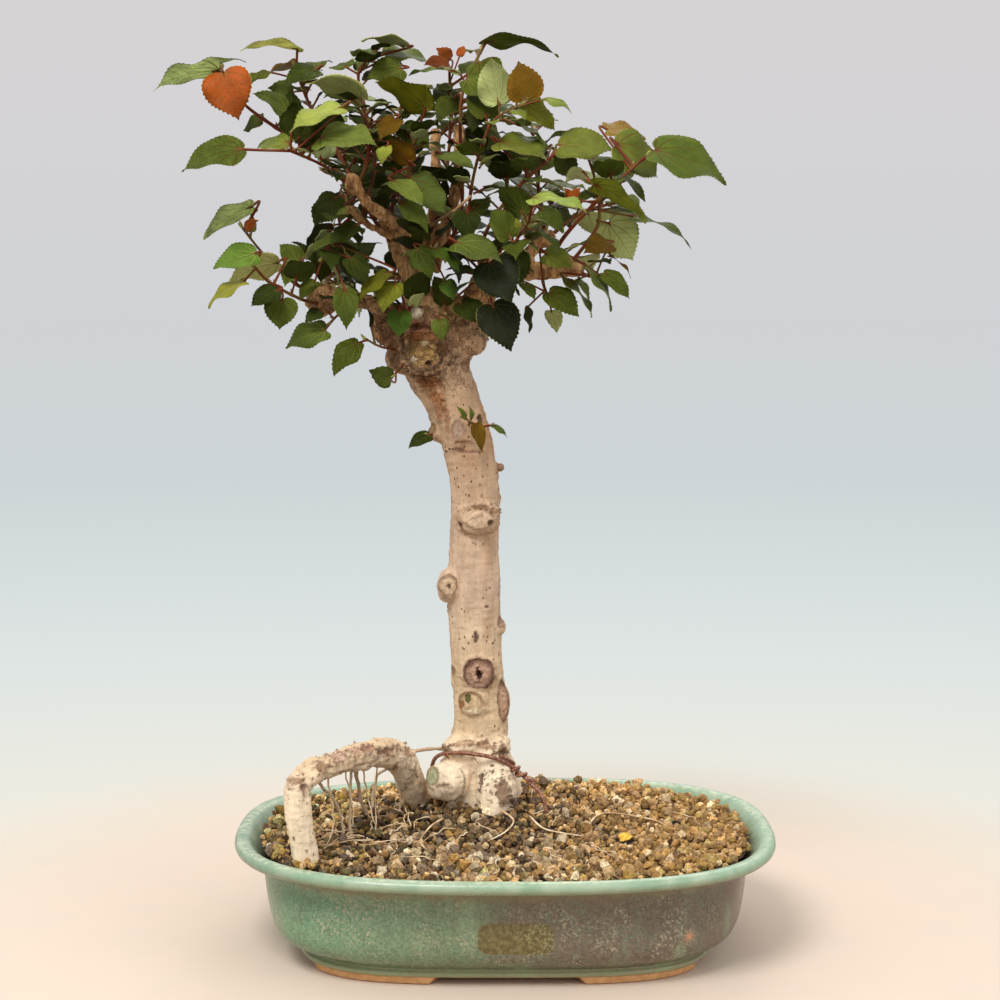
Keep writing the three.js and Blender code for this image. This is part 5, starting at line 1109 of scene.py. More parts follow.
# Scars and stains on the bark: centre, half width and half height, depth of the dent, height of the rim,
# colour inside, colour of the outline (each as 0 to 255), strength
BARK_MARKS = [
    ((-13.2, 16, 125.8), (6.9, 7.4), 1.5, 1.2, (190, 150, 126), (82, 48, 38), 0.95),
    ((-18.2, 15, 111), (5.8, 5.5), -0.5, 0.9, (212, 184, 142), (128, 88, 56), 0.8),
    ((-15.5, 14, 106.6), (6.5, 1.5), -0.8, 0.3, (230, 208, 172), (160, 122, 86), 0.6),
    ((-24.6, 17, 109.4), (1.8, 2.2), 0.3, 0.2, (146, 98, 56), None, 0.85),
    ((-20.2, 14, 112.8), (1.7, 2.1), 0.5, 0.2, (112, 108, 58), (58, 40, 24), 1),
    ((-0.2, 20, 111.3), (2.9, 10.5), 1, 0.8, (196, 156, 126), (88, 54, 40), 0.95),
    ((-28.1, 24, 125.4), (2.6, 2.6), 0.2, 0.5, (148, 110, 78), (84, 56, 36), 0.8),
    ((-14.4, 15, 143.8), (1.4, 3), 0.6, 0.2, (78, 54, 38), None, 0.9),
    ((-1.8, 24, 150.1), (2.2, 3), 0.4, 0.4, (150, 114, 90), (84, 54, 40), 0.8),
    ((-27.8, 18, 169.3), (4.4, 5.2), 0.8, 0.6, (206, 176, 140), (110, 74, 50), 0.8),
    ((-27.4, 17, 169), (1.2, 1.6), 0.8, 0, (70, 44, 30), None, 0.9),
    ((-1.5, 16, 83.9), (4, 4), 0.5, 0.1, (126, 90, 64), None, 0.6),
    ((-17.4, 7, 72.6), (1, 7.2), 2, 0.4, (104, 72, 50), None, 0.6),
    ((-34.6, 8, 75.8), (4.4, 4.2), 0.5, 0.7, (178, 184, 138), (96, 74, 50), 0.85),
    ((-36.1, 12, 81), (3, 2), 0.2, 0, (206, 160, 136), None, 0.6),
    ((-39.1, 4, 283.5), (8.5, 8.5), 0.9, 0.9, (158, 122, 66), (62, 40, 26), 0.8),
    ((-38.7, 2, 288.6), (2.8, 2.8), -0.9, 0.3, (196, 168, 128), (70, 46, 30), 0.9),
    ((-44.2, 3, 280.2), (1.8, 1.8), -0.5, 0.2, (214, 196, 164), (60, 40, 28), 0.9),
    ((-34.1, 2, 283.9), (2, 2), -0.6, 0.2, (176, 138, 84), (60, 38, 26), 0.9),
    ((-36.4, 3, 278.2), (1.6, 1.6), 1, 0.2, (52, 34, 24), None, 0.95),
    ((-42.3, 1, 302.3), (3.4, 3.4), 0.5, 0.5, (206, 190, 166), (140, 108, 76), 0.95),
    ((-42.4, 4, 309.8), (3.6, 3.4), 0.2, 0, (86, 58, 42), None, 0.7),
    ((-41.1, 6, 295.5), (5, 3.6), 0.2, 0, (146, 88, 58), None, 0.7),
    ((-37.4, 10, 269.8), (4.6, 3), 0.1, 0, (172, 112, 62), None, 0.6),
    ((-33.4, 12, 261), (4, 3), 0.1, 0, (176, 120, 70), None, 0.5),
    ((-54.3, 14, 281.1), (3.6, 6), 0.3, 0.3, (112, 82, 50), None, 0.7),
    ((-17.2, 16, 277), (3.6, 3.6), -0.4, 0.4, (150, 112, 80), (88, 58, 40), 0.7),
    ((-22.8, 13, 245.7), (3.4, 4.6), 0.3, 0.4, (176, 148, 126), (140, 108, 84), 0.75),
    ((-20, 13, 239.6), (4.6, 1.3), 0.5, 0.5, (132, 96, 68), None, 0.7),
    ((-10.2, 17, 250.8), (1.7, 3), 0.7, 0.3, (72, 46, 34), None, 0.9),
    ((-37.8, 20, 246.8), (3, 3), 0.3, 0.4, (132, 104, 66), (80, 56, 36), 0.8),
    ((-22.8, 14, 236), (3.4, 1.2), 0.5, 0.2, (96, 66, 46), None, 0.75),
    ((-12.7, 14, 202), (10.5, 6.6), -1, 0.6, (212, 182, 150), (176, 140, 106), 0.6),
    ((-7.8, 13, 200.9), (1.7, 1.5), 0.8, 0.5, (92, 62, 42), (130, 94, 66), 0.9),
    ((-22.9, 15, 198.8), (1.7, 1.7), 0.5, 0.6, (104, 70, 48), (150, 112, 82), 0.85),
    ((-14, 13, 193.6), (8, 0.8), 0.6, 0.4, (150, 114, 82), None, 0.6),
    ((-2.7, 24, 226.7), (1.8, 1.8), -0.9, 0.3, (150, 116, 88), (92, 62, 44), 0.8),
    ((-18, 13, 235), (9, 0.6), 0.5, 0.3, (134, 98, 70), None, 0.6),
    ((-36.2, 12, 266), (3.4, 6), 0.1, 0, (142, 96, 58), None, 0.7),
    ((-30, 13, 262), (1.6, 9), 0.1, 0, (158, 110, 70), None, 0.6),
    ((-97, -60, 64), (0.8, 1.1), 0.4, 0.2, (96, 66, 46), None, 0.8),
    ((-91, -60, 58), (0.9, 0.8), 0.4, 0.2, (96, 66, 46), None, 0.8),
    ((-39, 6, 291), (9, 2.4), 0.5, 0.4, (140, 86, 48), None, 0.8),
    ((-37.4, 8, 268), (6.5, 3.6), 0.2, 0, (140, 86, 48), None, 0.75),
    ((-34, 10, 256), (2.2, 9), 0.1, 0, (156, 98, 54), None, 0.6),
    ((-29, 12, 250), (1.6, 8), 0.1, 0, (150, 94, 52), None, 0.55),
]

# Torn and peeled bark with ragged edges, in the same form
TORN_MARKS = [
    ((-12.8, 15, 125.2), (2, 3.4), 1.8, 0, (52, 34, 30), None, 1),
    ((-11.2, 13, 208.6), (4.6, 1.6), 0.7, 0.8, (122, 86, 60), (196, 164, 132), 0.85),
    ((-6, 14, 206), (2, 3.2), 0.5, 0.6, (150, 112, 82), (110, 76, 54), 0.7),
    ((-46, 12, 288), (2.4, 8), 1, 0.8, (98, 64, 42), (150, 110, 76), 0.8),
    ((-40, 8, 271), (9, 2), 0.9, 0.8, (104, 68, 44), (158, 118, 84), 0.8),
    ((-31, 8, 286), (2.4, 7), 0.9, 0.8, (112, 76, 50), (158, 118, 84), 0.75),
    ((-40, 6, 296), (8, 1.6), 0.9, 0.8, (96, 60, 40), (150, 108, 74), 0.8),
    ((-56, 14, 290), (4, 7), 0.8, 0.8, (112, 76, 50), (160, 120, 86), 0.75),
    ((-24, 12, 296), (6, 2.4), 0.7, 0.7, (120, 84, 58), (166, 128, 94), 0.7),
    ((-20, 13, 91), (7, 1.6), -0.6, 0.6, (196, 158, 124), (96, 64, 44), 0.8),
    ((-9, 13, 90), (6, 1.5), -0.5, 0.6, (170, 130, 98), (92, 60, 42), 0.8),
    ((-28, 15, 88.4), (4, 2), -0.6, 0.5, (128, 92, 66), (78, 52, 36), 0.8),
    ((-1, 14, 87.6), (3, 3.4), -0.4, 0.4, (122, 88, 62), (74, 48, 34), 0.8),
    ((2, 18, 80), (2, 3.5), 0.5, 0.5, (176, 138, 106), (104, 72, 52), 0.6),
    ((-14, 5, 74), (1.2, 5), 1, 0.4, (86, 58, 42), None, 0.8),
    ((0.2, 2, 69.5), (3.8, 6.6), 0.8, 0.6, (138, 100, 74), (76, 50, 36), 0.85),
    ((-30, 2, 72), (4, 1.4), 0.4, 0.4, (150, 118, 90), (104, 74, 54), 0.6),
    ((-59.9, -10, 92.6), (9, 2), 0.8, 0.9, (132, 92, 68), (220, 192, 164), 0.8),
    ((-66, -18, 95.4), (6, 2.4), 0.6, 0.8, (176, 132, 110), (98, 64, 48), 0.85),
    ((-72, -26, 96), (5, 3), 0.5, 0.7, (196, 158, 134), (146, 106, 82), 0.75),
    ((-79, -37, 96), (6, 3.2), 0.4, 0.7, (202, 164, 142), (110, 76, 56), 0.85),
    ((-86, -48, 94), (4, 3), 0.5, 0.6, (160, 118, 92), (96, 64, 46), 0.75),
    ((-76, -36, 88.6), (7, 1.2), 0.6, 0.4, (122, 86, 62), None, 0.7),
    ((-95.3, -59, 91), (4.4, 1.9), 0.7, 0.6, (142, 104, 78), (210, 182, 152), 0.75),
    ((-91, -60, 87.5), (2, 3.4), 0.6, 0.5, (112, 78, 56), (200, 172, 142), 0.8),
    ((-50, 5, 88), (4, 2.2), 0.3, 0.5, (176, 134, 104), (110, 74, 52), 0.7),
    ((-54, 0, 84), (1.3, 3), 0.5, 0.3, (128, 92, 68), None, 0.7),
    ((-46, 10, 76), (2, 5), 0.4, 0.5, (156, 118, 90), (104, 72, 52), 0.6),
]


def hidden_marks(random):
    """Seeded scars round the sides and back, of the kinds that the front shows."""
    marks = []
    for _ in range(HIDDEN_SCARS):
        height = 100 + 190 * random()
        turn = math.pi * random()
        share = (height - TRUNK[0][2]) / (TRUNK[-1][2] - TRUNK[0][2])
        x, y, _, radius = next(p for p in (spline_at(TRUNK, 0.02 * i) for i in range(51)) if p[2] >= height)
        size = 1.2 + 3.6 * random() ** 2
        place = (x + radius * math.cos(turn), y + radius * math.sin(turn), height)
        inside = (168, 128, 100) if random() < 0.6 else (92, 62, 44)
        marks.append((place, (size, size * (0.8 + share)), 0.3 + 0.25 * size, 0.2 * size, inside,
                      (82, 52, 38), 0.85))
    return marks


def mark_bark(places, normals):
    """Moves the bark in and out at its scars, and returns their paint as colour and strength for each vertex."""
    push = np.zeros(len(places))
    paint = np.zeros((len(places), 4))
    rows = [(*mark, 0.1) for mark in BARK_MARKS + hidden_marks(seeded(505))] + [(*mark, 0.85) for mark in TORN_MARKS]
    for at, half, dent, rim, inside, outline, strength, torn in rows:
        offset = places - np.array(at, float)
        near = np.where(np.linalg.norm(offset, axis=1) < 2.2 * max(half) + 6)[0]
        if len(near) == 0:
            continue
        closest = near[np.argmin(np.linalg.norm(offset[near], axis=1))]
        outward = normals[near][np.linalg.norm(offset[near], axis=1) < max(3.0, 0.6 * max(half))].sum(0)
        outward = unit(outward if np.linalg.norm(outward) > 0.01 else normals[closest])
        tangent = unit(np.cross([0, 0, 1], outward))
        upward = np.cross(outward, tangent)
        local = places[near] - places[closest]
        ragged = np.array([noise.noise(Vector(p) * 0.4) + 0.6 * noise.noise(Vector(p) * 1.3) for p in places[near]])
        reach = np.hypot(offset[near] @ tangent / half[0], offset[near] @ upward / half[1]) * (1 + torn * ragged)
        depth = np.abs(local @ outward)
        shallow = 1 - ease(depth, 0.9 * max(half) + 1, 1.6 * max(half) + 3)
        facing_out = ease(normals[near] @ outward, 0.0, 0.35) * shallow
        push[near] += facing_out * (rim * np.exp(-((reach - 1.08) / 0.2) ** 2) - dent * (1 - ease(reach, 0.35, 1.0)))
        swirl = np.cos(13 * reach + 2 * ragged) * (1 - ease(reach, 0.8, 1.5)) * min(1, max(half) / 8)
        push[near] += 0.3 * facing_out * swirl
        share = facing_out * (1 - ease(reach, 0.88, 1.08)) * strength
        colour = np.tile(srgb(*inside), (len(near), 1)) * (1 + 0.16 * swirl)[:, None]
        if outline is not None:
            ring = np.exp(-((reach - 0.97) / 0.13) ** 2)
            colour += (np.array(srgb(*outline)) - colour) * ring[:, None]
            share = np.maximum(share, facing_out * ring * strength)
        old = paint[near]
        kept = old[:, 3] * (1 - share)
        total = np.maximum(kept + share, 1e-6)
        paint[near, :3] = (old[:, :3] * kept[:, None] + colour * share[:, None]) / total[:, None]
        paint[near, 3] = kept + share
    return push, paint


def build_tree(sizes):
    """Trunk, roots, burls and branches as one grown skin, with scars, folds and thin roots."""
    bm = bmesh.new()
    bm.from_mesh(tube_mesh([smooth_path(TRUNK, 4)] + [smooth_path(path, 3) for path in LIMBS.values()], 5))
    for middle, halves in KNOBS + SWELLINGS:
        at = Vector(middle)
        for vert in bmesh.ops.create_icosphere(bm, subdivisions=3, radius=1)["verts"]:
            lump = 1 + 0.12 * noise.noise(vert.co * 1.7 + at)
            vert.co = Vector([at[k] + vert.co[k] * halves[k] * lump for k in range(3)])

    def remesh(holder):
        skin = holder.modifiers.new("skin", "REMESH")
        skin.mode = "VOXEL"
        skin.voxel_size = sizes.voxel
        relax = holder.modifiers.new("relax", "SMOOTH")
        relax.factor = 0.6
        relax.iterations = 6

    mesh = applied(mesh_of(bm, "tree_core"), "tree_core", remesh)
    places, normals = coordinates(mesh), vectors(mesh.vertices, "normal")
    push, paint = mark_bark(places, normals)
    relief = np.array([bark_relief(x, y, z) for x, y, z in places])
    places += normals * (push + sizes.relief * relief)[:, None]
    mesh.vertices.foreach_set("co", places.ravel())
    bm = bmesh.new()
    bm.from_mesh(mesh)
    grown = len(bm.verts)
    thin = [smooth_path(path, 2) for path in THIN_LIMBS.values()]
    for path in thin:
        for i, point in enumerate(path):
            wobble = Vector((i * 0.4, path[0][0], 3))
            point[0] += 0.9 * noise.noise(wobble)
            point[1] += 0.9 * noise.noise(wobble + Vector((0, 9, 0)))
            point[3] *= 0.72 + 0.25 * noise.noise(wobble * 2)
    bm.from_mesh(tube_mesh(thin, 3))
    mesh = mesh_of(bm, "tree_bark")
    twiggy = np.tile([*srgb(164, 130, 96), 0.6], (len(mesh.vertices) - grown, 1))
    add_values(mesh, "bark_paint", "FLOAT_COLOR", "color", np.vstack([paint, twiggy]))
    return place_piece("bark", mesh, [bark_surface(sizes)], SLOTS["tree"], "tree")


def bark_relief(x, y, z):
    """Height of the bark at a place: long folds at the foot, rings along the trunk, gnarled folds in the crown."""
    flare = max(0.0, 1 - z / 110)
    gnarled = min(1.0, max(0.0, (z - 262) / 22))

    def lumps(wide, high, shift=(0, 0, 0)):
        return noise.noise(Vector((x / wide + shift[0], y / wide + shift[1], z / high + shift[2])))

    warp = 3 * lumps(11, 11, (0, 0, 7))
    fold = 1 - abs(lumps(5.2, 6.4, (warp, 0, 0)) * 2.4)
    return (
        (0.85 - 0.3 * gnarled) * lumps(9, 15)
        + (0.4 + 0.8 * flare) * lumps(3.6, 17, (0, 0, 4))
        + 0.28 * lumps(7, 1.8, (9, 0, 0))
        + 0.18 * lumps(1.7, 1.7)
        + gnarled * (lumps(3.2, 3.2) - 1.7 * max(0.0, fold - 0.7))
        - 1.1 * max(0.0, lumps(4.2, 5, (0, 30, 0)) - 0.42)
        + 1.3 * math.exp(-((z - 89) / 4.5) ** 2) * lumps(7, 2.2)
    )


def bark_surface(look):
    """Smooth bark, cream at the roots and tan under the crown, with brown pores, stains and knobby dark branches."""
    bark = Surface("sea_hibiscus_bark")
    z = bark.axes()[2]
    upright = bark.stretched(1, 1, 0.3)
    cloud = bark.noise(0.06, 5, upright, 0.6)
    level = z + (cloud - 0.5) * 120
    bark.colour = bark.blend(level.span(34, 292), look.bark_cream, look.bark_beige, look.bark_tan)
    bark.coat(z.span(84, 98) * z.span(170, 120) * 0.6, (198, 166, 122))
    bark.shade(bark.noise(0.22, 5, upright, 0.65).span(0.32, 0.68, 0.84, 1.1))
    bark.coat(bark.noise(0.045, 4, upright, 0.65).span(0.52, 0.7) * z.span(90, 260, 0.25, 0.65), (164, 118, 80))
    bark.coat(bark.noise(0.4, 4, bark.stretched(1, 1, 0.14), 0.6).span(0.56, 0.74) * 0.3, (150, 112, 78))
    branch = bark.blend(bark.noise(0.3, 5, upright, 0.65).span(0.3, 0.66), look.branch_dark, look.branch_brown,
                        look.branch_light)
    bark.coat((z + (bark.noise(0.05, 3) - 0.5) * 50).span(272, 318), branch)
    folds = abs(bark.noise(0.13, 3, bark.warped(0.25, 6)) - 0.5)
    gnarl = folds.span(0, 0.06, 1, 0) * (z.span(258, 274) * z.span(322, 306))
    bark.coat(gnarl * 0.5, (112, 76, 50))
    crease = bark.noise(0.5, 3, bark.stretched(0.5, 0.5, 2.4), 0.6).span(0.6, 0.74) * z.span(110, 170, 1, 0.45)
    bark.coat(crease * 0.4, (128, 92, 62))
    thick = (bark.noise(0.07, 2) + z.span(180, 280, 0, 0.14)).span(0.36, 0.54)
    dots = bark.cells(0.34, bark.stretched(1, 1, 0.6)).span(0.09, 0.18, 1, 0) * thick
    lens = (bark.cells(0.085, bark.stretched(0.75, 0.75, 1.3)).span(0.05, 0.1, 1, 0)
            * bark.noise(0.05, 2, bark.stretched(1, 1, 0.5)).span(0.46, 0.52))
    specks = bark.cells(1.1).span(0.06, 0.2, 1, 0) * bark.noise(0.2, 2).span(0.5, 0.62)
    dark = dots.math("MAXIMUM", lens).math("MAXIMUM", specks * 0.7)
    bark.coat(dark * 0.78, (72, 44, 28))
    paint = bark.value("bark_paint", "Color")
    painted = bark.mix(bark.noise(0.8, 5, None, 0.7).span(0.4, 0.7, 0, 0.6), paint, (58, 36, 26))
    bark.coat(paint.other("Alpha"), painted)
    fine = bark.noise(1.6, 4, None, 0.7)
    bark.shade(fine.span(0.3, 0.7, 0.9, 1.08))
    return bark.finish(cloud.span(0.3, 0.7, 0.85, 0.68), 0.15, (bark.noise(0.9, 5, upright, 0.62), 0.3),
                       (crease, -0.3), (gnarl, -0.8), (dark, -0.35), (fine, 0.12))

# Pot

def oval_point(angle, half_length, half_depth, height):
    """Point on the pot's oval, which is a little squarer towards the base."""
    power = 2 / (ROUNDNESS + BASE_SQUARENESS * max(0, 1 - height / RIM_SAG_START))
    c, s = math.cos(angle), math.sin(angle)
    return (half_length * math.copysign(abs(c) ** power, c), half_depth * math.copysign(abs(s) ** power, s))


def oval_halves(inset, height):
    """Half length and half depth of the pot at an inset, which grows along the length towards the base."""
    low = float(ease(height, RIM_SAG_START, FLOOR_TOP))
    return tuple(half - inset * (1 + low * (scale - 1))
                 for half, scale in zip((HALF_LENGTH, HALF_DEPTH), BASE_INSET_SCALE))


def rim_sag(angle, height):
    reach = max(0, (height - RIM_SAG_START) / (RIM_TOP - RIM_SAG_START))
    return reach * (0.5 * math.sin(2 * angle + 0.6) + 0.35 * math.sin(3 * angle - 0.4))


def press_to_oval(vert):
    """Carries a point of the round spin to the pot's oval."""
    reach = math.hypot(vert.co.x, vert.co.y)
    if reach < 0.001:
        return
    angle = math.atan2(vert.co.y, vert.co.x)
    inset = min(HALF_LENGTH - reach, DEEPEST_INSET)
    along, deep = oval_halves(inset, vert.co.z)
    scale = reach / (HALF_LENGTH - inset)
    x, y = oval_point(angle, along * scale, deep * scale, vert.co.z)
    vert.co = (x, y, vert.co.z + rim_sag(angle, vert.co.z))


def pot_shell():
    bm = bmesh.new()
    profile = [(HALF_LENGTH, BASE_BOTTOM)] + POT_PROFILE + [(HALF_LENGTH, FLOOR_TOP)]
    line = [bm.verts.new((HALF_LENGTH - inset, 0, height)) for inset, height in profile]
    edges = [bm.edges.new(pair) for pair in zip(line, line[1:])]
    bmesh.ops.spin(bm, geom=line + edges, axis=(0, 0, 1), cent=(0, 0, 0), steps=SPIN_STEPS, angle=2 * math.pi,
                   use_merge=True)
    bmesh.ops.remove_doubles(bm, verts=bm.verts, dist=0.001)
    bmesh.ops.recalc_face_normals(bm, faces=bm.faces)
    for vert in bm.verts:
        press_to_oval(vert)
    return bm


def add_foot(bm, start, end):
    """A low bracket foot that follows the oval, battered inward and with softened edges."""
    foot = bmesh.new()
    bmesh.ops.create_cube(foot, size=1)
    for k in range(1, 16):
        geom = foot.verts[:] + foot.edges[:] + foot.faces[:]
        bmesh.ops.bisect_plane(foot, geom=geom, plane_co=(k / 16 - 0.5, 0, 0), plane_no=(1, 0, 0), dist=1e-4)
    for vert in foot.verts:
        low = vert.co.z < 0
        lead = vert.co.x * (end - start - (FOOT_TAPER if low else 0)) + (start + end) / 2
        inset = FOOT_INSETS[0] + (FOOT_BATTER if low else 0) if vert.co.y < 0 else FOOT_INSETS[1]
        x, y = oval_point(math.radians(lead), *oval_halves(inset, BASE_BOTTOM), BASE_BOTTOM)
        vert.co = (x, y, 0 if low else BASE_BOTTOM + FOOT_SINK)
    bmesh.ops.recalc_face_normals(foot, faces=foot.faces)
    sharp = [edge for edge in foot.edges if len(edge.link_faces) == 2 and edge.calc_face_angle() > 0.9]
    bmesh.ops.bevel(foot, geom=sharp, offset=0.6, segments=3, profile=0.5, affect="EDGES", material=-1)
    bm.from_mesh(mesh_of(foot, "foot"))


def build_pot(sizes):
    """Glazed oval pot with a rolled rim, a base band, bracket feet and drain holes."""
    bm = bmesh.new()
    for side in (-1, 1):
        made = bmesh.ops.create_cone(bm, cap_ends=True, segments=48, radius1=DRAIN_HOLE_RADIUS,
                                     radius2=DRAIN_HOLE_RADIUS, depth=4 * FLOOR_TOP)["verts"]
        bmesh.ops.translate(bm, vec=(side * DRAIN_HOLE_X, 0, FLOOR_TOP / 2), verts=made)
    punch = linked("drain_punch", mesh_of(bm, "drain_punch"))

    def pierce(holder):
        holes = holder.modifiers.new("holes", "BOOLEAN")
        holes.operation = "DIFFERENCE"
        holes.solver = "EXACT"
        holes.object = punch

    mesh = applied(mesh_of(pot_shell(), "pot_shell"), "pot_shell", pierce)
    bpy.data.objects.remove(punch)
    bm = bmesh.new()
    bm.from_mesh(mesh)
    for start, end in FEET:
        add_foot(bm, start, end)
    return place_piece("glazed_pot", mesh_of(bm, "glazed_pot"), [glaze_surface(sizes)], SLOTS["pot"], "pot")


def glaze_surface(look):
    """Mottled glaze from green at the left to grey brown at the right, pale on the rim, bare on the feet, with
    painted shade at the right end, under the rim and toward the base, and a painted highlight along the rim's top.
    """
    glaze = Surface("mottled_glaze")
    x, y, z = glaze.axes()
    running = glaze.stretched(1, 1, 0.4)
    cloud = glaze.noise(0.018, 5, running, 0.6)
    patch = glaze.noise(0.05, 5, running, 0.62)
    turn = x + (cloud - 0.5) * 170
    glaze.colour = glaze.blend(turn.span(-100, 40), look.glaze_left, look.glaze_middle, look.glaze_right)
    glaze.coat(patch.span(0.52, 0.7) * 0.75, look.glaze_patch)
    glaze.coat(patch.span(0.48, 0.3) * 0.5, (94, 88, 68))
    crystal = glaze.axes(glaze.cells(1.15, glaze.warped(1.2, 1.2), output="Color"))
    glaze.shade(crystal[0].span(0, 1, 0.8, 1.2))
    beige = crystal[1].span(0.72, 0.86) * glaze.noise(0.06, 4).span(0.42, 0.64) * x.span(60, 110, 1, 0.3)
    glaze.coat(beige * 0.6, (176, 166, 136))
    glaze.coat(crystal[2].span(0.62, 0.8) * glaze.noise(0.05, 4).span(0.4, 0.6) * 0.4, (98, 138, 106))
    speck = glaze.noise(1.5, 3, None, 0.7).span(0.3, 0.7, 0.86, 1.12)
    glaze.shade(speck)
    wobble = (glaze.noise(0.12, 3) - 0.5) * 3
    level = z + wobble
    # Below the rim the glaze turns brown with dark blotches, partly its own colour and partly painted shade under the
    # rim's overhang.
    glaze.coat(level.span(40, 44) * glaze.noise(0.12, 4).span(0.3, 0.6, 0.45, 1) * 0.75, (128, 116, 86))
    # Darker and browner toward the right end: partly the glaze's own grey brown, partly painted shade on the side
    # away from the key light.
    glaze.coat(x.span(78, 118) * 0.45, (104, 84, 66))
    rim = glaze.mix(glaze.noise(0.08, 4).span(0.35, 0.65), look.rim, (132, 160, 130))
    rim = glaze.mix(1, rim, speck.span(0.86, 1.12, 0.95, 1.04) * x.span(-132, -80, 0.78, 1), "MULTIPLY")
    # The rim darkens toward its lower edge: partly a brownish line in the glaze, partly painted shade where the
    # rolled rim turns down.
    rim = glaze.mix(z.span(51, 48.2) * 0.62, rim, (126, 120, 88))
    glaze.coat((z + wobble * 0.4).span(46.9, 47.9) * 0.95, rim)
    # Painted highlight: a pale streak along the top of the rim.
    glaze.coat(z.span(53.2, 53.8) * glaze.noise(0.3, 4).span(0.42, 0.66) * 0.45, (208, 208, 172))
    # Painted shade: the body darkens toward the base, where it curves in under itself.
    glaze.coat(level.span(13, 8) * 0.4, (104, 108, 74))
    glaze.coat(z.span(7.6, 6.6) * 0.55, (158, 160, 118))
    ragged = (glaze.noise(0.4, 4) - 0.5) * 1.6
    block = (abs(x + ragged - 4.5) / 17) ** 7 + (abs(z + ragged - 24.6) / 7.2) ** 4
    olive = glaze.mix(glaze.noise(0.5, 4).span(0.36, 0.66), (88, 74, 34), (118, 104, 56))
    olive = glaze.mix(crystal[1].span(0.7, 0.86) * x.span(2, 12, 0.2, 0.7), olive, (154, 148, 104))
    glaze.coat(block.span(1.15, 0.85) * y.span(-60, -66) * 0.9, glaze.mix(1, olive, speck, "MULTIPLY"))
    star_x, star_z = x - 83.6, z - 21.9
    star = (star_x ** 2 + star_z ** 2).math("SQRT")
    spokes = star_z.math("ARCTAN2", star_x).math("PINGPONG", 0.35)
    fleck = star.span(1.2, 4.6, 1, 0) * (spokes * star).span(0.15, 0.4, 1, 0)
    glaze.coat(fleck * y.span(-40, -50) * 0.75, (196, 132, 98))
    bare = (z + wobble * 0.3).span(3.9, 3.3)
    glaze.coat(bare, glaze.mix(glaze.noise(0.3, 4).span(0.35, 0.65), look.clay, (186, 138, 88)))
    return glaze.finish(patch.span(0.3, 0.7, 0.2, 0.34) + bare * 0.5, 0.5, (cloud, 1.2),
                        (glaze.noise(0.35, 4), 0.14), (crystal[0], 0.05))

# Soil

def soil_tree():
    """The CAD soil surface in millimetres, to lay grains on."""
    bm = bmesh.new()
    bm.from_mesh(frame["nodes"]["soil"].data)
    bmesh.ops.transform(bm, matrix=TO_FRAME.inverted(), verts=bm.verts)
    made = BVHTree.FromBMesh(bm)
    bm.free()
    return made


def soil_under(ground, x, y):
    """Where a drop from above meets the soil, or None."""
    return ground.ray_cast(Vector((x, y, DROP_HEIGHT)), Vector((0, 0, -1)))[0]


def inside_oval(x, y, inset):
    a, b = HALF_LENGTH - inset, HALF_DEPTH - inset
    return (abs(x) / a) ** ROUNDNESS + (abs(y) / b) ** ROUNDNESS < 1


FALLEN_LEAF = tuple((TO_FRAME.inverted() @ ((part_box("fallen_leaf")[0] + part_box("fallen_leaf")[1]) / 2)).xy)
GRAIN_TONES = [
    (178, 140, 88), (192, 154, 100), (160, 122, 74), (204, 170, 120), (176, 136, 78), (134, 98, 60), (210, 182, 136),
    (106, 74, 44), (168, 132, 80), (78, 52, 32), (228, 210, 176), (152, 134, 84), (194, 156, 112), (138, 112, 84),
]
STONE_TONES = [
    (206, 182, 142), (182, 154, 116), (224, 206, 174), (160, 132, 98), (196, 166, 124), (128, 108, 88),
    (172, 134, 74),
]


def patch_at(x, y, middle_x, middle_y, wide, deep):
    """Share of a soft round patch of the soil at a place."""
    return math.exp(-((x - middle_x) / wide) ** 2 - ((y - middle_y) / deep) ** 2)


def grain_shape(kind):
    """Unit grain: a rounded block for a stone, or a crumb with twenty faces."""
    bm = bmesh.new()
    if kind == "stone":
        bmesh.ops.create_cube(bm, size=1)
        bmesh.ops.subdivide_edges(bm, edges=bm.edges[:], cuts=1, use_grid_fill=True, smooth=0.8)
    else:
        bmesh.ops.create_icosphere(bm, subdivisions=1, radius=1)
    mesh = mesh_of(bm, "grain_" + kind)
    base = coordinates(mesh)
    return mesh, base / np.linalg.norm(base, axis=1).max()


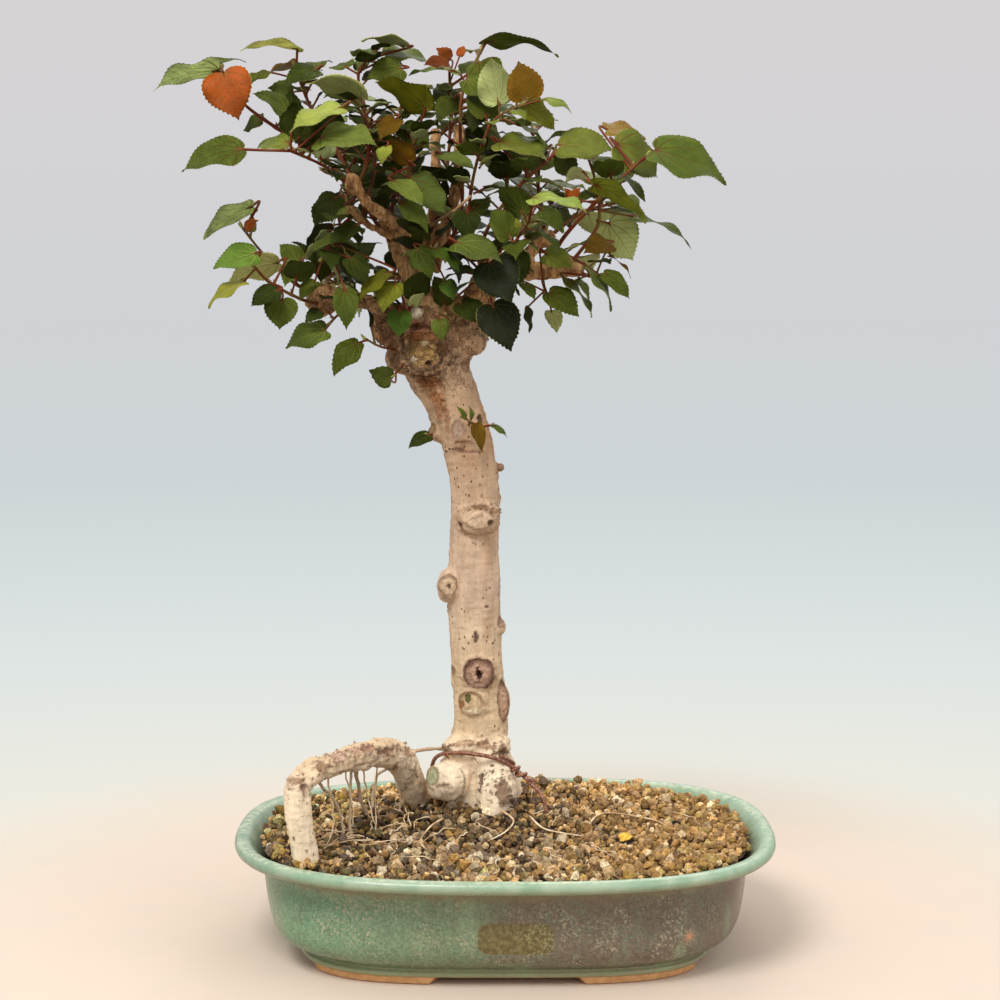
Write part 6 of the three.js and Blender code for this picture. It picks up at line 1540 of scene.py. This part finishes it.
def build_grains(sizes):
    """Loose baked-clay grains and larger pumice stones over the whole soil, in a front and a back heap."""
    ground = soil_tree()
    random = seeded(9001)
    shapes = {kind: grain_shape(kind) for kind in ("stone", "crumb")}
    spots = []
    pitch = sizes.pitch
    rows = int(2 * HALF_DEPTH / (pitch * ROW_PITCH)) + 1
    for layer in range(2):
        for row in range(rows):
            for column in range(int(2 * HALF_LENGTH / pitch) + 1):
                if layer and random() > SECOND_LAYER:
                    continue
                x = -HALF_LENGTH + pitch * (column + 0.5 * (row % 2)) + (random() - 0.5) * pitch * (1.2 + layer)
                y = -HALF_DEPTH + pitch * ROW_PITCH * row + (random() - 0.5) * pitch * (1.2 + layer)
                if not inside_oval(1.03 * x, y, SOIL_INSET) or math.dist((x, y), FALLEN_LEAF) < LEAF_GAP:
                    continue
                hit = soil_under(ground, x, y)
                if hit is None:
                    hit = ground.find_nearest(Vector((x, y, SOIL_LEVEL)))[0]
                spots.append((x, y, hit.z, layer))
    middle = len(spots) // 2
    for name, part in (("soil_grains_front", spots[:middle]), ("soil_grains_back", spots[middle:])):
        bm = bmesh.new()
        places, tones = [], []
        for x, y, z, layer in part:
            front, damp = patch_at(x, y, *FRONT_HEAP), patch_at(x, y, *DAMP_SOIL)
            stone = random() < 0.05 + 0.22 * front
            shape, base = shapes["stone" if stone or random() < 0.1 else "crumb"]
            bm.from_mesh(shape)
            spread = random()
            radius = 0.5 * sizes.grain * ((1.25 + 0.85 * spread) if stone else (0.62 + 0.75 * spread ** 1.4))
            stretch = np.array([1, 0.68 + 0.4 * random(), 0.56 + 0.36 * random()])
            jitter = np.array([[random() - 0.5 for _ in range(3)] for _ in range(len(base))])
            jitter *= 0.4 if stone else 0.3
            turned = (base * stretch + jitter) @ np.array(Euler([FULL_TURN * random() for _ in range(3)]).to_matrix())
            rise = 0.3 * radius + layer * 0.8 * radius + 0.9 * random()
            places.append(turned * radius + np.array([x, y, z + rise]))
            pick = random()
            kinds, pick = (STONE_TONES, pick) if stone else (GRAIN_TONES, pick ** 1.15)
            light = 0.38 + 0.9 * random() if stone else 0.18 + 1.32 * random()
            tone = np.array(srgb(*kinds[int(pick * len(kinds))])) * light
            tone *= (1 + 0.35 * ease(y, 0, 70) + 0.25 * ease(x, 20, 80)) * (1 - (0.15 if stone else 0.5) * damp)
            if random() < (0.35 if abs(x) > 66 else 0.08):
                tone *= np.array([0.62, 0.66, 0.4])
            tone += (np.array(srgb(176, 136, 80)) - tone) * 0.45 * ease(x, 15, 70)
            tones.append(np.tile([*np.minimum(tone, 1), random()], (len(base), 1)))
        mesh = mesh_of(bm, "soil_grains")
        mesh.vertices.foreach_set("co", np.concatenate(places).ravel())
        add_values(mesh, "grain_tone", "FLOAT_COLOR", "color", np.concatenate(tones))
        place_piece(name, mesh, [grain_surface()], SLOTS["soil"], smooth=False)


def grain_surface():
    """Rough clay and pumice grains with open pores darkened as painted shade, each in its own tone."""
    grain = Surface("clay_grain")
    grain.colour = grain.value("grain_tone", "Color")
    chance = grain.colour.other("Alpha")
    cloud = grain.noise(0.9, 4, None, 0.7)
    grain.shade(grain.blend(cloud.span(0.3, 0.72), [0.55, 0.5, 0.42], [1, 0.97, 0.92], [1.35, 1.32, 1.26]))
    # The pores are darkened as painted shade in the pits, which the bump also sinks.
    pores = grain.cells(1.8).span(0.1, 0.3, 1, 0) * chance.span(0.2, 0.8)
    grain.coat(pores * 0.6, (66, 42, 26))
    grain.coat(grain.noise(2.2, 2).span(0.66, 0.72) * 0.55, (232, 214, 184))
    return grain.finish(chance.span(0, 1, 0.6, 0.95), 0.3, (cloud, 0.7), (pores, -0.35))


def soil_bed_surface():
    """Fine soil between the grains, its dark tones partly the soil's own colour and partly painted shade in the gaps.
    """
    bed = Surface("soil_bed")
    bed.mottle(0.5, 5, (30, 18, 11), (58, 38, 23), (92, 64, 38), roughness=0.7)
    return bed.finish(0.95, 0.5, (bed.cells(0.45), 1.2), (bed.noise(1.2, 4), 0.5))

# Wire, drain meshes and what lies on the soil

def build_wire():
    """Brown tie wire round the root base, with its twisted knot and a bent tail."""
    run = smooth_path([[*point, 1.0] for point in TIE_WIRE], 1.5)
    middle = smooth_path([[*point, 1.0] for point in WIRE_TWIST], 0.4)
    coil = []
    for i, point in enumerate(middle):
        share = i / (len(middle) - 1)
        turn = 2 * math.pi * (2.2 * share + 0.1)
        across = np.array([0.75 * math.cos(turn), math.sin(turn), 0.75 * math.cos(turn)]) * 1.9
        coil.append([*(point[:3] + across), 0.8])
    stub = smooth_path([coil[-1], [13.4, 6.6, 74.4, 0.8], [15.2, 5.4, 74.8, 0.8]], 0.6)
    lead = smooth_path([[-3, 8.4, 86.6, 0.8], [1.5, 10.4, 84, 0.8], coil[0]], 0.6)
    mesh = tube_mesh([run, coil, stub, lead], 3)
    return place_piece("brown_tie_wire", mesh, [wire_surface()], SLOTS["tie_wire"], "tie_wire")


def wire_surface():
    """Dull brown anodised wire with scuffs."""
    wire = Surface("anodised_wire")
    scuff = wire.noise(0.9, 4, None, 0.65).span(0.42, 0.68)
    wire.colour = wire.mix(scuff, (118, 70, 52), (182, 134, 106))
    return wire.finish(scuff.span(0, 1, 0.42, 0.58), 0.5, (wire.noise(2.4, 4), 0.08), Metallic=0.3)


def drain_surface():
    """Black moulded plastic mesh with a dusty bloom."""
    mesh = Surface("drain_mesh_plastic")
    dust = mesh.noise(0.35, 4).span(0.4, 0.7)
    mesh.colour = mesh.mix(dust * 0.6, (40, 42, 43), (96, 84, 68))
    return mesh.finish(dust.span(0, 1, 0.5, 0.8), 0.5, (mesh.noise(1.4, 3), 0.12))


def on_soil(ground, x, y, inset):
    """Height of the soil at a place, or None outside the pot's opening."""
    if not inside_oval(x, y, inset):
        return None
    hit = soil_under(ground, x, y)
    return None if hit is None else hit.z


def build_yellow_leaf():
    """Fallen yellow leaf scrap, lying where its solid lies."""
    low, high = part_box("fallen_leaf")
    rise = (TO_FRAME.inverted() @ ((low + high) / 2)).z
    base = np.array([54.6, -24, rise + 1.6])
    blade = Blade(base, base + np.array([6.6, 2, 0.6]), np.array([0.0, -0.7, 1.0]), 0.72, "lime", 0.4)
    template = leaf_template(14, 3, 0.02)
    mesh = template[0]
    mesh.vertices.foreach_set("co", fine_blade(blade, template, 0.3).ravel())
    return place_piece("yellow_leaf_scrap", mesh, [yellow_leaf_surface()], SLOTS["fallen_leaf"], "fallen_leaf")


def build_rootlets(ground):
    """Fine pale roots that wander over the soil, most of them under the arched root."""
    random = seeded(4242)
    paths = []
    for k in range(ROOTLETS):
        if k < ARCH_ROOTLETS:
            x, y = -84 + 44 * random(), -46 + 56 * random()
            length, rise = 12 + 16 * random(), 4 * random()
        else:
            x, y = -70 + 150 * random(), -64 + 110 * random()
            length, rise = 10 + 20 * random(), 1.2
        turn = FULL_TURN * random()
        path = []
        for i in range(ROOTLET_STEPS + 1):
            share = i / ROOTLET_STEPS
            turn += (random() - 0.5) * 1.3
            x += math.cos(turn) * length / ROOTLET_STEPS
            y += math.sin(turn) * length / ROOTLET_STEPS * 0.8
            height = on_soil(ground, x, y, 14)
            if height is None:
                break
            lift = 2.8 + rise * (1 - share) + 1.8 * random() * math.sin(math.pi * share)
            path.append([x, y, height + lift, 0.17 + 0.2 * random() * (1 - 0.6 * share)])
        if len(path) > 3:
            paths.append(smooth_path(path, 1.6))
    for stretch in LONG_ROOTS:
        paths.append(smooth_path([[x, y, (on_soil(ground, x, y, 9) or SOIL_LEVEL + 2) + lift + GRAIN_COVER, radius]
                                  for x, y, lift, radius in stretch], 1.4))
    for k in range(HANGING_ROOTLETS):
        top = spline_at(LIMBS["root arch"], 0.2 + 0.075 * k + 0.03 * random())
        foot = [top[0] + 22 * (random() - 0.35), top[1] + 22 * (random() - 0.4), 54]
        knee = [(top[0] + foot[0]) / 2 + 7 * (random() - 0.5), (top[1] + foot[1]) / 2 + 5 * random(),
                60 + 16 * random()]
        path = smooth_path([[*top[:3], 0.5], [*knee, 0.38], [*foot, 0.26]], 1.6)
        for i, point in enumerate(path):
            point[0] += 0.8 * noise.noise(Vector((i * 0.5, k, 1)))
        paths.append(path)
    return place_piece("fine_roots", tube_mesh(paths, 1), [rootlet_surface()], SLOTS["tree"])


def build_chips(ground):
    """Dark bark chips and a few stones that lie on the grains."""
    random = seeded(77)
    chips = list(SEEN_CHIPS)
    chips += [(-60 + 150 * random(), -60 + 110 * random(), None, 1.8 + 2.2 * random()) for _ in range(LOOSE_CHIPS)]
    bm = bmesh.new()
    for x, y, z, size in chips:
        if z is None:
            height = on_soil(ground, x, y, 16)
            if height is None:
                continue
            z = height + 2.6
        made = bmesh.ops.create_cube(bm, size=1)["verts"]
        shape = Matrix.Diagonal((size, size * 0.55, 0.3 * size, 1))
        turn = Euler((0.7 * (random() - 0.5), 0.7 * (random() - 0.5), FULL_TURN * random())).to_matrix().to_4x4()
        bmesh.ops.transform(bm, matrix=Matrix.Translation((x, y, z)) @ turn @ shape, verts=made)
        for vert in made:
            vert.co += Vector([(random() - 0.5) * 0.22 * size for _ in range(3)])
    bmesh.ops.subdivide_edges(bm, edges=bm.edges[:], cuts=1, use_grid_fill=True, fractal=0.8, seed=7)
    return place_piece("bark_chips", mesh_of(bm, "bark_chips"), [chip_surface()], SLOTS["soil"], smooth=False)


def yellow_leaf_surface():
    """Dry yellow leaf scrap with brown veins."""
    scrap = Surface("dry_yellow_leaf")
    veins = scrap.cells(0.9, None, "DISTANCE_TO_EDGE").span(0, 0.12, 1, 0)
    scrap.mottle(0.6, 3, (206, 150, 34), (236, 190, 54), (244, 212, 96))
    scrap.coat(veins * 0.4, (140, 92, 30))
    return scrap.finish(0.6, 0.5, (veins, -0.15))


def rootlet_surface():
    """Fine dry roots, cream to tan."""
    root = Surface("fine_root")
    root.mottle(0.15, 4, (166, 130, 92), (210, 180, 140), (240, 218, 184))
    return root.finish(0.85, 0.5, (root.noise(1.6, 3), 0.2))


def chip_surface():
    """Dark flaked bark chips."""
    chip = Surface("dark_chip")
    chip.mottle(0.5, 4, (40, 28, 22), (74, 54, 40), (116, 88, 62))
    return chip.finish(0.85, 0.5, (chip.noise(1.1, 4), 0.4))

# Stage

def build_stage(look):
    """Pale floor that fades out, pale soft surround, studio lights, and the camera where the viewer stands."""
    bm = bmesh.new()
    bmesh.ops.create_circle(bm, cap_ends=True, segments=96, radius=FLOOR_RADIUS)
    bmesh.ops.translate(bm, vec=(POT_MIDDLE.x, POT_MIDDLE.y, POT_LOW.z - FLOOR_GAP), verts=bm.verts)
    floor = linked("floor", mesh_of(bm, "floor"))
    cover = Surface("pale_floor")
    x, y, _ = cover.axes()
    cover.colour = cover.mix(cover.noise(0.03, 3).span(0.3, 0.7), look.floor, (209, 191, 173))
    reach = (x * x + y * y).math("SQRT")
    floor.data.materials.append(cover.finish(0.9, 0.1, Alpha=reach.span(190, 420, 1, 0)))
    build_surround(look)
    for name, place, size, power in (
        ("key_light", (-0.45, -0.85, 1.35), 0.7, look.key),
        ("fill_light", (0.95, -0.7, 0.6), 0.9, look.fill),
        ("back_light", (0.3, 1.1, 1.1), 0.9, look.back),
    ):
        light = bpy.data.lights.new(name, "AREA")
        light.shape = "DISK"
        light.size = size
        light.energy = power
        lamp = linked(name, light)
        lamp.location = place
        lamp.rotation_euler = (LIT_PLACE - lamp.location).to_track_quat("-Z", "Y").to_euler()
    camera = bpy.data.cameras.new("viewer")
    camera.lens = LENS
    camera.sensor_width = SENSOR
    camera.sensor_height = SENSOR
    camera.clip_start = NEAREST_SEEN
    eye = linked("viewer", camera)
    eye.location = TO_FRAME @ Vector(VIEWER)
    eye.rotation_euler = (math.radians(90 - CAMERA_PITCH), 0, 0)
    bpy.context.scene.camera = eye
    bpy.context.scene.view_settings.view_transform = "Standard"

# Backdrop from straight below (0) to straight above (1), as it is seen and as it lights the pieces
SEEN_SURROUND = [
    (0, (252, 238, 219)), (0.325, (251, 236, 218)), (0.372, (240, 237, 225)), (0.408, (222, 229, 227)),
    (0.45, (205, 212, 215)), (0.5, (209, 210, 213)), (0.57, (216, 211, 213)), (0.72, (228, 224, 226)),
]
LIGHTING_SURROUND = [
    (0, [0.46, 0.42, 0.36]), (0.45, [0.52, 0.51, 0.5]), (0.55, [0.6, 0.61, 0.63]), (0.8, [1, 1, 1.02]),
    (1, [1, 1, 1]),
]


def build_surround(look):
    """Pale backdrop, darker below for the light that it sends than for the eye."""
    world = bpy.data.worlds.new("soft_surround")
    bpy.context.scene.world = world
    world.use_nodes = True
    sky = Nodes(world.node_tree)
    rise = sky.axes(sky.node("TexCoord", output="Generated"))[2].math("MULTIPLY_ADD", 0.5, 0.5)
    world.node_tree.nodes.remove(world.node_tree.nodes["Background"])
    lighting = sky.node("Background", {0: sky.ramp(rise, LIGHTING_SURROUND), "Strength": look.surround})
    seen = sky.node("Background", {0: sky.ramp(rise, SEEN_SURROUND)})
    both = sky.node("MixShader", {0: sky.node("LightPath", output="Is Camera Ray"), 1: lighting, 2: seen})
    sky.join(both, world.node_tree.nodes["World Output"].inputs[0])

# What a user would change

def colour(name, description, red, green, blue):
    return FloatVectorProperty(name=name, description=description, subtype="COLOR", size=3, min=0, max=1,
                               default=srgb(red, green, blue))


def measure(name, description, default, low, high, unit="NONE"):
    return FloatProperty(name=name, description=description, default=default, min=low, max=high, unit=unit)


class PotLook(bpy.types.PropertyGroup):
    glaze_left: colour("Glaze, left", "Green of the glaze at the left end", 112, 142, 108)
    glaze_middle: colour("Glaze, middle", "Grey green of the glaze at the middle", 108, 116, 88)
    glaze_right: colour("Glaze, right", "Grey brown of the glaze at the right end", 106, 92, 76)
    glaze_patch: colour("Glaze, patches", "Paler green patches", 128, 146, 114)
    rim: colour("Rim", "Pale green of the rim", 158, 176, 148)
    clay: colour("Clay", "Unglazed clay of the feet", 206, 156, 106)


class LeafLook(bpy.types.PropertyGroup):
    thickness: measure("Thickness", "Thickness of a blade in millimetres", 0.34, 0.2, 0.7)
    tooth: measure("Tooth", "Depth of the edge's teeth as a share of the length", 0.016, 0, 0.05)
    extra: IntProperty(name="Young leaves", description="Small young leaves tried on each shoot", default=9, min=0,
                       max=16)
    # The underside tone and the pale tint of leaves seen from below are partly the underside's own pale colour and
    # partly painted light from below.
    underside: colour("Underside", "Pale tone that the undersides take", 184, 190, 126)
    tint_pale: colour("Pale", "Leaves seen from below", 186, 192, 132)
    tint_mid: colour("Middle", "Common full green", 96, 108, 34)
    # The dark tint is partly the colour of older leaves and partly painted shade for leaves inside and under the
    # crown. The deep tint is painted shade for the heart of the crown.
    tint_dark: colour("Dark", "Old and shaded leaves", 68, 80, 24)
    tint_deep: colour("Deep", "The darkest heart leaves", 26, 32, 12)
    tint_light: colour("Light", "Light green young leaves", 146, 160, 66)
    tint_bright: colour("Bright", "Fresh green inner leaves", 86, 116, 34)
    tint_olive: colour("Olive", "Olive leaves", 126, 124, 27)
    tint_bronze: colour("Bronze", "Bronze young leaves", 130, 94, 17)
    tint_orange: colour("Orange", "Ageing orange leaves", 150, 68, 12)
    tint_lime: colour("Lime", "Newest leaves", 146, 150, 46)
    stem_red: colour("Stem, red", "Red brown of young stems", 100, 38, 18)
    stem_brown: colour("Stem, brown", "Brown of young stems", 110, 58, 28)
    stem_green: colour("Stem, green", "Green of young stems", 104, 84, 38)
    bud_colour: colour("Bud", "Buds and stipules", 162, 158, 74)


class BarkLook(bpy.types.PropertyGroup):
    voxel: measure("Grain of the skin", "Mesh size of the bark in millimetres", 0.85, 0.6, 3)
    relief: measure("Relief", "Strength of the folds and wrinkles", 1.0, 0, 2)
    bark_cream: colour("Cream", "Bark of the roots", 241, 219, 187)
    bark_beige: colour("Beige", "Bark of the trunk", 204, 175, 149)
    bark_tan: colour("Tan", "Bark below the crown", 184, 150, 117)
    branch_dark: colour("Branch, dark", "Hollows of the bark in the crown", 112, 74, 42)
    branch_brown: colour("Branch, brown", "Common bark in the crown", 164, 119, 76)
    branch_light: colour("Branch, light", "Ridges of the bark in the crown", 206, 161, 108)


class SoilLook(bpy.types.PropertyGroup):
    grain: measure("Grain", "Common grain diameter in millimetres", 3.6, 2, 8)
    pitch: measure("Pitch", "Spacing of the grains in millimetres", 2.8, 2.5, 8)


class StageLook(bpy.types.PropertyGroup):
    floor: colour("Floor", "Pale floor", 207, 190, 173)
    surround: measure("Surround", "Strength of the pale surround", 1.0, 0, 3)
    key: measure("Key light", "Power of the main light", 18, 0, 200, "POWER")
    fill: measure("Fill light", "Power of the side light", 3, 0, 200, "POWER")
    back: measure("Back light", "Power of the light behind", 4, 0, 200, "POWER")


class BonsaiLook(bpy.types.PropertyGroup):
    pot: PointerProperty(type=PotLook, name="Pot", description="Pot colours")
    leaf: PointerProperty(type=LeafLook, name="Leaves", description="Leaf sizes and colours")
    bark: PointerProperty(type=BarkLook, name="Bark", description="Bark relief and colours")
    soil: PointerProperty(type=SoilLook, name="Soil", description="Soil grains")
    stage: PointerProperty(type=StageLook, name="Stage", description="Floor and lights")


class BONSAI_OT_stage(bpy.types.Operator):
    """Make the floor, the surround, the lights and the camera"""
    bl_idname = "bonsai.stage"
    bl_label = "Stage"

    def execute(self, context):
        build_stage(context.scene.bonsai.stage)
        return {"FINISHED"}


class BONSAI_OT_pot(bpy.types.Operator):
    """Make the glazed pot and dress the drain meshes"""
    bl_idname = "bonsai.pot"
    bl_label = "Pot"

    def execute(self, context):
        build_pot(context.scene.bonsai.pot)
        plastic = drain_surface()
        for node in ("drain_mesh_left", "drain_mesh_right"):
            dress(node, plastic)
        return {"FINISHED"}


class BONSAI_OT_soil(bpy.types.Operator):
    """Dress the soil bed and lay the loose grains"""
    bl_idname = "bonsai.soil"
    bl_label = "Soil"

    def execute(self, context):
        dress("soil", soil_bed_surface())
        build_grains(context.scene.bonsai.soil)
        return {"FINISHED"}


class BONSAI_OT_tree(bpy.types.Operator):
    """Make the trunk, roots, burls and branches as one skin of bark"""
    bl_idname = "bonsai.tree"
    bl_label = "Tree"

    def execute(self, context):
        build_tree(context.scene.bonsai.bark)
        return {"FINISHED"}


class BONSAI_OT_crown(bpy.types.Operator):
    """Make every leafy shoot"""
    bl_idname = "bonsai.crown"
    bl_label = "Crown"

    def execute(self, context):
        sizes = context.scene.bonsai.leaf
        crown = Crown()
        for seed, share, scale in YOUNG_LEAVES:
            for index, shoot in enumerate(crown.shoots):
                open_side = OPEN_SHARE if shoot.path[-1, 0] > OPEN_SIDE else 1
                crown.place_ruled(shoot, seed + 15 * index, round(sizes.extra * share * open_side), 0.15, scale)
        templates = leaf_templates(sizes.tooth)
        materials = [leaf_surface(sizes), stem_surface(sizes), bud_surface(sizes)]
        for index, shoot in enumerate(crown.shoots):
            build_shoot(shoot, templates, sizes, materials, 300 + index)
        return {"FINISHED"}


class BONSAI_OT_wire(bpy.types.Operator):
    """Make the tie wire with its twist"""
    bl_idname = "bonsai.wire"
    bl_label = "Tie wire"

    def execute(self, context):
        build_wire()
        return {"FINISHED"}


class BONSAI_OT_litter(bpy.types.Operator):
    """Make the fallen leaf, the fine roots and the bark chips"""
    bl_idname = "bonsai.litter"
    bl_label = "Litter"

    def execute(self, context):
        ground = soil_tree()
        build_yellow_leaf()
        build_rootlets(ground)
        build_chips(ground)
        return {"FINISHED"}


class BONSAI_PT_panel(bpy.types.Panel):
    """Lists the bonsai's pieces in the order they are made"""
    bl_idname = "BONSAI_PT_panel"
    bl_label = "Bonsai"
    bl_space_type = "VIEW_3D"
    bl_region_type = "UI"
    bl_category = "Bonsai"

    def draw(self, context):
        for operator in OPERATORS:
            self.layout.operator(operator.bl_idname)


LOOKS = (PotLook, LeafLook, BarkLook, SoilLook, StageLook, BonsaiLook)
OPERATORS = (
    BONSAI_OT_stage, BONSAI_OT_pot, BONSAI_OT_soil, BONSAI_OT_tree, BONSAI_OT_crown, BONSAI_OT_wire, BONSAI_OT_litter,
)


def register():
    for kind in (*LOOKS, *OPERATORS, BONSAI_PT_panel):
        bpy.utils.register_class(kind)
    bpy.types.Scene.bonsai = PointerProperty(type=BonsaiLook)


def unregister():
    del bpy.types.Scene.bonsai
    for kind in reversed((*LOOKS, *OPERATORS, BONSAI_PT_panel)):
        bpy.utils.unregister_class(kind)


def main():
    register()
    bpy.ops.bonsai.stage()
    bpy.ops.bonsai.pot()
    bpy.ops.bonsai.soil()
    bpy.ops.bonsai.tree()
    bpy.ops.bonsai.crown()
    bpy.ops.bonsai.wire()
    bpy.ops.bonsai.litter()
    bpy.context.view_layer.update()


if __name__ == "__main__":
    main()
